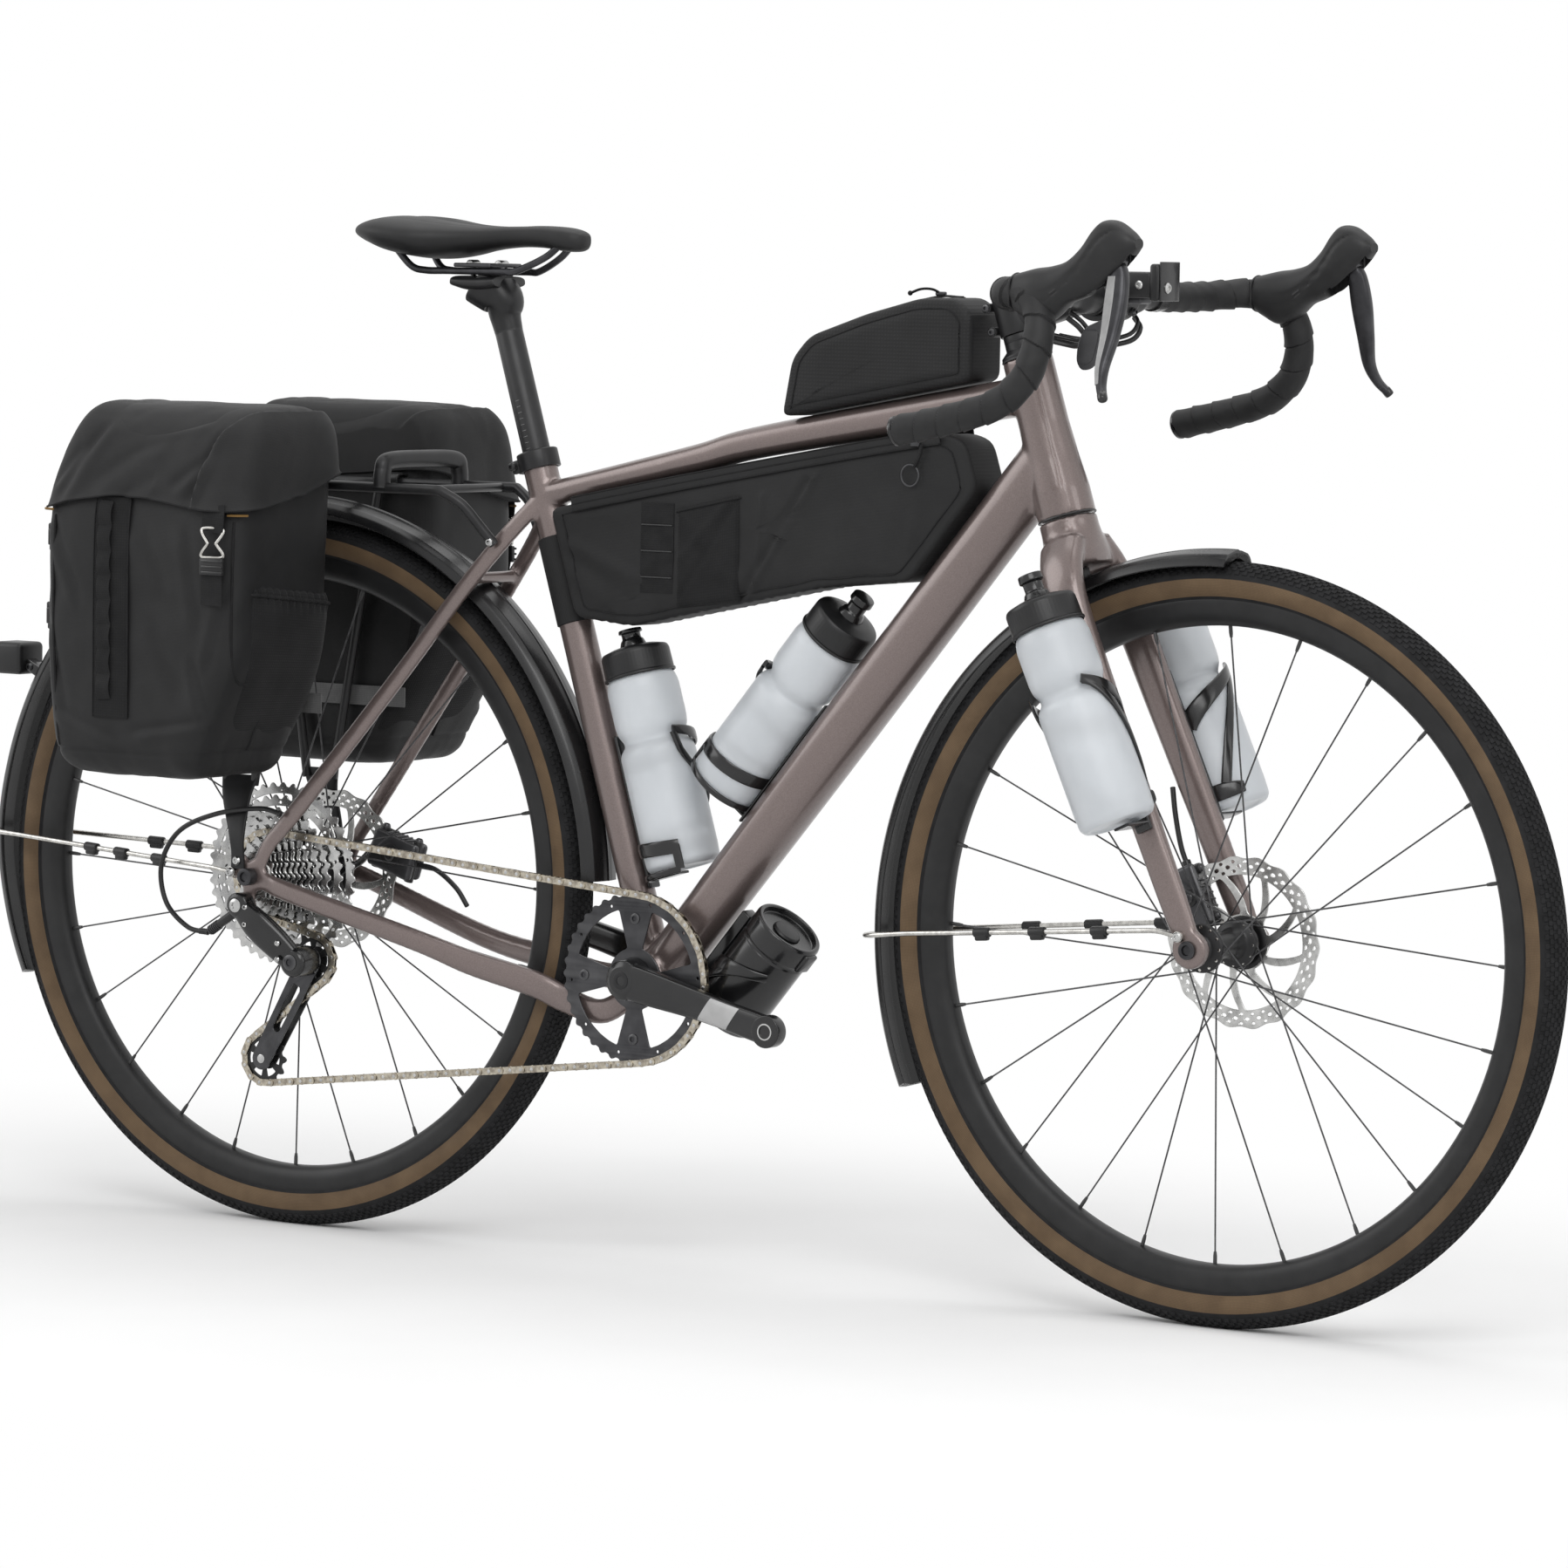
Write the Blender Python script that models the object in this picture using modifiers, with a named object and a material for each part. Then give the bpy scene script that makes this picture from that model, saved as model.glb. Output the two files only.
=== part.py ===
"""Gravel bike with fenders, rack, bags and bottles.

Metres, +X forward, +Y to the bike's left, +Z up, the ground at z = 0.  The drive side is -Y.
Every place is worked out from the bottom bracket, the two wheel axles or the steering axis.
"""

import math

import bmesh
import bpy
from mathutils import Matrix, Vector

# Clearances
GAP = 0.0003
RUNNING = 0.0005

# Wheels and frame geometry
WHEEL_RADIUS = 0.351
BRACKET_X = -0.0755
BRACKET_DROP = 0.072
CHAINSTAY = 0.444
HEAD_AHEAD = 0.4436
HEAD_RISE = 0.4563
HEAD_ANGLE = math.radians(72.2)
HEAD_LENGTH = 0.154
SEAT_ANGLE = math.radians(73.0)
SEAT_TUBE_SETBACK = 0.005
SEAT_TUBE_PAST_TOP_TUBE = 0.03463
POST_BORE_DEPTH = 0.26
FORK_OFFSET = 0.0487
REAR_SPACING = 0.142
FRONT_SPACING = 0.100

# Tubes of the frame
SEAT_TUBE_RADIUS = 0.0168
DOWN_TUBE_HALF_WIDTH = 0.0265
DOWN_TUBE_HALF_HEIGHT = 0.0265
HEAD_FOOT_RADIUS = 0.0275
HEAD_TOP_RADIUS = 0.0235
SHELL_RADIUS = 0.0235
SHELL_HALF_WIDTH = 0.034
DROPOUT_THICKNESS = 0.007
FORK_TIP_THICKNESS = 0.012

# Round things that run inside others
POST_RADIUS = 0.0136
STEERER_RADIUS = 0.0143
SPINDLE_RADIUS = 0.0145
AXLE_RADIUS = 0.006

# Tyres, rims, hubs and rotors
WHEEL_SIDES = 28
TYRE_HEIGHT = 0.0345
TYRE_BEAD = 0.0055
RIM_DEPTH = 0.020
TYRE_HALF_WIDTH = 0.020
TREAD_FLAT = 0.0045
RIM_OUTER = WHEEL_RADIUS - TYRE_HEIGHT
RIM_INNER = RIM_OUTER - RIM_DEPTH
RIM_HALF_WIDTH = 0.0135
SPOKES = 28
SPOKE_RADIUS = 0.001
ROTOR_RADIUS = 0.080
ROTOR_THICKNESS = 0.0018
ROTOR_BORE = 0.0168
FRONT_ROTOR_INSET = 0.0104
REAR_ROTOR_INSET = 0.0153

# Drive
CHAIN_PITCH = 0.0127
CHAINLINE = -0.046
RING_TEETH = 40
COG_TEETH = (11, 12, 13, 15, 17, 19, 21, 24, 28, 32, 38, 44)
CHAIN_COG = 6
COG_SPACING = 0.00365
PULLEY_TEETH = 12
CRANK_LENGTH = 0.1725
CRANK_TILT = math.radians(-12.0)
CAGE_PIVOT = (0.054, -0.081)
LOWER_PULLEY = (-0.004, -0.183)

# Fenders, seat, bar and luggage
FRONT_FENDER_ROOM = 0.0165
REAR_FENDER_ROOM = 0.0230
FRONT_FENDER_RADIUS = WHEEL_RADIUS + FRONT_FENDER_ROOM
REAR_FENDER_RADIUS = WHEEL_RADIUS + REAR_FENDER_ROOM
FENDER_HALF_WIDTH = 0.0265
FENDER_THICKNESS = 0.002
FENDER_RIDGE = 0.0015
REAR_FENDER_START = 2.3
REAR_FENDER_STEP = 12.53
REAR_FENDER_STEPS = 14
POST_INSERTION = 0.165
RAIL_HEIGHT = 0.950
RAIL_SETBACK = 0.009
POST_BELOW_RAILS = 0.02166
RAIL_RADIUS = 0.0035
RAIL_HALF_SPAN = 0.022
STEM_RISE = 0.1835
STEM_REACH = 0.0982
BAR_CLAMP_RADIUS = 0.0159
BAR_RADIUS = 0.0117
TAPE_THICKNESS = 0.0018
BOTTLE_RADIUS = 0.0365
BOTTLE_LENGTH = 0.228
NOZZLE_LENGTH = 0.015
KEG_RADIUS = 0.035
KEG_LENGTH = 0.115
RACK_HEIGHT = 0.7385
RACK_HALF_WIDTH = 0.0645
RACK_TUBE = 0.0052
PANNIER_DEPTH = 0.165
PANNIER_LENGTH = 0.238
PANNIER_TOP = 0.815
PANNIER_BOTTOM = 0.458
PANNIER_SIDES = 12
PANNIER_SQUARE = 5.0

# Derived places
FORWARD = Vector((1.0, 0.0, 0.0))
SIDE = Vector((0.0, 1.0, 0.0))
UP = Vector((0.0, 0.0, 1.0))
BRACKET = Vector((BRACKET_X, 0.0, WHEEL_RADIUS - BRACKET_DROP))
REAR_AXLE = Vector((BRACKET_X - math.sqrt(CHAINSTAY**2 - BRACKET_DROP**2), 0.0, WHEEL_RADIUS))
HEAD_FOOT = BRACKET + Vector((HEAD_AHEAD, 0.0, HEAD_RISE))
STEER_UP = Vector((-math.cos(HEAD_ANGLE), 0.0, math.sin(HEAD_ANGLE)))
STEER_AHEAD = Vector((math.sin(HEAD_ANGLE), 0.0, math.cos(HEAD_ANGLE)))
AXLE_DROP = (HEAD_FOOT.z + FORK_OFFSET * STEER_AHEAD.z - WHEEL_RADIUS) / STEER_UP.z
FRONT_AXLE = HEAD_FOOT - STEER_UP * AXLE_DROP + STEER_AHEAD * FORK_OFFSET
SEAT_UP = Vector((-math.cos(SEAT_ANGLE), 0.0, math.sin(SEAT_ANGLE)))
SEAT_AHEAD = Vector((math.sin(SEAT_ANGLE), 0.0, math.cos(SEAT_ANGLE)))
DOWN_TUBE_TOP = (0.4254, 0.5129)
TUBE_UP = Vector((DOWN_TUBE_TOP[0], 0.0, DOWN_TUBE_TOP[1])).normalized()
TUBE_BACK = Vector((-TUBE_UP.z, 0.0, TUBE_UP.x))
BLADE_LEAN = 0.118
BLADE_UP = (STEER_UP - STEER_AHEAD * BLADE_LEAN).normalized()
BLADE_AHEAD = Vector((BLADE_UP.z, 0.0, -BLADE_UP.x))
BAR_CENTRE = HEAD_FOOT + STEER_UP * STEM_RISE + STEER_AHEAD * STEM_REACH
POST_TOP = (RAIL_HEIGHT - BRACKET.z) / math.sin(SEAT_ANGLE) - POST_BELOW_RAILS
RAIL_CLAMP = Vector(
    (
        BRACKET.x - SEAT_TUBE_SETBACK - (RAIL_HEIGHT - BRACKET.z) / math.tan(SEAT_ANGLE) - RAIL_SETBACK,
        0.0,
        RAIL_HEIGHT,
    )
)
DROPOUT_MIDDLE = (REAR_SPACING + DROPOUT_THICKNESS) / 2.0 + GAP
DROPOUT_FACE = DROPOUT_MIDDLE + DROPOUT_THICKNESS / 2.0
FORK_TIP_MIDDLE = (FRONT_SPACING + FORK_TIP_THICKNESS) / 2.0 + GAP
FORK_TIP_FACE = FORK_TIP_MIDDLE + FORK_TIP_THICKNESS / 2.0

# Colours as red, green, blue in linear light
PAINT = (0.205, 0.155, 0.145)
BLACK = (0.018, 0.018, 0.019)
RUBBER = (0.022, 0.022, 0.022)
FABRIC = (0.045, 0.045, 0.047)
SILVER = (0.60, 0.60, 0.58)
CHAIN_METAL = (0.52, 0.48, 0.38)
FROST = (0.72, 0.75, 0.76)


def bracket(ahead, rise, side=0.0):
    """A point given from the bottom bracket."""
    return BRACKET + Vector((ahead, side, rise))


def steer(along, ahead, side=0.0):
    """A point given along the steering axis from the head tube's foot, and square to it."""
    return HEAD_FOOT + STEER_UP * along + STEER_AHEAD * ahead + SIDE * side


def seat(along, ahead, side=0.0):
    """A point given along the seat tube from the bottom bracket, and square to it."""
    foot = BRACKET + Vector((-SEAT_TUBE_SETBACK, 0.0, 0.0))
    return foot + SEAT_UP * along + SEAT_AHEAD * ahead + SIDE * side


def down(along, back, side=0.0):
    """A point given along the down tube from the bottom bracket, and square to it, up and back."""
    return BRACKET + TUBE_UP * along + TUBE_BACK * back + SIDE * side


def bar(ahead, rise, side=0.0):
    """A point given from the middle of the handlebar's clamp."""
    return BAR_CENTRE + Vector((ahead, side, rise))


def from_axle(axle, ahead, rise, side=0.0):
    """A point given from a wheel's axle."""
    return axle + Vector((ahead, side, rise))


def flat(*places):
    """The (x, z) of points in the bike's middle plane."""
    return [(place.x, place.z) for place in places]


def polar(centre, radius, degrees, side=0.0):
    """A point round an axle, counted in degrees from straight ahead, over the top."""
    angle = math.radians(degrees)
    return centre + Vector((radius * math.cos(angle), side, radius * math.sin(angle)))


def pitch_radius(teeth):
    """The radius of the circle that the chain's pins run on."""
    return CHAIN_PITCH / (2.0 * math.sin(math.pi / teeth))


def flat_sided(radius, sides):
    """The corner radius of a polygon whose flats lie at this radius."""
    return radius / math.cos(math.pi / sides)


# The scene and its two collections
for old in list(bpy.data.objects):
    bpy.data.objects.remove(old, do_unlink=True)
PARTS = bpy.data.collections.new("gravel_bike")
CUTTERS = bpy.data.collections.new("cutters")
bpy.context.scene.collection.children.link(PARTS)
bpy.context.scene.collection.children.link(CUTTERS)


def pivot(name, place):
    """An empty on a joint's axis."""
    empty = bpy.data.objects.new(name, None)
    empty.location = place
    PARTS.objects.link(empty)
    return empty


def named(shape, name, colour, roughness=0.5, metallic=0.0, parent=None):
    """Makes a shape one of the bike's pieces, with its own material."""
    shape.name = name
    shape.data.name = name
    material = bpy.data.materials.new(name)
    material.use_nodes = True
    shader = material.node_tree.nodes["Principled BSDF"]
    shader.inputs["Base Color"].default_value = (*colour, 1.0)
    shader.inputs["Roughness"].default_value = roughness
    shader.inputs["Metallic"].default_value = metallic
    material.diffuse_color = (*colour, 1.0)
    shape.data.materials.clear()
    shape.data.materials.append(material)
    shape.data.shade_smooth()
    shape.data.set_sharp_from_angle(angle=math.radians(32.0))
    if parent is not None:
        shape.parent = parent
        shape.matrix_parent_inverse = Matrix.Translation(parent.location).inverted()
    return shape


def solid(mesh_builder, name="shape"):
    """An object from a bmesh, with its faces pointing out."""
    bmesh.ops.recalc_face_normals(mesh_builder, faces=mesh_builder.faces)
    mesh = bpy.data.meshes.new(name)
    mesh_builder.to_mesh(mesh)
    mesh_builder.free()
    shape = bpy.data.objects.new(name, mesh)
    PARTS.objects.link(shape)
    return shape


def aimed(axis, place, twist=0.0):
    """The matrix that stands a shape's own Z along an axis."""
    turn = Vector(axis).to_track_quat("Z", "Y").to_matrix().to_4x4()
    return Matrix.Translation(place) @ turn @ Matrix.Rotation(twist, 4, "Z")


def rod(start, end, radius, sides=16, end_radius=None, twist=0.0):
    """A round bar from one point to another."""
    builder = bmesh.new()
    axis = Vector(end) - Vector(start)
    middle = (Vector(end) + Vector(start)) / 2.0
    bmesh.ops.create_cone(
        builder,
        cap_ends=True,
        segments=sides,
        radius1=radius,
        radius2=radius if end_radius is None else end_radius,
        depth=axis.length,
        matrix=aimed(axis, middle, twist),
    )
    return solid(builder)


def block(centre, size, along=None):
    """A box, its own X turned to a direction in the bike's middle plane."""
    builder = bmesh.new()
    ahead = FORWARD if along is None else Vector(along).normalized()
    turn = Matrix((ahead, SIDE, ahead.cross(SIDE))).transposed().to_4x4()
    scale = Matrix.Diagonal((*size, 1.0))
    bmesh.ops.create_cube(builder, size=1.0, matrix=Matrix.Translation(centre) @ turn @ scale)
    return solid(builder)


def turned(profile, axis, place, sides, ring=False, twist=0.0):
    """A profile of (radius, height), down its outer side, turned round an axis."""
    mesh = bpy.data.meshes.new("turned")
    points = [(radius, 0.0, height) for radius, height in profile]
    edges = [(k, k + 1) for k in range(len(points) - 1)]
    if ring:
        edges.append((len(points) - 1, 0))
    mesh.from_pydata(points, edges, [])
    shape = bpy.data.objects.new("turned", mesh)
    PARTS.objects.link(shape)
    shape.matrix_world = aimed(axis, place, twist)
    screw = shape.modifiers.new("turn", "SCREW")
    screw.steps = sides
    screw.render_steps = sides
    screw.use_merge_vertices = True
    screw.merge_threshold = 0.00001
    return baked(shape)


def baked(shape):
    """The evaluated shape as a welded mesh object, ready to be cut or joined."""
    bpy.context.view_layer.update()
    graph = bpy.context.evaluated_depsgraph_get()
    mesh = bpy.data.meshes.new_from_object(shape.evaluated_get(graph))
    builder = bmesh.new()
    builder.from_mesh(mesh)
    bmesh.ops.remove_doubles(builder, verts=builder.verts, dist=0.00001)
    bmesh.ops.recalc_face_normals(builder, faces=builder.faces)
    builder.to_mesh(mesh)
    builder.free()
    result = bpy.data.objects.new("baked", mesh)
    result.matrix_world = shape.matrix_world.copy()
    PARTS.objects.link(result)
    bpy.data.objects.remove(shape, do_unlink=True)
    return result


def wire(points, radius, resolution=2, shares=None):
    """A round wire through the points; shares scale its radius at each point."""
    curve = bpy.data.curves.new("wire", "CURVE")
    curve.dimensions = "3D"
    curve.bevel_depth = radius
    curve.bevel_resolution = resolution
    curve.use_fill_caps = True
    spline = curve.splines.new("POLY")
    spline.points.add(len(points) - 1)
    for k, (point, place) in enumerate(zip(spline.points, points)):
        point.co = (*place, 1.0)
        point.radius = 1.0 if shares is None else shares[k]
    shape = bpy.data.objects.new("wire", curve)
    PARTS.objects.link(shape)
    return baked(shape)


def smooth(points, steps=4):
    """Points on one smooth curve through the given ones."""
    places = [Vector(point) for point in points]
    places = [places[0] * 2.0 - places[1]] + places + [places[-1] * 2.0 - places[-2]]
    found = []
    for before, start, end, after in zip(places, places[1:], places[2:], places[3:]):
        for step in range(steps):
            t = step / steps
            found.append(
                0.5
                * (
                    2.0 * start
                    + (end - before) * t
                    + (2.0 * before - 5.0 * start + 4.0 * end - after) * t * t
                    + (3.0 * start - before - 3.0 * end + after) * t**3
                )
            )
    return found + [places[-2]]


def oval(centre, across, upward, half_across, half_up, count=12, square=2.0):
    """A ring of points on a superellipse; square 2 is an ellipse, more is squarer."""
    ring = []
    for k in range(count):
        angle = 2.0 * math.pi * (k + 0.5) / count
        cosine = math.cos(angle)
        sine = math.sin(angle)
        reach = math.copysign(abs(cosine) ** (2.0 / square), cosine) * half_across
        rise = math.copysign(abs(sine) ** (2.0 / square), sine) * half_up
        ring.append(Vector(centre) + Vector(across) * reach + Vector(upward) * rise)
    return ring


def loft(rings, closed=False):
    """A solid through rings of as many points each, capped, or joined end to end."""
    builder = bmesh.new()
    rows = [[builder.verts.new(point) for point in ring] for ring in rings]
    pairs = list(zip(rows, rows[1:]))
    if closed:
        pairs.append((rows[-1], rows[0]))
    count = len(rows[0])
    for low, high in pairs:
        for k in range(count):
            after = (k + 1) % count
            builder.faces.new((low[k], low[after], high[after], high[k]))
    if not closed:
        builder.faces.new(rows[0])
        builder.faces.new(rows[-1])
    return solid(builder)


def member(path, sizes, count=12, square=2.0):
    """A tube along a path near the bike's middle plane; sizes are half width and half height."""
    rings = []
    for k, place in enumerate(path):
        before = path[max(k - 1, 0)]
        after = path[min(k + 1, len(path) - 1)]
        way = (after - before).normalized()
        upward = way.cross(SIDE).normalized()
        across = upward.cross(way).normalized()
        rings.append(oval(place, across, upward, *sizes[k], count, square))
    return loft(rings)


def plate(outline, thickness, side, holes=()):
    """A flat plate square to Y, from an outline and holes in (x, z); side is its middle plane."""
    curve = bpy.data.curves.new("plate", "CURVE")
    curve.dimensions = "2D"
    curve.fill_mode = "BOTH"
    curve.extrude = thickness / 2.0
    for loop in (outline, *holes):
        spline = curve.splines.new("POLY")
        spline.points.add(len(loop) - 1)
        spline.use_cyclic_u = True
        for point, place in zip(spline.points, loop):
            point.co = (place[0], place[1], 0.0, 1.0)
    shape = bpy.data.objects.new("plate", curve)
    PARTS.objects.link(shape)
    shape.matrix_world = Matrix.Translation((0.0, side, 0.0)) @ Matrix.Rotation(math.pi / 2.0, 4, "X")
    return baked(shape)


def circle(centre, radius, count, start=0.0):
    """Points round a circle in (x, z)."""
    turns = [start + 2.0 * math.pi * k / count for k in range(count)]
    return [(centre[0] + radius * math.cos(a), centre[1] + radius * math.sin(a)) for a in turns]


def toothed(teeth, root, tip, centre):
    """The outline of a sprocket, two points a tooth."""
    outline = []
    for k in range(teeth):
        for share, radius in ((-0.5, root), (0.0, tip)):
            angle = 2.0 * math.pi * (k + share) / teeth
            outline.append((centre.x + radius * math.cos(angle), centre.z + radius * math.sin(angle)))
    return outline


def window(centre, inner, outer, middle, spread_in, spread_out, count=4):
    """A hole between two radii, round a middle angle, in (x, z)."""
    points = []
    for k in range(count):
        angle = middle - spread_out + 2.0 * spread_out * k / (count - 1)
        points.append((centre.x + outer * math.cos(angle), centre.z + outer * math.sin(angle)))
    for k in range(count):
        angle = middle + spread_in - 2.0 * spread_in * k / (count - 1)
        points.append((centre.x + inner * math.cos(angle), centre.z + inner * math.sin(angle)))
    return points


def changed(shape, tools, operation):
    """Adds one Boolean a tool, and puts the tools with the cutters."""
    for tool in tools:
        change = shape.modifiers.new(operation.lower(), "BOOLEAN")
        change.operation = operation
        change.solver = "EXACT"
        change.object = tool
        tool.hide_render = True
        tool.display_type = "WIRE"
        if tool.name in PARTS.objects:
            PARTS.objects.unlink(tool)
            CUTTERS.objects.link(tool)
    return shape


def fused(shape, *others):
    """The shape with the others joined to it."""
    return changed(shape, others, "UNION")


def cut(shape, *cutters):
    """The shape with the cutters taken away."""
    return changed(shape, cutters, "DIFFERENCE")


def rounded(shape, width, segments=1):
    """Bevels the sharper edges of a mesh."""
    bevel = shape.modifiers.new("bevel", "BEVEL")
    bevel.width = width
    bevel.segments = segments
    bevel.limit_method = "ANGLE"
    bevel.angle_limit = math.radians(40.0)
    return shape


def across(place, low, high):
    """Two points on a line along Y through a place."""
    return Vector((place.x, low, place.z)), Vector((place.x, high, place.z))


def mirrored(function, *values):
    """The same piece on the right and on the left."""
    return [function(side, *values) for side in (-1.0, 1.0)]


# Main frame
def chainstay(side):
    """One chainstay; the right one drops under the chainring."""
    ends = [
        ((-0.4381, 0.072), DROPOUT_MIDDLE, 0.0033, 0.010),
        ((-0.4200, 0.0663), DROPOUT_MIDDLE, 0.0033, 0.010),
        ((-0.3920, 0.0577), 0.0722, 0.006, 0.010),
    ]
    if side < 0.0:
        run = [
            ((-0.250, 0.020), 0.0570, 0.0080, 0.0105),
            ((-0.190, 0.002), 0.0495, 0.0080, 0.0120),
            ((-0.1208, -0.014), 0.0405, 0.0080, 0.0130),
            ((-0.0895, -0.027), 0.0345, 0.0065, 0.0130),
            ((-0.0487, -0.036), 0.0335, 0.0070, 0.0120),
            ((-0.0240, -0.0235), 0.0264, 0.0068, 0.0116),
            ((-0.002, -0.009), 0.0262, 0.0070, 0.0112),
        ]
    else:
        run = [
            ((-0.250, 0.016), 0.0570, 0.0080, 0.0110),
            ((-0.160, 0.001), 0.0465, 0.0080, 0.0120),
            ((-0.090, -0.009), 0.0365, 0.0080, 0.0120),
            ((-0.0240, -0.0067), 0.0264, 0.0068, 0.0114),
            ((-0.002, -0.006), 0.0262, 0.0070, 0.0112),
        ]
    path = [bracket(*place, side * out) for place, out, _, _ in ends + run]
    sizes = [(wide, high) for _, _, wide, high in ends + run]
    return member(path, sizes, 8, 2.4)


def seatstay(side):
    """One seatstay, from the dropout up to the seat tube."""
    run = [
        ((-0.4321, 0.080), DROPOUT_MIDDLE, 0.0033, 0.0085),
        ((-0.4200, 0.104), 0.0735, 0.0035, 0.0085),
        ((-0.3860, 0.1460), 0.0665, 0.0048, 0.0090),
        ((-0.2820, 0.2765), 0.0490, 0.0055, 0.0088),
        ((-0.2170, 0.3610), 0.0385, 0.0055, 0.0086),
        ((-0.1790, 0.4085), 0.0285, 0.0055, 0.0088),
        ((-0.1500, 0.4450), 0.0140, 0.0048, 0.0090),
        ((-0.1400, 0.4540), 0.0070, 0.0040, 0.0090),
    ]
    path = [bracket(*place, side * out) for place, out, _, _ in run]
    return member(path, [(wide, high) for _, _, wide, high in run], 8)


def dropout(side):
    """A dropout's round face round the axle."""
    middle = side * DROPOUT_MIDDLE
    half = DROPOUT_THICKNESS / 2.0
    return rod(*across(REAR_AXLE, middle - half, middle + half), 0.016, 16)


def eyelet(side, ahead, rise, inset, radius=0.0075):
    """A threaded eye beside a dropout, a little thinner than it."""
    middle = side * DROPOUT_MIDDLE
    half = DROPOUT_THICKNESS / 2.0 - inset
    return rod(*across(from_axle(REAR_AXLE, ahead, rise), middle - half, middle + half), radius, 8)


RACK_EYE = (-0.0145, 0.0150)
STAY_EYE = (-0.0215, 0.0035)
HANGER = (-0.006, -0.028)


TOP_TUBE = (
    ((-0.144, 0.4565), 0.0160, 0.0120),
    ((0.0308, 0.4968), 0.0195, 0.0140),
    ((0.1101, 0.5170), 0.0205, 0.0152),
    ((0.352, 0.5598), 0.0220, 0.0180),
    ((0.407, 0.569), 0.0220, 0.0180),
)
TOP_TUBE_SIDES = 8
SEAT_TUBE_LENGTH = TOP_TUBE[0][0][1] / math.sin(SEAT_ANGLE) + SEAT_TUBE_PAST_TOP_TUBE
TOP_TUBE_SQUARE = 2.3


def on_top_tube(ahead):
    """A point on the flat along the top tube's upper side."""
    share = math.cos(math.pi / TOP_TUBE_SIDES) ** (2.0 / TOP_TUBE_SQUARE)
    for ((start, low), _, depth), ((end, high), _, other_depth) in zip(TOP_TUBE, TOP_TUBE[1:]):
        if start <= ahead <= end:
            t = (ahead - start) / (end - start)
            half = depth + (other_depth - depth) * t
            slope = math.atan2(high - low, end - start)
            return bracket(ahead, low + (high - low) * t + half * share / math.cos(slope))
    raise ValueError("the place is past the top tube's end")


DOWN_TUBE = (
    ((0.0, 0.0), 0.0300, 0.0225),
    ((0.055, 0.0663), 0.0290, 0.0240),
    ((0.21, 0.2532), DOWN_TUBE_HALF_WIDTH, DOWN_TUBE_HALF_HEIGHT),
    (DOWN_TUBE_TOP, 0.0225, 0.0275),
)


def down_tube_half(along):
    """Half the down tube's height at a distance along it."""
    for (start, _, depth), (end, _, other_depth) in zip(DOWN_TUBE, DOWN_TUBE[1:]):
        low, high = math.hypot(*start), math.hypot(*end)
        if low <= along <= high:
            return depth + (other_depth - depth) * (along - low) / (high - low)
    raise ValueError("the place is past the down tube's end")


def main_frame():
    head = turned(
        [
            (0.0, HEAD_LENGTH),
            (HEAD_TOP_RADIUS, HEAD_LENGTH),
            (HEAD_TOP_RADIUS, 0.09),
            (0.0250, 0.055),
            (HEAD_FOOT_RADIUS, 0.025),
            (HEAD_FOOT_RADIUS, 0.0),
            (0.0, 0.0),
        ],
        STEER_UP,
        HEAD_FOOT,
        16,
    )
    down_tube = member([bracket(*place) for place, _, _ in DOWN_TUBE], [sizes for _, *sizes in DOWN_TUBE], 10)
    top_tube = member(
        [bracket(*place) for place, _, _ in TOP_TUBE],
        [sizes for _, *sizes in TOP_TUBE],
        TOP_TUBE_SIDES,
        TOP_TUBE_SQUARE,
    )
    seat_tube = rod(seat(0.0, 0.0), seat(SEAT_TUBE_LENGTH, 0.0), SEAT_TUBE_RADIUS, 12)
    shell = rod(*across(BRACKET, -SHELL_HALF_WIDTH, SHELL_HALF_WIDTH), SHELL_RADIUS, 16)
    bridge_radius = REAR_FENDER_RADIUS + FENDER_RIDGE + GAP + 0.006
    bridge_turn = REAR_FENDER_START + 4.0 * REAR_FENDER_STEP
    bridge = rod(*across(polar(REAR_AXLE, bridge_radius, bridge_turn), -0.038, 0.038), 0.006, 8)
    middle = -DROPOUT_MIDDLE
    hanger = block(
        from_axle(REAR_AXLE, HANGER[0] / 2.0, HANGER[1] / 2.0, middle),
        (0.030, DROPOUT_THICKNESS - 0.0006, 0.015),
        Vector((HANGER[0], 0.0, HANGER[1])),
    )
    hanger_eye = eyelet(-1.0, *HANGER, 0.0002, 0.010)
    joined = fused(
        shell,
        seat_tube,
        down_tube,
        top_tube,
        head,
        *mirrored(chainstay),
        *mirrored(seatstay),
        bridge,
        *mirrored(dropout),
        *mirrored(eyelet, *RACK_EYE, 0.00015),
        *mirrored(eyelet, *STAY_EYE, 0.0004),
        hanger,
        hanger_eye,
    )
    bore_foot = seat(SEAT_TUBE_LENGTH - POST_BORE_DEPTH, 0.0)
    bore_top = seat(SEAT_TUBE_LENGTH + 0.01, 0.0)
    post_bore = rod(bore_foot, bore_top, POST_RADIUS + 2.0 * GAP, 12)
    steerer_bore = rod(steer(-0.02, 0.0), steer(HEAD_LENGTH + 0.02, 0.0), STEERER_RADIUS + RUNNING, 12)
    shell_bore = rod(*across(BRACKET, -0.05, 0.05), 0.0192 + GAP, 12)
    axle_bore = rod(*across(REAR_AXLE, -0.1, 0.1), AXLE_RADIUS + 0.0006, 12)
    return cut(joined, shell_bore, axle_bore, post_bore, steerer_bore)


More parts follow.
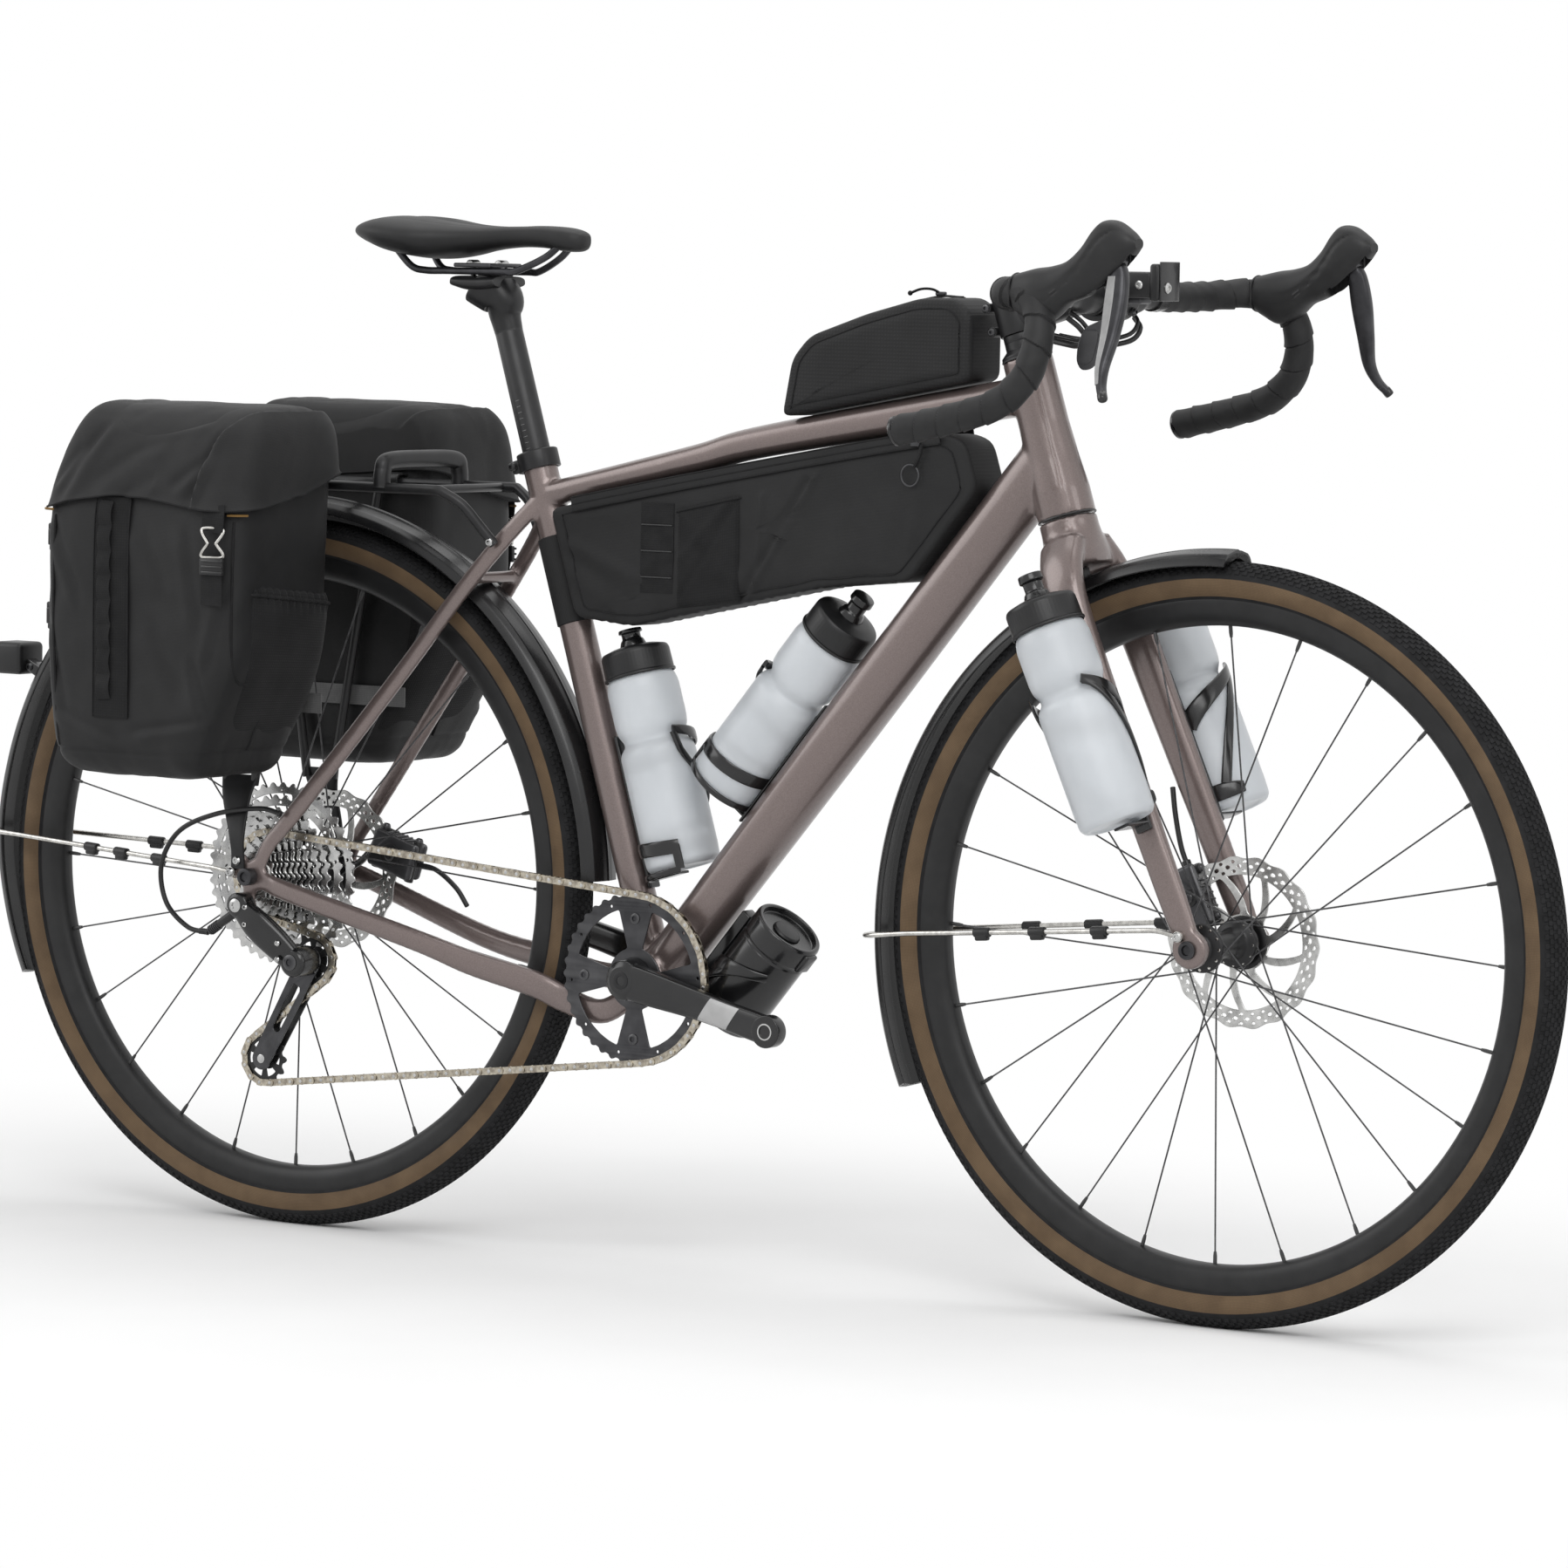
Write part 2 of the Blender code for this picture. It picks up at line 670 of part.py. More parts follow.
def seat_clamp():
    top = SEAT_TUBE_LENGTH
    outer = SEAT_TUBE_RADIUS + 0.0035
    collar = turned(
        [
            (outer - 0.001, 0.009),
            (outer, 0.008),
            (outer, -0.009),
            (SEAT_TUBE_RADIUS + GAP, -0.009),
            (SEAT_TUBE_RADIUS + GAP, GAP),
            (POST_RADIUS + GAP, GAP),
            (POST_RADIUS + GAP, 0.009),
        ],
        SEAT_UP,
        seat(top, 0.0),
        12,
        ring=True,
    )
    ears = block(seat(top - 0.0005, -outer - 0.0035), (0.013, 0.015, 0.011), SEAT_UP)
    bolt = rod(seat(top, -outer - 0.004, -0.0125), seat(top, -outer - 0.004, 0.0125), 0.0042, 8)
    return fused(collar, ears, bolt)


def bottom_bracket():
    face = SHELL_HALF_WIDTH + GAP
    flange = 0.004
    bore = SPINDLE_RADIUS + 0.0006
    return turned(
        [
            (0.0220, face + flange),
            (0.0220, face),
            (0.0192, face),
            (0.0192, -face),
            (0.0220, -face),
            (0.0220, -face - flange),
            (bore, -face - flange),
            (bore, face + flange),
        ],
        SIDE,
        BRACKET,
        12,
        ring=True,
    )


def thru_axle(centre, right, left, head, reach):
    """An axle with a flanged head at each end; reach is how far the right head stands out."""
    return turned(
        [
            (0.0, left + 0.0035),
            (head, left + 0.0035),
            (head, left + GAP),
            (AXLE_RADIUS, left + GAP),
            (AXLE_RADIUS, -right - GAP),
            (head, -right - GAP),
            (head, -right - reach),
            (0.0, -right - reach),
        ],
        SIDE,
        centre,
        12,
    )


# Fork, headset, stem and bar
def blade_line(rise, out=0.0, ahead=0.0):
    """A point on the fork blade's middle line, rise above the front axle along the blade."""
    return FRONT_AXLE + BLADE_UP * rise + BLADE_AHEAD * ahead + SIDE * out


def blade_side(rise):
    """How far the blade's middle stands out from the bike's middle."""
    return 0.0565 - 0.0065 * rise / 0.335


def fork_blade(side):
    run = [
        (0.000, 0.0057, 0.0120),
        (0.040, 0.0075, 0.0140),
        (0.120, 0.0088, 0.0150),
        (0.330, 0.0112, 0.0185),
    ]
    path = [blade_line(rise, side * blade_side(rise)) for rise, _, _ in run]
    path.append(steer(-0.052, 0.004, side * 0.0400))
    path.append(steer(-0.026, 0.001, side * 0.0220))
    sizes = [(wide, deep) for _, wide, deep in run] + [(0.0115, 0.0220), (0.0120, 0.0240)]
    return member(path, sizes, 8, 2.3)


def fork_tip(side):
    middle = side * FORK_TIP_MIDDLE
    half = FORK_TIP_THICKNESS / 2.0
    return rod(*across(FRONT_AXLE, middle - half, middle + half), 0.0175, 14)


def fork():
    crown = loft(
        [
            oval(steer(-0.0008, 0.0), STEER_AHEAD, SIDE, 0.0272, 0.0272, 14),
            oval(steer(-0.016, 0.0), STEER_AHEAD, SIDE, 0.0272, 0.0285, 14),
            oval(steer(-0.036, 0.001), STEER_AHEAD, SIDE, 0.0262, 0.0360, 14, 2.4),
            oval(steer(-0.0485, 0.002), STEER_AHEAD, SIDE, 0.0235, 0.0360, 14, 2.6),
        ]
    )
    steerer = rod(steer(-0.020, 0.0), steer(0.2140, 0.0), STEERER_RADIUS, 12)
    joined = fused(crown, steerer, *mirrored(fork_blade), *mirrored(fork_tip))
    bore = rod(*across(FRONT_AXLE, -0.09, 0.09), AXLE_RADIUS + 0.0006, 12)
    return cut(joined, bore)


COVER_TOP = HEAD_LENGTH + 0.008
CLAMP_FOOT = 0.1765
CLAMP_TOP = 0.2190


def headset_spacers():
    bore = STEERER_RADIUS + GAP
    return turned(
        [
            (0.0175, CLAMP_FOOT - GAP),
            (0.0175, COVER_TOP),
            (HEAD_TOP_RADIUS, HEAD_LENGTH + 0.003),
            (HEAD_TOP_RADIUS, HEAD_LENGTH + GAP),
            (bore, HEAD_LENGTH + GAP),
            (bore, CLAMP_FOOT - GAP),
        ],
        STEER_UP,
        HEAD_FOOT,
        12,
        ring=True,
    )


def stem():
    clamp = turned(
        [
            (0.0, CLAMP_TOP),
            (0.0150, CLAMP_TOP),
            (0.0195, CLAMP_TOP - 0.004),
            (0.0195, CLAMP_FOOT),
            (0.0, CLAMP_FOOT),
        ],
        STEER_UP,
        HEAD_FOOT,
        16,
    )
    arm = member(
        [steer(0.1965, 0.0), steer(0.1925, 0.030), bar(-0.020, 0.002), bar(0.0, 0.0)],
        [(0.0165, 0.0170), (0.0160, 0.0165), (0.0185, 0.0165), (0.0185, 0.0165)],
        10,
        3.2,
    )
    face = rod(*across(BAR_CENTRE, -0.0225, 0.0225), BAR_CLAMP_RADIUS + 0.0065, 16)
    joined = fused(clamp, arm, face)
    steerer_bore = rod(steer(CLAMP_FOOT - 0.01, 0.0), steer(0.2145, 0.0), STEERER_RADIUS + GAP, 12)
    bar_bore = rod(*across(BAR_CENTRE, -0.04, 0.04), BAR_CLAMP_RADIUS + 2.0 * GAP, 16)
    return cut(joined, steerer_bore, bar_bore)


def transported(path, upward):
    """A place, an across and an upward direction at each point, carried along without twisting."""
    frames = []
    up = Vector(upward)
    for k, place in enumerate(path):
        before = path[max(k - 1, 0)]
        after = path[min(k + 1, len(path) - 1)]
        way = (Vector(after) - Vector(before)).normalized()
        up = (up - way * up.dot(way)).normalized()
        frames.append((Vector(place), way.cross(up), up))
    return frames


def rings_round(frames, radii, count=8):
    """A circle of points round each frame."""
    return [oval(place, wide, up, radius, radius, count) for (place, wide, up), radius in zip(frames, radii)]


def sleeve(outer, inner):
    """A hollow tube from its outer and inner rings."""
    builder = bmesh.new()
    count = len(outer[0])
    outside = [[builder.verts.new(point) for point in ring] for ring in outer]
    inside = [[builder.verts.new(point) for point in ring] for ring in inner]
    for rows in (outside, inside):
        for low, high in zip(rows, rows[1:]):
            for k in range(count):
                after = (k + 1) % count
                builder.faces.new((low[k], low[after], high[after], high[k]))
    for near, far in ((outside[0], inside[0]), (outside[-1], inside[-1])):
        for k in range(count):
            after = (k + 1) % count
            builder.faces.new((near[k], near[after], far[after], far[k]))
    return solid(builder)


TAPE_START = 0.085


def bar_places(side):
    """The bar's middle line from the stem to its end, on one side."""
    straight = [bar(0.0, 0.0, 0.0), bar(0.0, 0.0, side * 0.045), bar(0.0, 0.0, side * 0.060)]
    bend = smooth(
        [
            bar(0.0, 0.0, side * TAPE_START),
            bar(0.0, 0.0, side * 0.140),
            bar(0.004, 0.001, side * 0.172),
            bar(0.023, 0.004, side * 0.199),
            bar(0.049, 0.002, side * 0.208),
            bar(0.066, -0.015, side * 0.216),
            bar(0.070, -0.042, side * 0.228),
            bar(0.061, -0.072, side * 0.237),
            bar(0.035, -0.0950, side * 0.242),
            bar(-0.006, -0.1085, side * 0.246),
            bar(-0.065, -0.1220, side * 0.251),
        ],
        1,
    )
    return straight + bend


def handlebar():
    left = transported(bar_places(1.0), (0.0, 0.0, 1.0))
    right = transported(bar_places(-1.0), (0.0, 0.0, 1.0))
    radii = [BAR_CLAMP_RADIUS, BAR_CLAMP_RADIUS] + [BAR_RADIUS] * (len(left) - 2)
    halves = rings_round(left, radii), rings_round(right, radii)
    other = [list(reversed(ring)) for ring in halves[1]]
    turned_other = [ring[-len(ring) // 2 :] + ring[: -len(ring) // 2] for ring in other]
    return loft(list(reversed(turned_other))[:-1] + halves[0])


def bar_tape(side):
    frames = transported(bar_places(side), (0.0, 0.0, 1.0))[3:]
    outer = BAR_RADIUS + GAP + TAPE_THICKNESS
    inner = BAR_RADIUS + GAP
    return sleeve(rings_round(frames, [outer] * len(frames)), rings_round(frames, [inner] * len(frames)))


LEVER_PIVOT = (0.137, 0.034)
LEVER_SIDE = 0.214


def lever_pin(side, half, radius):
    """A round bar on the lever's pivot."""
    start = bar(*LEVER_PIVOT, side * (LEVER_SIDE - half))
    end = bar(*LEVER_PIVOT, side * (LEVER_SIDE + half))
    return rod(start, end, radius, 12)


def hood(side):
    """The rubber hood and the lever body in it, up to the nose."""
    sections = [
        (0.037, 0.2040, 0.0230, -0.0040, 0.0150),
        (0.059, 0.2065, 0.0255, -0.0100, 0.0165),
        (0.089, 0.2100, 0.0320, -0.0040, 0.0165),
        (0.106, 0.2120, 0.0470, 0.0005, 0.0162),
        (0.118, 0.2135, 0.0630, 0.0050, 0.0160),
        (0.133, 0.2150, 0.0690, 0.0130, 0.0160),
        (0.149, 0.2150, 0.0650, 0.0250, 0.0150),
        (0.1595, 0.2150, 0.0560, 0.0430, 0.0090),
    ]
    rings = []
    for ahead, out, top, foot, half in sections:
        centre = bar(ahead, (top + foot) / 2.0, side * out)
        rings.append(oval(centre, SIDE, UP, half, (top - foot) / 2.0, 10, 2.4))
    body = loft(rings)
    frames = transported(bar_places(side), (0.0, 0.0, 1.0))[3:]
    room = BAR_RADIUS + TAPE_THICKNESS + 4.0 * GAP
    bar_room = loft(rings_round(frames, [room] * len(frames)))
    pivot_room = lever_pin(side, 0.0076, 0.0088)
    below_pivot = bar(LEVER_PIVOT[0] + 0.002, LEVER_PIVOT[1] - 0.030, side * LEVER_SIDE)
    mouth = block(below_pivot, (0.050, 0.0152, 0.060))
    return cut(body, bar_room, pivot_room, mouth)


def brake_lever(side):
    """The lever's blade below its pivot in the hood."""
    pin = lever_pin(side, 0.0070, 0.0080)
    path = [
        bar(0.1380, 0.032, side * 0.2140),
        bar(0.1435, 0.020, side * 0.2145),
        bar(0.1450, -0.004, side * 0.2170),
        bar(0.1430, -0.033, side * 0.2220),
        bar(0.1400, -0.059, side * 0.2330),
        bar(0.1425, -0.075, side * 0.2420),
        bar(0.1480, -0.086, side * 0.2500),
    ]
    sizes = [
        (0.0060, 0.0060),
        (0.0060, 0.0060),
        (0.0060, 0.0058),
        (0.0058, 0.0052),
        (0.0052, 0.0042),
        (0.0048, 0.0036),
        (0.0042, 0.0036),
    ]
    return fused(member(path, sizes, 8, 2.6), pin)


def shift_paddle():
    """The right lever's shift paddle, with its pin against the lever."""
    outline = [
        bar(0.1300, -0.012),
        bar(0.1410, -0.012),
        bar(0.1410, -0.021),
        bar(0.1240, -0.030),
        bar(0.1170, -0.055),
        bar(0.1095, -0.063),
        bar(0.1015, -0.063),
        bar(0.0940, -0.055),
        bar(0.0950, -0.040),
        bar(0.1020, -0.022),
    ]
    blade = plate(flat(*outline), 0.003, -0.2075)
    pin = rod(bar(0.1390, -0.0165, -0.2065), bar(0.1390, -0.0165, -0.2131), 0.0028, 8)
    return fused(blade, pin)


def light_mount():
    """The lamp and computer bracket in front of the stem; its front plate is a mount."""
    box = block(bar(0.0410, 0.0115), (0.0360, 0.036, 0.026))
    front = block(bar(0.0650, 0.0130), (0.0130, 0.044, 0.038))
    return fused(box, front)


def handlebar_hoses():
    """The brake hoses and shift housing, from under the bar into the port by the headset."""
    joined = []
    for side in (-1.0, 1.0):
        path = smooth(
            [
                bar(-0.006, -0.0195, side * 0.0600),
                bar(0.004, -0.0290, side * 0.0540),
                bar(0.003, -0.0400, side * 0.0400),
                bar(-0.016, -0.0455, side * 0.0240),
                bar(-0.036, -0.0445, side * 0.0125),
                steer(HEAD_LENGTH + 0.013, 0.0215, side * 0.0080),
            ],
            1,
        )
        joined.append(wire(path, 0.0025, 1))
    port = block(steer(HEAD_LENGTH + 0.0135, 0.0215), (0.011, 0.026, 0.006), STEER_UP)
    return fused(port, *joined)


# Wheels
TYRE_HALF = (
    (RIM_OUTER - TYRE_BEAD, 0.0115),
    (RIM_OUTER + 0.0005, 0.0115),
    (WHEEL_RADIUS - 0.0210, TYRE_HALF_WIDTH),
    (WHEEL_RADIUS - 0.0045, 0.0130),
    (WHEEL_RADIUS, TREAD_FLAT),
)
TYRE_INSIDE = ((RIM_OUTER - TYRE_BEAD, 0.0085), (WHEEL_RADIUS - 0.0190, 0.0160))


def tyre(axle):
    corner = flat_sided(1.0, WHEEL_SIDES)
    outside = [(radius * corner, out) for radius, out in TYRE_HALF]
    inside = [(radius * corner, out) for radius, out in TYRE_INSIDE]
    profile = (
        outside
        + [(radius, -out) for radius, out in reversed(outside)]
        + [(radius, -out) for radius, out in inside]
        + list(reversed(inside))
    )
    return turned(profile, SIDE, axle, WHEEL_SIDES, ring=True, twist=math.pi / WHEEL_SIDES)


def rim(axle):
    corner = flat_sided(1.0, WHEEL_SIDES)
    half = [
        (RIM_OUTER - TYRE_BEAD - 0.0010, 0.0118),
        (RIM_OUTER, 0.0118),
        (RIM_OUTER, RIM_HALF_WIDTH),
        (RIM_INNER, 0.0075),
    ]
    near = [(radius * corner, out) for radius, out in half]
    profile = list(reversed(near)) + [(radius, -out) for radius, out in near]
    return turned(profile, SIDE, axle, WHEEL_SIDES, ring=True, twist=math.pi / WHEEL_SIDES)


FLANGE_HOLES = 0.0195
SPOKE_END = RIM_INNER - GAP
CROSSING = 3


def spoked_hub(axle, profile, flanges):
    """A hub shell with its spokes, laced three-cross to just inside the rim."""
    shell = turned(profile, SIDE, axle, 8, ring=True)
    each = SPOKES // 2
    lead = 2.0 * math.pi * CROSSING * 2.0 / each * 0.9
    builder = bmesh.new()
    for flange in flanges:
        for k in range(each):
            sense = 1.0 if k % 2 == 0 else -1.0
            offset = 0.5 if flange < 0.0 else 0.0
            rim_angle = 2.0 * math.pi * (k + offset) / each
            hub_angle = rim_angle + sense * lead / 2.0
            lean = sense * 0.0012
            start = polar(axle, FLANGE_HOLES, math.degrees(hub_angle), flange + sense * 0.0016)
            end = polar(axle, SPOKE_END, math.degrees(rim_angle), math.copysign(0.0028, flange) + lean)
            way = end - start
            bmesh.ops.create_cone(
                builder,
                cap_ends=True,
                segments=3,
                radius1=SPOKE_RADIUS,
                radius2=SPOKE_RADIUS,
                depth=way.length,
                matrix=aimed(way, (start + end) / 2.0),
            )
    return fused(shell, solid(builder))


def front_hub():
    cap = FRONT_SPACING / 2.0 - GAP
    seat_middle = FRONT_SPACING / 2.0 - FRONT_ROTOR_INSET
    bore = AXLE_RADIUS + 0.0006
    profile = [
        (bore, cap),
        (0.0100, cap),
        (0.0100, seat_middle + 0.0045),
        (0.0160, seat_middle + 0.0035),
        (0.0160, 0.0285),
        (0.0225, 0.0285),
        (0.0225, 0.0225),
        (0.0130, 0.0200),
        (0.0130, -0.0310),
        (0.0225, -0.0330),
        (0.0225, -0.0390),
        (0.0100, -0.0410),
        (0.0100, -cap),
        (bore, -cap),
    ]
    return spoked_hub(FRONT_AXLE, profile, (0.0255, -0.0360))


FREEHUB_END = -0.0675


def rear_hub():
    cap = REAR_SPACING / 2.0 - GAP
    seat_middle = REAR_SPACING / 2.0 - REAR_ROTOR_INSET
    bore = AXLE_RADIUS + 0.0006
    profile = [
        (bore, cap),
        (0.0100, cap),
        (0.0100, seat_middle + 0.0045),
        (0.0160, seat_middle + 0.0035),
        (0.0160, 0.0375),
        (0.0225, 0.0375),
        (0.0225, 0.0315),
        (0.0140, 0.0290),
        (0.0140, -0.0165),
        (0.0225, -0.0185),
        (0.0225, -0.0245),
        (0.0160, -0.0252),
        (0.0160, FREEHUB_END),
        (0.0100, FREEHUB_END - 0.0010),
        (0.0100, -cap),
        (bore, -cap),
    ]
    return spoked_hub(REAR_AXLE, profile, (0.0345, -0.0215))


def rotor(axle, side):
    """A disc with six windows between its braking ring and its carrier."""
    middle = (axle.x, axle.z)
    holes = [circle(middle, flat_sided(ROTOR_BORE, 12), 12)]
    for k in range(6):
        holes.append(window(axle, 0.026, 0.062, 2.0 * math.pi * k / 6.0, 0.28, 0.42, 2))
    return plate(circle(middle, ROTOR_RADIUS, 24), ROTOR_THICKNESS, side, holes)


# Drive
def cassette():
    """The twelve cogs in one stepped body, with real grooves beside the one that the chain is on."""
    def place(k):
        return CHAINLINE - (CHAIN_COG - k) * COG_SPACING

    half = 0.0008
    groove = pitch_radius(COG_TEETH[CHAIN_COG]) - 0.0062
    last = len(COG_TEETH) - 1
    profile = []
    for k in range(last, -1, -1):
        radius = pitch_radius(COG_TEETH[k]) + 0.0015
        beside = k in (CHAIN_COG, CHAIN_COG + 1)
        foot = place(k - 1) + half if k > 0 and not beside else place(k) - half
        profile += [(radius, place(k) + half), (radius, foot)]
        if beside:
            profile += [(groove, foot), (groove, place(k - 1) + half)]
    profile += [(ROTOR_BORE, place(0) - half), (ROTOR_BORE, place(last) + half)]
    return turned(profile, SIDE, REAR_AXLE, 12, ring=True)


def chainring():
    middle = (BRACKET.x, BRACKET.z)
    pitch = pitch_radius(RING_TEETH)
    holes = [circle(middle, flat_sided(SPINDLE_RADIUS + GAP, 16), 16)]
    for k in range(5):
        middle = CRANK_TILT + 2.0 * math.pi * (k + 0.5) / 5.0
        holes.append(window(BRACKET, 0.033, 0.066, middle, 0.38, 0.46, 2))
    return plate(toothed(RING_TEETH, pitch - 0.0028, pitch + 0.0025, BRACKET), 0.002, CHAINLINE, holes)


RING_FACE = CHAINLINE - 0.001 - GAP


def crank_arm(side, stations):
    """An arm from the bracket out to the pedal eye; stations give reach, inner, outer and half width."""
    way = Vector((math.cos(CRANK_TILT), 0.0, math.sin(CRANK_TILT))) * (1.0 if side < 0.0 else -1.0)
    square = Vector((-way.z, 0.0, way.x))
    rings = []
    for reach, inner, outer, half in stations:
        centre = BRACKET + way * reach + SIDE * (side * (inner + outer) / 2.0)
        rings.append(oval(centre, square, SIDE, half, (outer - inner) / 2.0, 8, 4.0))
    return loft(rings), BRACKET + way * CRANK_LENGTH


def crank_right():
    stations = [
        (0.000, 0.0480, 0.0700, 0.0180),
        (0.030, 0.0500, 0.0695, 0.0170),
        (0.080, 0.0510, 0.0680, 0.0145),
        (0.120, 0.0560, 0.0700, 0.0135),
        (0.1725, 0.0612, 0.0745, 0.0135),
    ]
    arm, eye = crank_arm(-1.0, stations)
    boss = rod(*across(BRACKET, -0.0720, RING_FACE), 0.0210, 16)
    spindle = rod(*across(BRACKET, -0.0600, 0.0640), SPINDLE_RADIUS, 16)
    end = rod(*across(eye, -0.0750, -0.0608), 0.0155, 14)
    hole = rod(*across(eye, -0.09, -0.05), 0.0070, 8)
    return cut(fused(arm, boss, spindle, end), hole)


def crank_left():
    stations = [
        (0.000, 0.0500, 0.0655, 0.0165),
        (0.030, 0.0500, 0.0650, 0.0160),
        (0.080, 0.0520, 0.0660, 0.0145),
        (0.120, 0.0570, 0.0700, 0.0135),
        (0.1725, 0.0612, 0.0745, 0.0135),
    ]
    arm, eye = crank_arm(1.0, stations)
    boss = rod(*across(BRACKET, SHELL_HALF_WIDTH + 0.004 + 3.0 * GAP, 0.0665), 0.0190, 16)
    end = rod(*across(eye, 0.0608, 0.0750), 0.0155, 14)
    hole = rod(*across(eye, 0.05, 0.09), 0.0070, 8)
    bore = rod(*across(BRACKET, 0.03, 0.09), SPINDLE_RADIUS + GAP, 16)
    return cut(fused(arm, boss, end), hole, bore)


CAGE_AXIS = REAR_AXLE + Vector((CAGE_PIVOT[0], 0.0, CAGE_PIVOT[1]))
LOWER_AXIS = REAR_AXLE + Vector((LOWER_PULLEY[0], 0.0, LOWER_PULLEY[1]))
CHAIN_HALF_WIDTH = 0.0025
CHAIN_HALF_HEIGHT = 0.0042
CHAIN_WALL = 0.00125
CHAIN_WEB = 0.0009


def chain_path():
    """Points and outward directions along the chain's pitch line, once round."""
    circles = [
        (BRACKET, pitch_radius(RING_TEETH), 1.0, 14.0),
        (REAR_AXLE, pitch_radius(COG_TEETH[CHAIN_COG]), 1.0, 26.0),
        (CAGE_AXIS, pitch_radius(PULLEY_TEETH), -1.0, 30.0),
        (LOWER_AXIS, pitch_radius(PULLEY_TEETH), 1.0, 30.0),
    ]
    courses = []
    for (start, radius, sense, _), (end, other, other_sense, _) in zip(circles, circles[1:] + circles[:1]):
        span = end - start
        lean = math.asin((radius * sense - other * other_sense) / span.length)
        courses.append(math.atan2(span.z, span.x) + lean)
    found = []
    for k, (centre, radius, sense, step) in enumerate(circles):
        arrive = courses[k - 1] - math.pi / 2.0
        leave = courses[k] - math.pi / 2.0
        turn = ((leave - arrive) * sense) % (2.0 * math.pi)
        count = max(2, round(math.degrees(turn) / step))
        for n in range(count + 1):
            angle = arrive + sense * turn * n / count
            outward = Vector((math.cos(angle), 0.0, math.sin(angle)))
            found.append((centre + outward * radius * sense, outward))
    return found


def chain():
    """The chain as a channel open towards the teeth, all the way round."""
    section = (
        (CHAIN_HALF_HEIGHT, CHAIN_HALF_WIDTH),
        (CHAIN_HALF_HEIGHT, -CHAIN_HALF_WIDTH),
        (-CHAIN_HALF_HEIGHT, -CHAIN_HALF_WIDTH),
        (-CHAIN_HALF_HEIGHT, -CHAIN_WALL),
        (CHAIN_HALF_HEIGHT - CHAIN_WEB, -CHAIN_WALL),
        (CHAIN_HALF_HEIGHT - CHAIN_WEB, CHAIN_WALL),
        (-CHAIN_HALF_HEIGHT, CHAIN_WALL),
        (-CHAIN_HALF_HEIGHT, CHAIN_HALF_WIDTH),
    )
    rings = []
    for place, outward in chain_path():
        rings.append([place + outward * high + SIDE * (CHAINLINE + out) for high, out in section])
    room_radius = pitch_radius(PULLEY_TEETH) + 0.0032
    room = rod(*across(CAGE_AXIS, CHAINLINE - 0.0013, CHAINLINE + 0.0013), room_radius, 20)
    return cut(loft(rings, closed=True), room)


PULLEY_PIN = 0.0030


def pulley(axis):
    pitch = pitch_radius(PULLEY_TEETH)
    hole = circle((axis.x, axis.z), PULLEY_PIN + 0.0006, 8)
    return plate(toothed(PULLEY_TEETH, pitch - 0.0028, pitch + 0.0022, axis), 0.002, CHAINLINE, [hole])


CAGE_SPREAD = 0.0055
CAGE_PLATE = 0.002


def derailleur_cage():
    """Two plates with the pulleys between them on their pins."""
    way = (LOWER_AXIS - CAGE_AXIS).normalized()
    lean = math.atan2(way.z, way.x)
    outline = []
    quarter = math.pi / 2.0
    for centre, radius, start in ((CAGE_AXIS, 0.0130, lean + quarter), (LOWER_AXIS, 0.0110, lean - quarter)):
        for n in range(6):
            angle = start + math.pi * n / 5.0
            outline.append((centre.x + radius * math.cos(angle), centre.z + radius * math.sin(angle)))
    plates = [plate(outline, CAGE_PLATE, CHAINLINE + side * CAGE_SPREAD) for side in (-1.0, 1.0)]
    reach = CAGE_SPREAD + CAGE_PLATE
    pins = [
        rod(*across(axis, CHAINLINE - reach, CHAINLINE + reach), PULLEY_PIN, 8)
        for axis in (CAGE_AXIS, LOWER_AXIS)
    ]
    return fused(plates[0], *pins, plates[1])


def derailleur_body():
    """The hanger knuckle, the linkage and the lower knuckle outside the cage."""
    upper = from_axle(REAR_AXLE, *HANGER)
    outer_face = -(DROPOUT_FACE + GAP)
    knuckle = rod(*across(upper, -0.0950, outer_face), 0.0125, 12)
    cage_face = CHAINLINE - CAGE_SPREAD - CAGE_PLATE - GAP - 0.0005
    lower = rod(*across(CAGE_AXIS, -0.0840, cage_face), 0.0150, 12)
    link = member(
        [
            Vector((upper.x, -0.0880, upper.z)),
            Vector(((upper.x * 2.0 + CAGE_AXIS.x) / 3.0, -0.0865, (upper.z * 2.0 + CAGE_AXIS.z) / 3.0)),
            Vector(((upper.x + CAGE_AXIS.x * 2.0) / 3.0, -0.0810, (upper.z + CAGE_AXIS.z * 2.0) / 3.0)),
            Vector((CAGE_AXIS.x, -0.0760, CAGE_AXIS.z)),
        ],
        [(0.0065, 0.0100), (0.0080, 0.0150), (0.0080, 0.0150), (0.0070, 0.0120)],
        8,
        3.0,
    )
    barrel_foot = from_axle(REAR_AXLE, -0.044, -0.0565, -0.0860)
    barrel = rod(barrel_foot, from_axle(REAR_AXLE, -0.006, -0.032, -0.0870), 0.0045, 8)
    return fused(knuckle, link, lower, barrel)


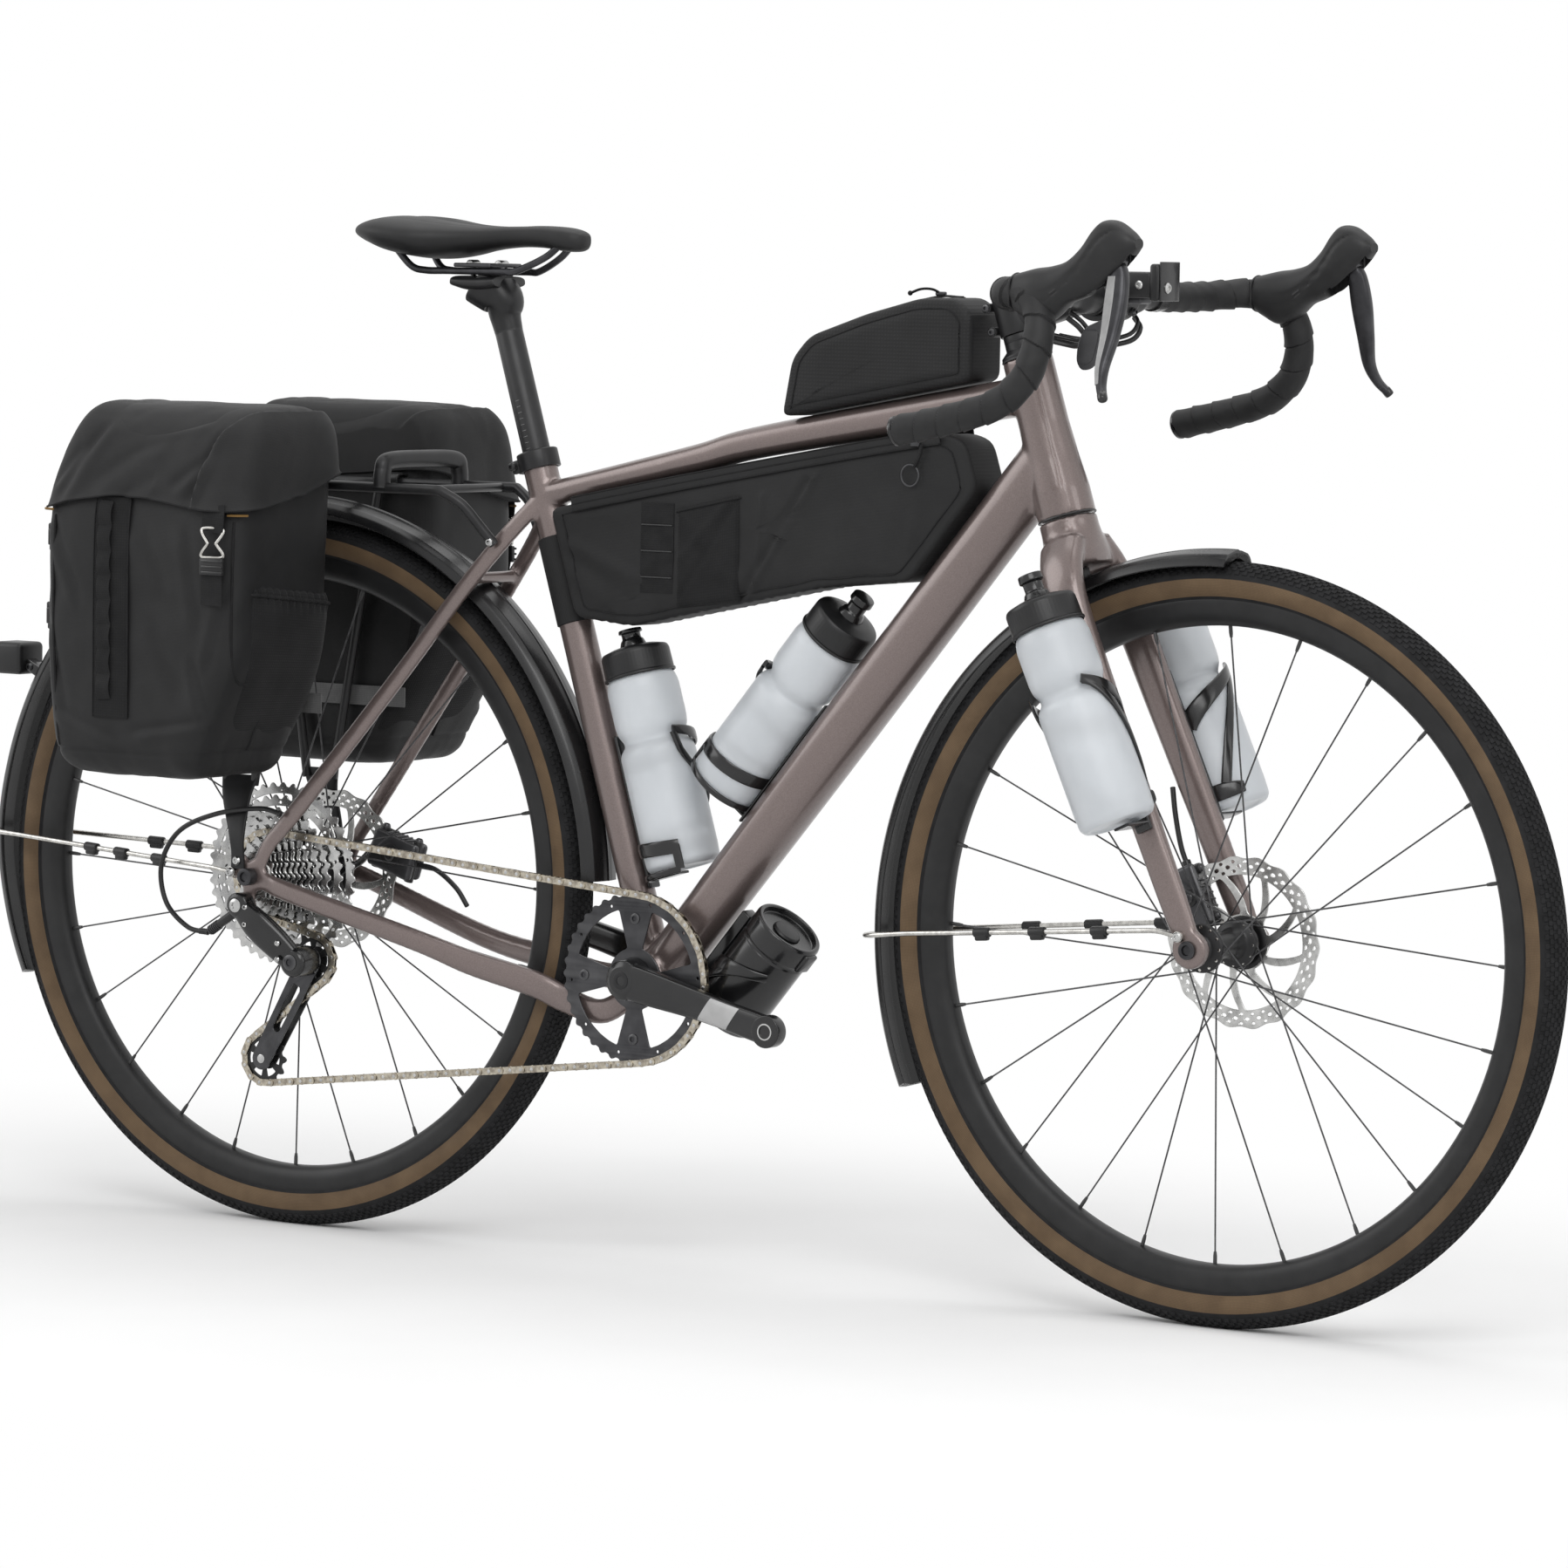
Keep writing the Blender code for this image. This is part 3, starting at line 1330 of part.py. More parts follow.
def shift_housing():
    """The last loop of housing, from the seatstay back round to the derailleur."""
    path = smooth(
        [
            from_axle(REAR_AXLE, 0.0360, 0.0640, -0.0785),
            from_axle(REAR_AXLE, 0.0120, 0.0680, -0.0815),
            from_axle(REAR_AXLE, -0.0403, 0.0597, -0.0825),
            from_axle(REAR_AXLE, -0.0860, 0.0400, -0.0830),
            from_axle(REAR_AXLE, -0.1070, 0.0060, -0.0840),
            from_axle(REAR_AXLE, -0.1000, -0.0310, -0.0850),
            from_axle(REAR_AXLE, -0.0720, -0.0540, -0.0860),
            from_axle(REAR_AXLE, -0.0458, -0.0577, -0.0860),
        ],
        2,
    )
    return wire(path, 0.0025, 1)


def caliper(centre, along, size, slot_axle, slot_side, hose):
    """A brake caliper's body over the rotor's edge, with its hose."""
    body = rounded(block(centre, size, along), 0.002)
    slot_half = ROTOR_THICKNESS / 2.0 + 0.0007
    slot = rod(*across(slot_axle, slot_side - slot_half, slot_side + slot_half), ROTOR_RADIUS + 0.002, 24)
    return cut(fused(body, hose), slot)


def front_brake_caliper():
    centre = blade_line(0.056, FRONT_SPACING / 2.0 - FRONT_ROTOR_INSET, -0.0305)
    hose = wire(
        smooth(
            [
                blade_line(0.082, 0.0440, -0.0300),
                blade_line(0.105, 0.0445, -0.0300),
                blade_line(0.135, 0.0460, -0.0250),
                blade_line(0.160, 0.0490, -0.0195),
            ],
            2,
        ),
        0.0025,
        1,
    )
    return caliper(
        centre, BLADE_UP, (0.062, 0.024, 0.028), FRONT_AXLE, FRONT_SPACING / 2.0 - FRONT_ROTOR_INSET, hose
    )


def rear_brake_caliper():
    side = REAR_SPACING / 2.0 - REAR_ROTOR_INSET
    hose = wire(
        smooth(
            [
                from_axle(REAR_AXLE, 0.100, 0.010, 0.0590),
                from_axle(REAR_AXLE, 0.125, 0.006, 0.0590),
                from_axle(REAR_AXLE, 0.150, -0.010, 0.0585),
                from_axle(REAR_AXLE, 0.164, -0.0275, 0.0590),
            ],
            2,
        ),
        0.0025,
        1,
    )
    return caliper(
        from_axle(REAR_AXLE, 0.0800, 0.0190, side),
        Vector((1.0, 0.0, -0.32)),
        (0.056, 0.024, 0.040),
        REAR_AXLE,
        side,
        hose,
    )


# Seat
def saddle_place(ahead, rise, side=0.0):
    """A point given from the middle of the rail clamp."""
    return RAIL_CLAMP + Vector((ahead, side, rise))


CLAMP_HALF_LENGTH = 0.026


def seatpost():
    post = rod(seat(SEAT_TUBE_LENGTH - POST_INSERTION, 0.0), seat(POST_TOP, 0.0), POST_RADIUS, 12)
    seat_face = RAIL_RADIUS + GAP
    cradle = block(saddle_place(0.0, -seat_face - 0.0075), (2.0 * CLAMP_HALF_LENGTH, 0.054, 0.015))
    yoke = block(saddle_place(0.0, seat_face + 0.0020), (2.0 * CLAMP_HALF_LENGTH - 0.008, 0.054, 0.004))
    bolts = [
        rod(saddle_place(ahead, -0.022), saddle_place(ahead, seat_face + 0.0045), 0.0030, 6)
        for ahead in (-0.017, 0.017)
    ]
    return fused(post, rounded(cradle, 0.002), yoke, *bolts)


def saddle():
    """The saddle with its crown and drawn-in sides, on its two rails."""
    sections = [
        (-0.1300, 0.0400, 0.0410, 0.0320),
        (-0.1180, 0.0560, 0.0500, 0.0230),
        (-0.0880, 0.0695, 0.0525, 0.0145),
        (-0.0520, 0.0660, 0.0500, 0.0110),
        (-0.0140, 0.0440, 0.0455, 0.0165),
        (0.0300, 0.0275, 0.0445, 0.0235),
        (0.0750, 0.0210, 0.0450, 0.0230),
        (0.1020, 0.0170, 0.0425, 0.0205),
        (0.1160, 0.0090, 0.0370, 0.0230),
    ]
    rings = []
    for ahead, half, top, foot in sections:
        rings.append(
            oval(saddle_place(ahead, (top + foot) / 2.0), SIDE, UP, half, (top - foot) / 2.0, 14, 2.6)
        )
    rails = []
    for side in (-1.0, 1.0):
        path = smooth(
            [
                saddle_place(-0.0900, 0.0220, side * 0.0290),
                saddle_place(-0.0740, 0.0040, side * 0.0240),
                saddle_place(-0.0580, 0.0000, side * RAIL_HALF_SPAN),
                saddle_place(-0.0300, 0.0000, side * RAIL_HALF_SPAN),
                saddle_place(0.0300, 0.0000, side * RAIL_HALF_SPAN),
                saddle_place(0.0480, 0.0010, side * 0.0200),
                saddle_place(0.0780, 0.0150, side * 0.0130),
                saddle_place(0.0960, 0.0310, side * 0.0090),
            ],
            1,
        )
        rails.append(wire(path, RAIL_RADIUS, 1))
    return fused(loft(rings), *rails)


# Fenders and their stays
def fender(axle, turns, extra=()):
    """A domed strip round a wheel; turns give degrees and the crown's radius."""
    inside = FENDER_THICKNESS
    outline = [
        (-FENDER_HALF_WIDTH, -0.0140),
        (-0.0180, -0.0030),
        (-0.0050, 0.0),
        (0.0, FENDER_RIDGE),
        (0.0050, 0.0),
        (0.0180, -0.0030),
        (FENDER_HALF_WIDTH, -0.0140),
        (FENDER_HALF_WIDTH - inside, -0.0150),
        (0.0165, -0.0030 - inside),
        (0.0050, -inside),
        (-0.0050, -inside),
        (-0.0165, -0.0030 - inside),
        (-FENDER_HALF_WIDTH + inside, -0.0150),
    ]
    rings = []
    for degrees, crown in turns:
        rings.append([polar(axle, crown + rise, degrees, side) for side, rise in outline])
    return fused(loft(rings), *extra) if extra else loft(rings)


CROWN_ANGLE = 115.3


def front_fender():
    turns = []
    for n in range(9):
        degrees = 88.8 + 97.2 * n / 8.0
        turns.append((degrees, FRONT_FENDER_RADIUS - 0.006 + 0.0075 * n / 8.0))
    for n in range(1, 3):
        turns.append((186.0 + 18.9 * n / 2.0, FRONT_FENDER_RADIUS + 0.0015 + 0.0015 * n))
    foot = FRONT_FENDER_RADIUS - 0.0065
    boss = rod(
        polar(FRONT_AXLE, foot + 0.0020, CROWN_ANGLE), steer(-0.0485 - GAP - 0.0003, 0.0015), 0.0070, 12
    )
    return fender(FRONT_AXLE, turns, [boss])


def rear_fender():
    turns = []
    for n in range(REAR_FENDER_STEPS + 1):
        turns.append((REAR_FENDER_START + REAR_FENDER_STEP * n, REAR_FENDER_RADIUS))
    for n in range(1, 3):
        turns.append((turns[REAR_FENDER_STEPS][0] + 11.2 * n, REAR_FENDER_RADIUS - 0.006 * n))
    return fender(REAR_AXLE, turns)


def fender_stay(axle, half):
    """A wire from one side of the axle, round behind the fender, to the other side."""
    near = [from_axle(axle, ahead, rise, -out) for ahead, rise, out in half]
    far = [from_axle(axle, ahead, rise, out) for ahead, rise, out in reversed(half)]
    return wire(near + far, 0.0025, 1)


def front_fender_stay():
    beside = FORK_TIP_FACE + 0.0025 + GAP
    behind = FRONT_FENDER_RADIUS + 0.0015 + FENDER_RIDGE + 0.0025 + 2.0 * GAP
    return fender_stay(
        FRONT_AXLE,
        [
            (-0.0080, 0.0120, beside),
            (-0.0300, 0.0165, beside),
            (-0.3200, -0.0085, 0.0345),
            (-behind + 0.012, -0.0135, 0.0305),
            (-behind, -0.0148, 0.0220),
        ],
    )


def rear_fender_stay():
    beside = DROPOUT_FACE + 0.0025 + GAP
    behind = REAR_FENDER_RADIUS + FENDER_RIDGE + 0.0025 + 2.0 * GAP
    return fender_stay(
        REAR_AXLE,
        [
            (*STAY_EYE, beside),
            (-0.0420, 0.0060, beside),
            (-0.3300, 0.0185, 0.0345),
            (-behind + 0.012, 0.0200, 0.0305),
            (-behind, 0.0205, 0.0220),
        ],
    )


def rear_reflector():
    """A reflector block on the fender; its flat rear face is a mount."""
    foot = REAR_FENDER_RADIUS + FENDER_RIDGE + GAP
    outward = (polar(REAR_AXLE, 1.0, 151.5) - REAR_AXLE).normalized()
    return block(REAR_AXLE + outward * (foot + 0.020), (0.040, 0.040, 0.030), outward)


# Rack and panniers
RACK_FRONT = 0.212
RACK_BARS = (0.195, 0.060, -0.060, -0.170)
RACK_BACK = -0.232
RACK_RISE = RACK_HEIGHT - WHEEL_RADIUS
LEG_TOP = 0.099


def rack_leg(side):
    """One leg: a flat foot on the dropout, and two tubes up to the rail."""
    foot = side * (DROPOUT_FACE + GAP + 0.0020)
    stations = [
        ((RACK_EYE[0], RACK_EYE[1] - 0.008), foot, 0.0080, 0.0020),
        ((RACK_EYE[0] - 0.002, 0.040), foot, 0.0090, 0.0020),
        ((-0.0240, 0.075), side * 0.0715, 0.0165, 0.0023),
        ((-0.0240, LEG_TOP), side * 0.0655, 0.0220, 0.0023),
    ]
    rings = []
    for (ahead, rise), out, half, thick in stations:
        rings.append(oval(from_axle(REAR_AXLE, ahead, rise, out), FORWARD, SIDE, half, thick, 4, 6.0))
    inner = side * RACK_HALF_WIDTH
    tubes = []
    for ahead, top in ((-0.0080, 0.045), (-0.0400, -0.085)):
        low = from_axle(REAR_AXLE, ahead, LEG_TOP - 0.010, inner)
        tubes.append(rod(low, from_axle(REAR_AXLE, top, RACK_RISE, inner), 0.0045, 8))
    return [loft(rings), *tubes]


def rear_rack():
    def on_rail(ahead, side, rise=0.0):
        return from_axle(REAR_AXLE, ahead, RACK_RISE + rise, side)

    out = RACK_HALF_WIDTH
    loop = wire(
        smooth(
            [
                on_rail(0.2610, -0.0406, -0.0510),
                on_rail(0.2480, -0.0480, -0.0330),
                on_rail(0.2330, -0.0570, -0.0130),
                on_rail(RACK_FRONT, -out),
            ],
            1,
        )
        + [on_rail(-0.200, -out), on_rail(-0.226, -out + 0.010), on_rail(RACK_BACK, -out + 0.030)]
        + [on_rail(RACK_BACK, out - 0.030), on_rail(-0.226, out - 0.010), on_rail(-0.200, out)]
        + list(
            reversed(
                smooth(
                    [
                        on_rail(0.2610, 0.0406, -0.0510),
                        on_rail(0.2480, 0.0480, -0.0330),
                        on_rail(0.2330, 0.0570, -0.0130),
                        on_rail(RACK_FRONT, out),
                    ],
                    1,
                )
            )
        ),
        RACK_TUBE,
        1,
    )
    bars = [rod(on_rail(ahead, -out), on_rail(ahead, out), 0.0042, 6) for ahead in RACK_BARS]
    hoop = wire(
        [
            on_rail(0.143, -out),
            on_rail(0.143, -out, 0.016),
            on_rail(0.143, -out + 0.010, 0.0265),
            on_rail(0.143, out - 0.010, 0.0265),
            on_rail(0.143, out, 0.016),
            on_rail(0.143, out),
        ],
        0.0075,
        1,
    )
    legs = [piece for side in (-1.0, 1.0) for piece in rack_leg(side)]
    return fused(loop, *bars, hoop, *legs)


def pannier(side):
    """A pannier's body with its folded lid, sagging a little below."""
    face = RACK_HALF_WIDTH + RACK_TUBE + GAP
    slack = PANNIER_DEPTH * (1.0 - math.cos(math.pi / PANNIER_SIDES) ** (2.0 / PANNIER_SQUARE)) / 2.0
    inner = face - slack
    outer = inner + PANNIER_DEPTH
    middle = -0.022
    half = PANNIER_LENGTH / 2.0
    lid = 0.705
    stations = [
        (PANNIER_BOTTOM, 0.90, 0.92),
        (PANNIER_BOTTOM + 0.012, 0.97, 0.99),
        (PANNIER_BOTTOM + 0.110, 0.99, 1.00),
        (lid - 0.012, 0.97, 0.96),
        (lid, 1.00, 1.00),
        (PANNIER_TOP - 0.045, 0.98, 0.96),
        (PANNIER_TOP - 0.012, 0.93, 0.82),
        (PANNIER_TOP, 0.84, 0.66),
    ]
    rings = []
    for height, length, depth in stations:
        reach = inner + (outer - inner) * depth
        centre = Vector((REAR_AXLE.x + middle, side * (inner + reach) / 2.0, height))
        half_depth = (reach - inner) / 2.0
        rings.append(oval(centre, FORWARD, SIDE, half * length, half_depth, PANNIER_SIDES, PANNIER_SQUARE))
    return loft(rings)


# Bags in the frame
def bag(outline, half, edge):
    """A soft bag as a padded plate in the bike's middle plane."""
    return rounded(plate(flat(*outline), 2.0 * half, 0.0), edge)


def frame_bag():
    beside = SEAT_TUBE_RADIUS + 2.0 * GAP
    above = DOWN_TUBE_HALF_HEIGHT + 0.0020
    return bag(
        [
            seat(0.3530, beside),
            seat(0.4600, beside),
            bracket(-0.070, 0.4550),
            bracket(0.0700, 0.4885),
            bracket(0.2370, 0.5205),
            bracket(0.3250, 0.5310),
            bracket(0.3470, 0.5240),
            down(0.6000, above),
            down(0.4860, above),
            bracket(0.1920, 0.3827),
            bracket(-0.0263, 0.3366),
        ],
        0.028,
        0.006,
    )


def top_tube_bag():
    foot = on_top_tube(0.1440) + Vector((0.0, 0.0, 2.0 * GAP))
    front_foot = on_top_tube(0.3520) + Vector((0.0, 0.0, 2.0 * GAP))
    return bag(
        [
            foot,
            bracket(0.1455, 0.5500),
            bracket(0.1528, 0.5965),
            bracket(0.1719, 0.6180),
            bracket(0.2350, 0.6400),
            bracket(0.2950, 0.6560),
            bracket(0.3350, 0.6570),
            bracket(0.3520, 0.6410),
            front_foot,
        ],
        0.030,
        0.008,
    )


# Bottles, keg and their cages
BOTTLE_SIDES = 12
SEAT_BOTTLE_OUT = 0.059
DOWN_BOTTLE_OUT = 0.067
DOWN_BOTTLE_FOOT = 0.187
SEAT_BOTTLE = seat(0.092, SEAT_BOTTLE_OUT)
DOWN_BOTTLE = down(DOWN_BOTTLE_FOOT, DOWN_BOTTLE_OUT)
FORK_BOTTLE_OUT = 0.105


def bottle(base, up, nozzle):
    """A squeeze bottle with its waist, cap and nozzle."""
    wide = BOTTLE_RADIUS
    top = BOTTLE_LENGTH
    profile = [
        (0.0, top + nozzle),
        (0.0090, top + nozzle),
        (0.0110, top),
        (wide - 0.0060, top),
        (wide - 0.0015, top - 0.006),
        (wide, top - 0.026),
        (wide, top - 0.086),
        (wide - 0.0055, top - 0.096),
        (wide, top - 0.106),
        (wide, 0.006),
        (wide - 0.004, 0.0),
        (0.0, 0.0),
    ]
    return turned(profile, up, base, BOTTLE_SIDES)


CAGE_LENGTH = 0.150
CAGE_BANDS = (0.022, 0.122)


def bottle_cage(base, up, outward, spine_depth, radius=BOTTLE_RADIUS, bands=CAGE_BANDS, length=CAGE_LENGTH):
    """A spine on the frame, two bands round the bottle and a shelf under it."""
    inner = radius + GAP
    strip = []
    for rise in bands:
        strip.append(
            turned(
                [
                    (inner + 0.0016, 0.005),
                    (inner + 0.0016, -0.005),
                    (inner, -0.005),
                    (inner, 0.005),
                ],
                up,
                base + up * rise,
                BOTTLE_SIDES,
                ring=True,
            )
        )
    width = 0.016
    size = (length, width, spine_depth) if abs(outward.y) < 0.5 else (length, spine_depth, width)
    spine_middle = base + up * (length / 2.0 - 0.010) - outward * (inner + 0.0006 + spine_depth / 2.0)
    spine = block(spine_middle, size, up)
    shelf_reach = inner + 0.0012
    shelf_size = (0.003, width, shelf_reach) if abs(outward.y) < 0.5 else (0.003, shelf_reach, width)
    shelf = block(base - up * (0.0015 + 2.0 * GAP) - outward * (shelf_reach / 2.0 + 0.0008), shelf_size, up)
    return fused(spine, *strip, shelf)


def seat_tube_cage():
    gap_to_tube = SEAT_BOTTLE_OUT - SEAT_TUBE_RADIUS - BOTTLE_RADIUS
    return bottle_cage(SEAT_BOTTLE, SEAT_UP, SEAT_AHEAD, gap_to_tube - 4.0 * GAP)


def down_tube_cage():
    spine_end = DOWN_BOTTLE_FOOT + CAGE_LENGTH - 0.010
    gap_to_tube = DOWN_BOTTLE_OUT - down_tube_half(spine_end) - BOTTLE_RADIUS
    return bottle_cage(DOWN_BOTTLE, TUBE_UP, TUBE_BACK, gap_to_tube - 4.0 * GAP)


def fork_bottle_base(side):
    return blade_line(0.1250, side * FORK_BOTTLE_OUT, 0.0025)


def fork_cage(side):
    return bottle_cage(fork_bottle_base(side), BLADE_UP, SIDE * side, 0.0045)


KEG_TOP = 0.1364
KEG_BACK = -0.077


def storage_keg():
    wide = KEG_RADIUS
    base = down(KEG_TOP - KEG_LENGTH, KEG_BACK)
    profile = [
        (0.0, KEG_LENGTH),
        (wide - 0.005, KEG_LENGTH),
        (wide, KEG_LENGTH - 0.004),
        (wide, KEG_LENGTH - 0.018),
        (wide - 0.0012, KEG_LENGTH - 0.020),
        (wide, 0.003),
        (wide - 0.003, 0.0),
        (0.0, 0.0),
    ]
    return turned(profile, TUBE_UP, base, BOTTLE_SIDES)


def keg_cage():
    base = down(KEG_TOP - KEG_LENGTH, KEG_BACK)
    depth = -KEG_BACK - KEG_RADIUS - down_tube_half(KEG_TOP) - 4.0 * GAP
    return bottle_cage(base, TUBE_UP, -TUBE_BACK, depth, KEG_RADIUS, (0.018, 0.078), 0.105)


# The whole bike
named(main_frame(), "main_frame", PAINT, 0.35)
named(seat_clamp(), "seat_clamp", BLACK, 0.4)
named(bottom_bracket(), "bottom_bracket", BLACK, 0.4, 0.6)
named(
    thru_axle(REAR_AXLE, DROPOUT_FACE, DROPOUT_FACE, 0.0085, 0.0120), "rear_thru_axle", SILVER, 0.3, 1.0
)
named(rear_brake_caliper(), "rear_brake_caliper", BLACK, 0.4, 0.5)
named(rear_fender(), "rear_fender", BLACK, 0.5)
named(rear_fender_stay(), "rear_fender_stay", SILVER, 0.35, 1.0)
named(rear_reflector(), "rear_reflector", BLACK, 0.4)
named(rear_rack(), "rear_rack", BLACK, 0.5, 0.4)
for side, label in ((-1.0, "right"), (1.0, "left")):
    named(pannier(side), "pannier_" + label, FABRIC, 0.85)
named(frame_bag(), "frame_bag", FABRIC, 0.85)
named(top_tube_bag(), "top_tube_bag", FABRIC, 0.85)
named(seat_tube_cage(), "seat_tube_cage", BLACK, 0.5)
named(down_tube_cage(), "down_tube_cage", BLACK, 0.5)
named(keg_cage(), "keg_cage", BLACK, 0.5)
named(bottle(SEAT_BOTTLE, SEAT_UP, NOZZLE_LENGTH - 0.007), "seat_tube_bottle", FROST, 0.45)
named(bottle(DOWN_BOTTLE, TUBE_UP, NOZZLE_LENGTH), "down_tube_bottle", FROST, 0.45)
named(shift_housing(), "shift_housing", BLACK, 0.6)
named(derailleur_body(), "derailleur_body", BLACK, 0.4, 0.6)
named(chain(), "chain", CHAIN_METAL, 0.35, 1.0)

keg_pivot = pivot("keg_axis", down(KEG_TOP, KEG_BACK))
named(storage_keg(), "storage_keg", BLACK, 0.5, parent=keg_pivot)

post_pivot = pivot("seatpost_axis", seat(SEAT_TUBE_LENGTH, 0.0))
named(seatpost(), "seatpost", BLACK, 0.4, parent=post_pivot)
named(saddle(), "saddle", BLACK, 0.6, parent=post_pivot)

steering_pivot = pivot("steering_axis", HEAD_FOOT)
named(fork(), "fork", PAINT, 0.35, parent=steering_pivot)
named(headset_spacers(), "headset_spacers", BLACK, 0.4, parent=steering_pivot)
named(stem(), "stem", BLACK, 0.4, parent=steering_pivot)
named(handlebar(), "handlebar", BLACK, 0.4, parent=steering_pivot)
named(light_mount(), "light_mount", BLACK, 0.5, parent=steering_pivot)
named(handlebar_hoses(), "handlebar_hoses", BLACK, 0.6, parent=steering_pivot)
named(front_brake_caliper(), "front_brake_caliper", BLACK, 0.4, 0.5, parent=steering_pivot)
named(
    thru_axle(FRONT_AXLE, FORK_TIP_FACE, FORK_TIP_FACE, 0.0085, 0.0035),
    "front_thru_axle",
    SILVER,
    0.3,
    1.0,
    steering_pivot,
)
named(front_fender(), "front_fender", BLACK, 0.5, parent=steering_pivot)
named(front_fender_stay(), "front_fender_stay", SILVER, 0.35, 1.0, steering_pivot)
for side, label in ((-1.0, "right"), (1.0, "left")):
    named(bar_tape(side), "bar_tape_" + label, RUBBER, 0.8, parent=steering_pivot)
    named(hood(side), "hood_" + label, RUBBER, 0.6, parent=steering_pivot)
    named(fork_cage(side), "fork_cage_" + label, BLACK, 0.5, parent=steering_pivot)
    bottle_pivot = pivot("fork_bottle_axis_" + label, fork_bottle_base(side))
    fork_bottle = bottle(fork_bottle_base(side), BLADE_UP, NOZZLE_LENGTH)
    named(fork_bottle, "fork_bottle_" + label, FROST, 0.45, parent=bottle_pivot)
    lever_pivot = pivot("lever_axis_" + label, bar(*LEVER_PIVOT, side * LEVER_SIDE))
    named(brake_lever(side), "brake_lever_" + label, SILVER, 0.35, 0.8, lever_pivot)
paddle_pivot = pivot("paddle_axis", bar(0.1390, -0.0165, -0.2090))
named(shift_paddle(), "shift_paddle_right", SILVER, 0.4, 0.5, paddle_pivot)

for axle, label in ((FRONT_AXLE, "front"), (REAR_AXLE, "rear")):
    wheel_pivot = pivot(label + "_axle", axle)
    named(tyre(axle), label + "_tyre", RUBBER, 0.8, parent=wheel_pivot)
    named(rim(axle), label + "_rim", BLACK, 0.4, parent=wheel_pivot)
    front = label == "front"
    hub = front_hub() if front else rear_hub()
    named(hub, label + "_hub", BLACK, 0.4, 0.6, wheel_pivot)
    out = FRONT_SPACING / 2.0 - FRONT_ROTOR_INSET if front else REAR_SPACING / 2.0 - REAR_ROTOR_INSET
    named(rotor(axle, out), label + "_rotor", SILVER, 0.25, 1.0, wheel_pivot)

cassette_pivot = pivot("cassette_axis", REAR_AXLE)
named(cassette(), "cassette", SILVER, 0.3, 1.0, cassette_pivot)
crank_pivot = pivot("crank_axis", BRACKET)
named(crank_right(), "crank_right", BLACK, 0.35, 0.5, crank_pivot)
named(crank_left(), "crank_left", BLACK, 0.35, 0.5, crank_pivot)
named(chainring(), "chainring", BLACK, 0.35, 0.6, crank_pivot)
cage_pivot = pivot("cage_axis", CAGE_AXIS)
named(derailleur_cage(), "derailleur_cage", BLACK, 0.4, 0.6, cage_pivot)
for axis, label in ((CAGE_AXIS, "upper"), (LOWER_AXIS, "lower")):
    pulley_pivot = pivot(label + "_pulley_axis", axis)
    named(pulley(axis), label + "_pulley", BLACK, 0.5, parent=pulley_pivot)
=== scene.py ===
import math

import bmesh
import bpy
import numpy as np
from bpy.props import FloatProperty, FloatVectorProperty, PointerProperty
from mathutils import Matrix, Vector


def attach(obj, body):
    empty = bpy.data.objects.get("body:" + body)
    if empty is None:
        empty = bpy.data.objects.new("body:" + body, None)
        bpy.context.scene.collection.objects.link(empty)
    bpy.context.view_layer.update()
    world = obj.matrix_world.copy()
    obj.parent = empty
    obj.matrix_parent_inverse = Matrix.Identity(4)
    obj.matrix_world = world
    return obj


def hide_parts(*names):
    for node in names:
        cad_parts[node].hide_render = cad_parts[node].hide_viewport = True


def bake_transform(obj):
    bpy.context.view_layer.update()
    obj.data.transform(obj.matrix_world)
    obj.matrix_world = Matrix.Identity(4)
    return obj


bl_info = {
    "name": "Loaded gravel bike",
    "version": (1, 0, 0),
    "blender": (4, 5, 0),
    "location": "3D View > Sidebar > Gravel bike",
    "description": "Builds the surfaces of a gravel bike with bags, rack, fenders and bottles",
    "category": "Add Mesh",
}

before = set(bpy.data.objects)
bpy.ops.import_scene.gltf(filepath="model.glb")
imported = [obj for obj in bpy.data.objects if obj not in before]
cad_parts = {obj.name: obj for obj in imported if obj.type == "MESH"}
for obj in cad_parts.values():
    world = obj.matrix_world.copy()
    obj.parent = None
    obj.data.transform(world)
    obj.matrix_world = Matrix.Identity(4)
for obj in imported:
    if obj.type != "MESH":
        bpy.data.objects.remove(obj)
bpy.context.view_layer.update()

# Directions and places, in metres: +X forward, +Y to the bike's left, the drive side is -Y
FORWARD = np.array([1.0, 0.0, 0.0])
SIDE = np.array([0.0, 1.0, 0.0])
UP = np.array([0.0, 0.0, 1.0])
HEAD_ANGLE = math.radians(72.2)
SEAT_ANGLE = math.radians(73.0)
WHEEL_RADIUS = 0.351
BRACKET = np.array([-0.0755, 0.0, 0.279])
REAR_AXLE = np.array([-0.0755 - math.sqrt(0.444**2 - 0.072**2), 0.0, WHEEL_RADIUS])
HEAD_FOOT = BRACKET + np.array([0.4436, 0.0, 0.4563])
STEER_UP = np.array([-math.cos(HEAD_ANGLE), 0.0, math.sin(HEAD_ANGLE)])
STEER_AHEAD = np.array([math.sin(HEAD_ANGLE), 0.0, math.cos(HEAD_ANGLE)])
AXLE_DROP = (HEAD_FOOT[2] + 0.0487 * STEER_AHEAD[2] - WHEEL_RADIUS) / STEER_UP[2]
FRONT_AXLE = HEAD_FOOT - STEER_UP * AXLE_DROP + STEER_AHEAD * 0.0487
SEAT_UP = np.array([-math.cos(SEAT_ANGLE), 0.0, math.sin(SEAT_ANGLE)])
SEAT_AHEAD = np.array([math.sin(SEAT_ANGLE), 0.0, math.cos(SEAT_ANGLE)])
SEAT_FOOT = BRACKET - FORWARD * 0.005
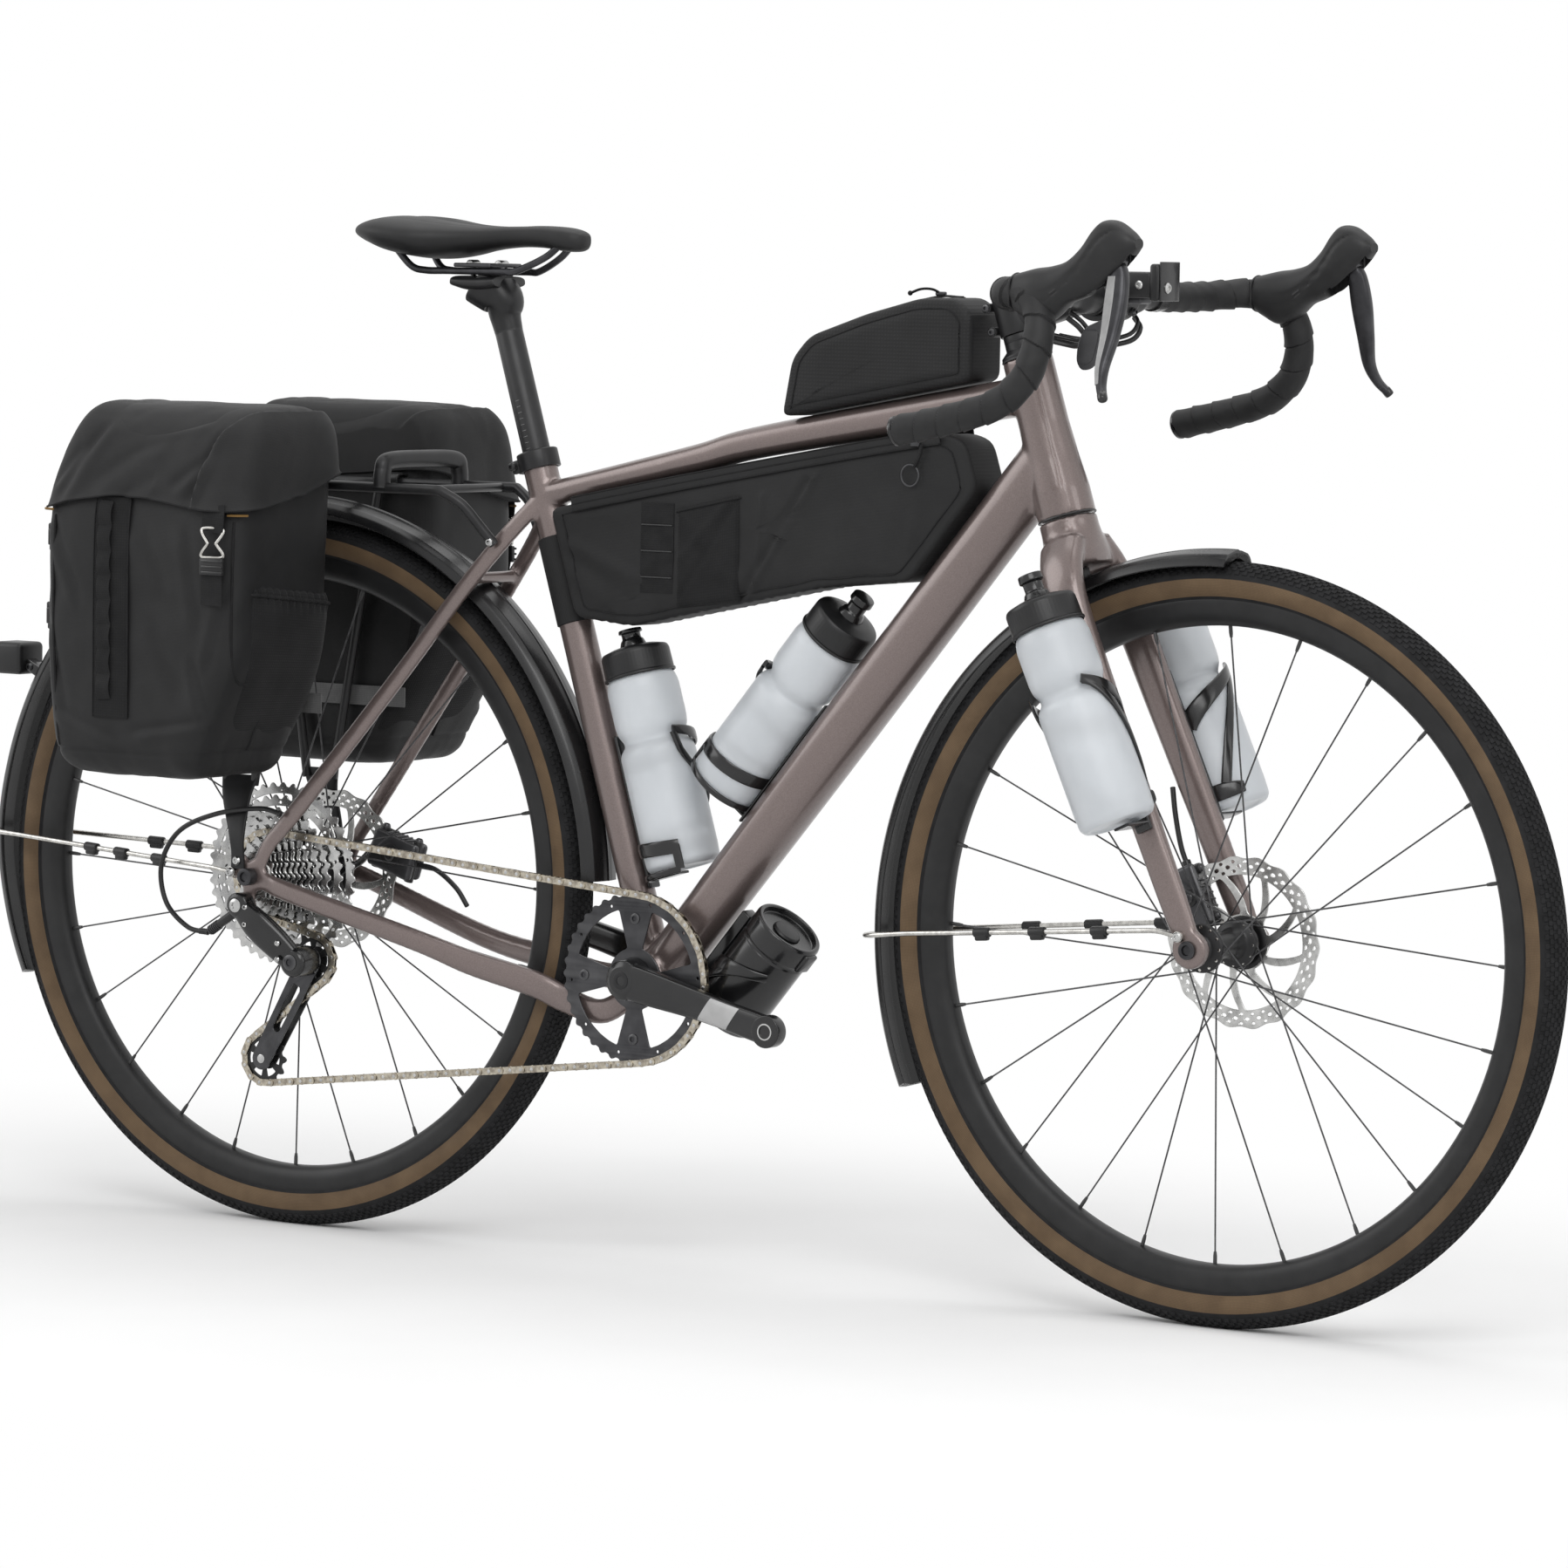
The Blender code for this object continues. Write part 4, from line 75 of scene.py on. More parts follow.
TUBE_UP = np.array([0.4254, 0.0, 0.5129]) / math.hypot(0.4254, 0.5129)
TUBE_BACK = np.array([-TUBE_UP[2], 0.0, TUBE_UP[0]])
BLADE_UP = (STEER_UP - STEER_AHEAD * 0.118) / math.hypot(1.0, 0.118)
BLADE_AHEAD = np.array([BLADE_UP[2], 0.0, -BLADE_UP[0]])
BAR_CENTRE = HEAD_FOOT + STEER_UP * 0.1835 + STEER_AHEAD * 0.0982
RAIL_CLAMP = np.array([SEAT_FOOT[0] - (0.95 - 0.279) / math.tan(SEAT_ANGLE) - 0.009, 0.0, 0.95])
CAGE_AXIS = REAR_AXLE + np.array([0.054, 0.0, -0.081])
LOWER_AXIS = REAR_AXLE + np.array([-0.004, 0.0, -0.183])
CHAIN_REACH = -0.4
CRANK_LENGTH = 0.1725
RACK_RISE = 0.3875
BUCKLE_WIDTH = 0.021
FLOOR_REACH = 30.0
CAMERA_LENS = 166.34
CAMERA_PLACE = (3.8225, -5.731, 0.994)
CAMERA_AZIMUTH, CAMERA_ELEVATION, CAMERA_ROLL = (math.radians(angle) for angle in (33.28, 4.36, 1.09))
CHAINLINE = -0.046
CRANK_TILT = math.radians(-12.0)
DROPOUT_MIDDLE = 0.0748
DROPOUT_FACE = 0.0783
FORK_TIP_FACE = 0.0623
SPOKES = 24
COG_TEETH = (11, 12, 13, 15, 17, 19, 21, 24, 28, 32, 38, 44)
CHAIN_COG = 6


def from_bracket(ahead, rise, side=0.0):
    return BRACKET + np.array([ahead, side, rise])


def from_axle(axle, ahead, rise, side=0.0):
    return axle + np.array([ahead, side, rise])


def on_steerer(along, ahead, side=0.0):
    return HEAD_FOOT + STEER_UP * along + STEER_AHEAD * ahead + SIDE * side


def on_seat_tube(along, ahead, side=0.0):
    return SEAT_FOOT + SEAT_UP * along + SEAT_AHEAD * ahead + SIDE * side


def on_down_tube(along, back):
    return BRACKET + TUBE_UP * along + TUBE_BACK * back


def on_blade(rise, side=0.0, ahead=0.0):
    return FRONT_AXLE + BLADE_UP * rise + BLADE_AHEAD * ahead + SIDE * side


def from_bar(ahead, rise, side=0.0):
    return BAR_CENTRE + np.array([ahead, side, rise])


def from_rails(ahead, rise, side=0.0):
    return RAIL_CLAMP + np.array([ahead, side, rise])


def polar(axle, radius, degrees, side=0.0):
    """A point round an axle, counted from straight ahead over the top."""
    turn = np.radians(degrees)
    return axle + np.array([radius * math.cos(turn), side, radius * math.sin(turn)])


def pitch_radius(teeth):
    return 0.0127 / (2.0 * math.sin(math.pi / teeth))


def unit(vectors):
    vectors = np.asarray(vectors, float)
    return vectors / np.linalg.norm(vectors, axis=-1, keepdims=True)


# Lines: rows of stations made into smooth or evenly spaced rows
def flow(stations, count, closed=False):
    """Catmull-Rom rows: each span is the cubic through its two stations with slopes from the next ones."""
    rows = np.asarray(stations, float)
    if closed:
        rows = np.concatenate([rows[-1:], rows, rows[:2]])
    else:
        rows = np.concatenate([2.0 * rows[:1] - rows[1:2], rows, 2.0 * rows[-1:] - rows[-2:-1]])
    spans = len(rows) - 3
    where = np.linspace(0.0, spans, count, endpoint=not closed)
    k = np.minimum(where.astype(int), spans - 1)
    t = (where - k)[:, None]
    a, b, c, d = rows[k], rows[k + 1], rows[k + 2], rows[k + 3]
    return 0.5 * (
        2.0 * b + (c - a) * t + (2.0 * a - 5.0 * b + 4.0 * c - d) * t**2 + (3.0 * b - a - 3.0 * c + d) * t**3)


def evenly(rows, count, closed=False):
    """Rows spaced evenly by the length of their first three columns, straight between the given ones."""
    rows = np.asarray(rows, float)
    if closed:
        rows = np.concatenate([rows, rows[:1]])
    steps = np.linalg.norm(np.diff(rows[:, : min(3, rows.shape[1])], axis=0), axis=1)
    length = np.concatenate([[0.0], np.cumsum(steps)])
    where = np.linspace(0.0, length[-1], count, endpoint=not closed)
    return np.stack([np.interp(where, length, column) for column in rows.T], 1)


def eased(corners, radius, steps=3, closed=False):
    """A polyline whose corners are rounded by quadratic curves that start a radius before each corner."""
    rows = np.asarray(corners, float)
    before = np.roll(rows, 1, 0)
    after = np.roll(rows, -1, 0)
    middle = slice(None) if closed else slice(1, -1)
    p, a, b = rows[middle], before[middle], after[middle]
    near, far = np.linalg.norm(a - p, axis=1), np.linalg.norm(b - p, axis=1)
    size = np.minimum(radius, 0.45 * np.minimum(near, far))[:, None]
    start = p + (a - p) / near[:, None] * size
    end = p + (b - p) / far[:, None] * size
    t = np.linspace(0.0, 1.0, steps + 1)[None, :, None]
    curve = (1 - t) ** 2 * start[:, None] + 2 * t * (1 - t) * p[:, None] + t**2 * end[:, None]
    curve = curve.reshape(-1, rows.shape[1])
    return curve if closed else np.concatenate([rows[:1], curve, rows[-1:]])


# Finishes are numbered in the order in which the forms first use them
FINISHES = []


def number_of(finish):
    if finish not in FINISHES:
        FINISHES.append(finish)
    return FINISHES.index(finish)


class Form:
    """Points with quads and triangles, a UV in metres at each face corner and a finish number a face."""

    def __init__(self, points, faces, uvs, finish):
        self.points = np.asarray(points, float).reshape(-1, 3)
        self.faces = faces
        self.uvs = uvs
        if isinstance(finish, str):
            finish = [np.full(len(part), number_of(finish)) for part in faces]
        self.finish = finish

    def outward(self):
        """Turns every face if the volume within the faces comes out negative."""
        centred = self.points - self.points.mean(0)
        volume = 0.0
        for part in self.faces:
            for k in range(1, part.shape[1] - 1):
                a, b, c = (centred[part[:, n]] for n in (0, k, k + 1))
                volume += np.einsum("ij,ij->", a, np.cross(b, c))
        return self.flipped() if volume < 0.0 else self

    def flipped(self):
        return Form(
            self.points, [p[:, ::-1] for p in self.faces], [u[:, ::-1] for u in self.uvs], self.finish)

    def mirrored(self):
        """The same form on the bike's other side."""
        return Form(self.points * [1.0, -1.0, 1.0], self.faces, self.uvs, self.finish).flipped()

    def placed(self, matrices):
        """Copies of the form, one for each 4 by 4 matrix of a stack."""
        matrices = np.asarray(matrices, float).reshape(-1, 4, 4)
        count, size = len(matrices), len(self.points)
        points = np.einsum("kij,nj->kni", matrices[:, :3, :3], self.points) + matrices[:, None, :3, 3]
        shift = (np.arange(count) * size)[:, None, None]
        faces = [(part[None] + shift).reshape(-1, part.shape[1]) for part in self.faces]
        uvs = [np.tile(uv, (count, 1, 1)) for uv in self.uvs]
        return Form(points, faces, uvs, [np.tile(number, count) for number in self.finish])


def grid(points, around=True, along=False, poles=(None, None), finish="black plastic", uv=None):
    """Quads over a table of points; around joins each row to itself, along the last row to the first.
    A pole closes an end row by a fan; "flat" puts it at the row's middle."""
    rows, columns = points.shape[:2]
    number = np.arange(rows * columns).reshape(rows, columns)
    if around:
        number = np.concatenate([number, number[:, :1]], 1)
    if along:
        number = np.concatenate([number, number[:1]], 0)
    flat = points.reshape(-1, 3)
    if uv is None:
        full = flat[number]
        u = np.linalg.norm(np.diff(full, axis=1), axis=2).mean(0)
        v = np.linalg.norm(np.diff(full, axis=0), axis=2).mean(1)
        u, v = np.meshgrid(np.concatenate([[0.0], np.cumsum(u)]), np.concatenate([[0.0], np.cumsum(v)]))
        uv = np.stack([u, v], 2)
    elif uv.shape[:2] != number.shape:
        uv = uv.reshape(-1, 2)[number]

    def corners(table):
        four = (table[:-1, :-1], table[:-1, 1:], table[1:, 1:], table[1:, :-1])
        return np.stack(four, 2).reshape((-1, 4) + table.shape[2:])

    faces, uvs, finishes = [corners(number)], [corners(uv)], []
    if isinstance(finish, np.ndarray):
        shape = (number.shape[0] - 1, number.shape[1] - 1)
        finishes.append(np.broadcast_to(finish, shape).reshape(-1))
        end_finish = finish.reshape(-1)
    else:
        finishes.append(np.full(len(faces[0]), number_of(finish)))
        end_finish = np.array([number_of(finish)])
    extra = []
    for end, pole in enumerate(poles):
        if pole is None:
            continue
        ring = points[-end]
        centre = ring.mean(0) if isinstance(pole, str) else np.asarray(pole, float)
        index = rows * columns + len(extra)
        extra.append(centre)
        this = number[-end, :-1] if around else number[-end]
        after = number[-end, 1:] if around else np.roll(number[-end], -1)
        fan = np.stack([np.full(len(this), index), after, this], 1)
        faces.append(fan[:, ::-1] if end else fan)
        uvs.append(np.zeros((len(fan), 3, 2)))
        finishes.append(np.full(len(fan), end_finish[-end]))
    every = np.concatenate([flat, np.array(extra).reshape(-1, 3)])
    return Form(every, faces, uvs, finishes).outward()


def frames_along(path, up, closed=False):
    """The direction, the across and the rise at each point; the rise is the up vector squared to the path."""
    way = unit(np.roll(path, -1, 0) - np.roll(path, 1, 0) if closed else np.gradient(path, axis=0))
    across = unit(np.cross(way, up))
    return way, across, np.cross(across, way)


def oval(sides, square):
    """Cosine and sine raised to 2 / square with their signs kept: a superellipse."""
    turn = 2.0 * math.pi * (np.arange(sides) + 0.5) / sides
    power = 2.0 / np.asarray(square, float)
    cosine, sine = np.cos(turn), np.sin(turn)
    return np.sign(cosine) * np.abs(cosine) ** power, np.sign(sine) * np.abs(sine) ** power


def sweep(
        path, wide, high, up=SIDE, square=2.0, sides=20, round_by=0.0, closed=False, finish="black plastic"):
    """A superellipse of half width and half height carried along a path, with ends rounded over a depth."""
    path = np.asarray(path, float)
    wide = np.broadcast_to(np.asarray(wide, float), len(path))
    high = np.broadcast_to(np.asarray(high, float), len(path))
    square = np.broadcast_to(np.asarray(square, float), len(path))
    way, across, rise = frames_along(path, up, closed)
    if round_by and not closed:
        turn = np.linspace(math.pi / 2.0, 0.0, 6)[:-1]
        shrink, reach = np.cos(turn), np.sin(turn) * round_by

        def ended(rows, first, last):
            return np.concatenate([first, rows, last[::-1]])

        shrink = np.maximum(shrink, 0.02)
        low, high_end = path[0] - way[0] * reach[:, None], path[-1] + way[-1] * reach[:, None]
        path = ended(path, low, high_end)
        wide = ended(wide, wide[0] * shrink, wide[-1] * shrink)
        high = ended(high, high[0] * shrink, high[-1] * shrink)
        square = ended(square, np.full(5, square[0]), np.full(5, square[-1]))
        across = ended(across, np.tile(across[0], (5, 1)), np.tile(across[-1], (5, 1)))
        rise = ended(rise, np.tile(rise[0], (5, 1)), np.tile(rise[-1], (5, 1)))
    c, s = oval(sides, square[:, None])
    points = path[:, None] + across[:, None] * (
        wide[:, None] * c)[..., None] + rise[:, None] * (high[:, None] * s)[..., None]
    return grid(points, along=closed, poles=(None, None) if closed else ("flat", "flat"), finish=finish)


def tube(path, radius, up=SIDE, sides=12, round_by=0.0, closed=False, finish="black plastic"):
    return sweep(path, radius, radius, up, 2.0, sides, round_by, closed, finish)


def axes_round(axis):
    """Two directions square to an axis and to each other."""
    axis = unit(axis)
    helper = SIDE if abs(axis[1]) < 0.9 else FORWARD
    first = unit(np.cross(helper, axis))
    return first, np.cross(axis, first)


def turned(profile, axis, origin, sides=48, ring=False, finish="black plastic"):
    """A profile of (radius, height) carried round an axis; a radius of nothing at an end makes a pole."""
    rows = np.asarray(profile, float)
    axis = unit(axis)
    first, second = axes_round(axis)
    poles = [None, None]
    if not ring:
        for end in (0, -1):
            poles[end] = origin + axis * rows[end, 1]
        if rows[0, 0] < 1e-6:
            rows = rows[1:]
        if rows[-1, 0] < 1e-6:
            rows = rows[:-1]
    turn = 2.0 * math.pi * np.arange(sides) / sides
    out = first * np.cos(turn)[:, None] + second * np.sin(turn)[:, None]
    points = origin + rows[:, None, :1] * out[None] + rows[:, None, 1:] * axis
    return grid(points, along=ring, poles=tuple(poles), finish=finish)


def rod(start, end, radius, sides=20, ease=0.0006, finish="black plastic"):
    """A round bar with its end corners eased."""
    start, end = np.asarray(start, float), np.asarray(end, float)
    length = np.linalg.norm(end - start)
    corners = [(0.0, 0.0), (radius, 0.0), (radius, length), (0.0, length)]
    return turned(eased(corners, ease, 2), end - start, start, sides, finish=finish)


def block(centre, size, along=FORWARD, across=SIDE, ease=0.002, steps=3, finish="black plastic"):
    """A box with its edges rounded: rounded rectangles whose inset follows a quarter circle at each end."""
    along = unit(along)
    across = unit(np.asarray(across, float) - along * np.dot(across, along))
    rise = np.cross(along, across)
    a, b, c = np.asarray(size, float) / 2.0
    ease = min(ease, 0.98 * min(a, b, c))
    quarter = np.linspace(0.0, math.pi / 2.0, steps + 1)
    corner = (np.arange(4)[:, None] * math.pi / 2.0 + quarter[None]).ravel()
    signs = np.array([(1, 1), (-1, 1), (-1, -1), (1, -1)]).repeat(steps + 1, 0)
    turn = np.concatenate([-quarter[::-1], quarter])
    shrink = ease * np.cos(turn)
    height = np.where(turn < 0.0, -1.0, 1.0) * (c - ease) + ease * np.sin(turn)
    height[: steps + 1] = -(c - ease) - ease * np.sin(quarter[::-1])
    x = signs[None, :, 0] * (a - ease) + shrink[:, None] * np.cos(corner)[None]
    y = signs[None, :, 1] * (b - ease) + shrink[:, None] * np.sin(corner)[None]
    points = centre + x[..., None] * along + y[..., None] * across + height[:, None, None] * rise
    return grid(points, poles=("flat", "flat"), finish=finish)


def ball(centre, radius, sides=16, finish="black plastic"):
    turn = np.linspace(-math.pi / 2.0, math.pi / 2.0, 9)
    return turned(
        np.stack([np.cos(turn) * radius, np.sin(turn) * radius], 1), UP, np.asarray(centre), sides,
        finish=finish)


def bolt(centre, axis, radius=0.0032, height=0.0022, finish="black metal"):
    """A button head with a round socket sunk in."""
    profile = [
        (0.0, 0.45 * height), (0.42 * radius, 0.45 * height), (0.45 * radius, height),
        (0.72 * radius, height), (radius, 0.45 * height), (radius, -0.3 * height), (0.0, -0.3 * height),]
    return turned(profile, axis, np.asarray(centre, float), 18, finish=finish)


def matrices_from(origins, x, y, z):
    """A stack of 4 by 4 matrices from origins and three directions each."""
    count = len(origins)
    stack = np.tile(np.eye(4), (count, 1, 1))
    for column, vector in enumerate((x, y, z, origins)):
        stack[:, :3, column] = np.broadcast_to(vector, (count, 3))
    return stack


def cut_plate(outline, thickness, side, holes=(), ease=0.0, finish="black metal"):
    """A flat plate square to Y from an outline and holes in (x, z), filled and given its wall and bevel."""
    curve = bpy.data.curves.new("plate", "CURVE")
    curve.dimensions = "2D"
    curve.fill_mode = "BOTH"
    curve.extrude = thickness / 2.0 - ease
    curve.bevel_depth = ease
    curve.offset = -ease
    curve.bevel_resolution = 0
    for loop in (outline, *holes):
        spline = curve.splines.new("POLY")
        spline.points.add(len(loop) - 1)
        spline.use_cyclic_u = True
        loop = np.asarray(loop, float)
        rows = np.concatenate([loop, np.zeros((len(loop), 1)), np.ones((len(loop), 1))], 1)
        spline.points.foreach_set("co", rows.ravel())
    shape = bpy.data.objects.new("plate", curve)
    bpy.context.scene.collection.objects.link(shape)
    bpy.context.view_layer.update()
    mesh = bpy.data.meshes.new_from_object(shape.evaluated_get(bpy.context.evaluated_depsgraph_get()))
    bpy.data.objects.remove(shape)
    bpy.data.curves.remove(curve)
    return form_of(
        mesh, Matrix.Translation((0.0, side, 0.0)) @ Matrix.Rotation(math.pi / 2.0, 4, "X"), finish)


def form_of(mesh, matrix, finish):
    """A Form from a mesh whose doubles are merged and normals turned outward."""
    builder = bmesh.new()
    builder.from_mesh(mesh)
    bmesh.ops.remove_doubles(builder, verts=builder.verts, dist=0.000001)
    bmesh.ops.triangulate(builder, faces=[f for f in builder.faces if len(f.verts) > 4])
    bmesh.ops.recalc_face_normals(builder, faces=builder.faces)
    builder.transform(matrix)
    builder.to_mesh(mesh)
    builder.free()
    points = np.zeros(len(mesh.vertices) * 3)
    mesh.vertices.foreach_get("co", points)
    index = np.zeros(len(mesh.loops), int)
    mesh.loops.foreach_get("vertex_index", index)
    start, total = np.zeros(len(mesh.polygons), int), np.zeros(len(mesh.polygons), int)
    mesh.polygons.foreach_get("loop_start", start)
    mesh.polygons.foreach_get("loop_total", total)
    points = points.reshape(-1, 3)
    faces = [index[start[total == size][:, None] + np.arange(size)] for size in (4, 3)]
    faces = [part for part in faces if len(part)]
    bpy.data.meshes.remove(mesh)
    return Form(points, faces, [points[part][:, :, [0, 2]] for part in faces], finish)


def gathered(name, forms):
    """One mesh from several forms, with a material slot for each finish that they use."""
    points, faces, uvs, numbers, shift = [], [], [], [], 0
    for form in forms:
        points.append(form.points)
        for part, uv, number in zip(form.faces, form.uvs, form.finish):
            faces += (part + shift).tolist()
            uvs.append(uv.reshape(-1, 2))
            numbers.append(number)
        shift += len(form.points)
    mesh = bpy.data.meshes.new(name)
    mesh.from_pydata(np.concatenate(points).tolist(), [], faces)
    mesh.uv_layers.new(name="surface").data.foreach_set("uv", np.concatenate(uvs).ravel())
    used, index = np.unique(np.concatenate(numbers), return_inverse=True)
    mesh.polygons.foreach_set("material_index", index.astype(np.int32))
    for number in used:
        mesh.materials.append(finish_material(FINISHES[number]))
    return mesh


def piece(name, forms, body, replaces=(), crease=35.0):
    """Puts forms into one object that rides on a body and stands for CAD nodes."""
    mesh = gathered(name, forms)
    mesh.shade_smooth()
    mesh.set_sharp_from_angle(angle=math.radians(crease))
    thing = bpy.data.objects.new(name, mesh)
    bpy.context.scene.collection.objects.link(thing)
    if body:
        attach(thing, body)
    if replaces:
        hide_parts(*replaces)
    return thing


def welded(name, forms, body, replaces, voxel, rounds, finish):
    """Forms grown into one skin by a voxel remesh, then smoothed, as welded and filed joints are."""
    mesh = gathered(name, forms)
    shape = bpy.data.objects.new(name, mesh)
    bpy.context.scene.collection.objects.link(shape)
    remesh = shape.modifiers.new("weld", "REMESH")
    remesh.mode = "VOXEL"
    remesh.voxel_size = voxel
    easing = shape.modifiers.new("ease", "SMOOTH")
    easing.factor = 0.5
    easing.iterations = rounds
    bpy.context.view_layer.update()
    result = bpy.data.meshes.new_from_object(shape.evaluated_get(bpy.context.evaluated_depsgraph_get()))
    bpy.data.objects.remove(shape)
    result.materials.clear()
    result.materials.append(finish_material(finish))
    result.polygons.foreach_set("material_index", np.zeros(len(result.polygons), np.int32))
    result.shade_smooth()
    thing = bpy.data.objects.new(name, result)
    bpy.context.scene.collection.objects.link(thing)
    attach(thing, body)
    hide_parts(*replaces)
    return thing


# Materials: each row gives the shader's numbers and the patterns that vary it
def look(
        colour, other, rough, metal=0.0, mottle=30.0, swing=0.08, grain=900.0, depth=0.00004, weave=0.0,
        coat=0.0, sheen=0.0, specular=0.5, scatter=0.0, wear=0.0, through=0.0):
    return dict(
        colour=colour, other=other, rough=rough, metal=metal, mottle=mottle, swing=swing, grain=grain,
        depth=depth, weave=weave, coat=coat, sheen=sheen, specular=specular, scatter=scatter, wear=wear,
        through=through,)


LOOKS = {
    "frame paint": look(
        (0.185, 0.145, 0.136), (0.15, 0.116, 0.11), 0.34, 0.55, 900.0, 0.05, 1600.0, 0.00001, coat=0.6),
    "black metal": look(
        (0.009, 0.009, 0.0095), (0.014, 0.014, 0.015), 0.38, 0.2, 60.0, 0.1, 1500.0, 0.00002, specular=0.4,
        wear=0.12),
    "satin metal": look(
        (0.03, 0.03, 0.033), (0.05, 0.05, 0.054), 0.34, 0.7, 60.0, 0.1, 1200.0, 0.00002, wear=0.25),
    "bright metal": look(
        (0.55, 0.55, 0.54), (0.4, 0.4, 0.4), 0.26, 1.0, 80.0, 0.1, 1200.0, 0.00002, wear=0.1),
    "steel wire": look((0.6, 0.59, 0.56), (0.42, 0.41, 0.39), 0.24, 1.0, 200.0, 0.08, 900.0, 0.00002),
    "spoke black": look((0.045, 0.045, 0.047), (0.08, 0.08, 0.082), 0.34, 0.6, 200.0, 0.08, 900.0, 0.00002),
    "rotor steel": look((0.6, 0.6, 0.59), (0.44, 0.44, 0.43), 0.28, 1.0, 120.0, 0.12, 700.0, 0.00003),
    "chain steel": look((0.5, 0.46, 0.38), (0.26, 0.23, 0.19), 0.3, 1.0, 240.0, 0.12, 900.0, 0.00003),
    "black plastic": look(
        (0.0075, 0.0075, 0.008), (0.011, 0.011, 0.0115), 0.4, 0.0, 50.0, 0.1, 1400.0, 0.00004, specular=0.38),
    "gloss plastic": look(
        (0.006, 0.006, 0.0065), (0.009, 0.009, 0.0095), 0.22, 0.0, 40.0, 0.06, 600.0, 0.00002, specular=0.4,
        coat=0.25),
    "grey plastic": look((0.3, 0.3, 0.3), (0.22, 0.22, 0.22), 0.4, 0.0, 60.0, 0.08),
    "rim black": look(
        (0.009, 0.009, 0.0095), (0.014, 0.014, 0.0145), 0.42, 0.1, 40.0, 0.08, 1200.0, 0.00002, specular=0.35
    ),
    "tread rubber": look(
        (0.009, 0.009, 0.0095), (0.015, 0.015, 0.016), 0.78, 0.0, 70.0, 0.1, 700.0, 0.00012, specular=0.22),
    "tan sidewall": look(
        (0.135, 0.088, 0.048), (0.105, 0.067, 0.036), 0.7, 0.0, 36.0, 0.1, 500.0, 0.00008, weave=0.0012,
        specular=0.3),
    "bag fabric": look(
        (0.0068, 0.0068, 0.0072), (0.01, 0.01, 0.0105), 0.66, 0.0, 22.0, 0.1, 600.0, 0.0001, weave=0.0011,
        specular=0.32, sheen=0.04),
    "panel fabric": look(
        (0.005, 0.0051, 0.0056), (0.0075, 0.0076, 0.0082), 0.58, 0.0, 22.0, 0.1, 600.0, 0.00006, weave=0.0008,
        specular=0.3),
    "ripstop": look(
        (0.0062, 0.0062, 0.0065), (0.0095, 0.0095, 0.01), 0.62, 0.0, 22.0, 0.08, 500.0, 0.00022, weave=0.0034,
        specular=0.3),
    "pocket mesh": look(
        (0.0065, 0.0065, 0.007), (0.012, 0.012, 0.0125), 0.85, 0.0, 22.0, 0.08, 500.0, 0.0002, weave=0.0026,
        specular=0.25, sheen=0.04),
    "webbing": look(
        (0.007, 0.007, 0.0075), (0.012, 0.012, 0.0125), 0.8, 0.0, 60.0, 0.08, 500.0, 0.0002, weave=0.002,
        specular=0.25),
    "piping": look(
        (0.22, 0.12, 0.025), (0.16, 0.085, 0.018), 0.75, 0.0, 60.0, 0.08, 500.0, 0.0001, weave=0.001),
    "reflective tape": look(
        (0.11, 0.11, 0.11), (0.085, 0.085, 0.085), 0.45, 0.0, 60.0, 0.08, 500.0, 0.00006, weave=0.0016),
    "saddle cover": look(
        (0.0085, 0.0085, 0.009), (0.012, 0.012, 0.0125), 0.52, 0.0, 40.0, 0.08, 1100.0, 0.00008, specular=0.35
    ),
    "bar tape": look(
        (0.0085, 0.0085, 0.009), (0.013, 0.013, 0.0135), 0.6, 0.0, 60.0, 0.1, 900.0, 0.00012, specular=0.35),
    "hood rubber": look(
        (0.0085, 0.0085, 0.009), (0.012, 0.012, 0.0125), 0.48, 0.0, 60.0, 0.08, 1300.0, 0.00006, specular=0.35
    ),
    "housing": look(
        (0.0075, 0.0075, 0.008), (0.011, 0.011, 0.0115), 0.42, 0.0, 60.0, 0.08, 900.0, 0.00003, specular=0.4),
    "fender black": look(
        (0.0065, 0.0065, 0.007), (0.009, 0.009, 0.0095), 0.27, 0.0, 50.0, 0.06, 1400.0, 0.00002, specular=0.45
    ),
    "frosted plastic": look(
        (0.66, 0.69, 0.72), (0.71, 0.74, 0.77), 0.36, 0.0, 18.0, 0.08, 900.0, 0.00003, scatter=0.3,
        through=0.3),
    "print silver": look((0.42, 0.42, 0.42), (0.36, 0.36, 0.36), 0.38, 0.3, 60.0, 0.06),
    "pale floor": look(
        (0.9, 0.9, 0.9), (0.88, 0.88, 0.88), 0.75, 0.0, 3.0, 0.04, 60.0, 0.00005, specular=0.2),}


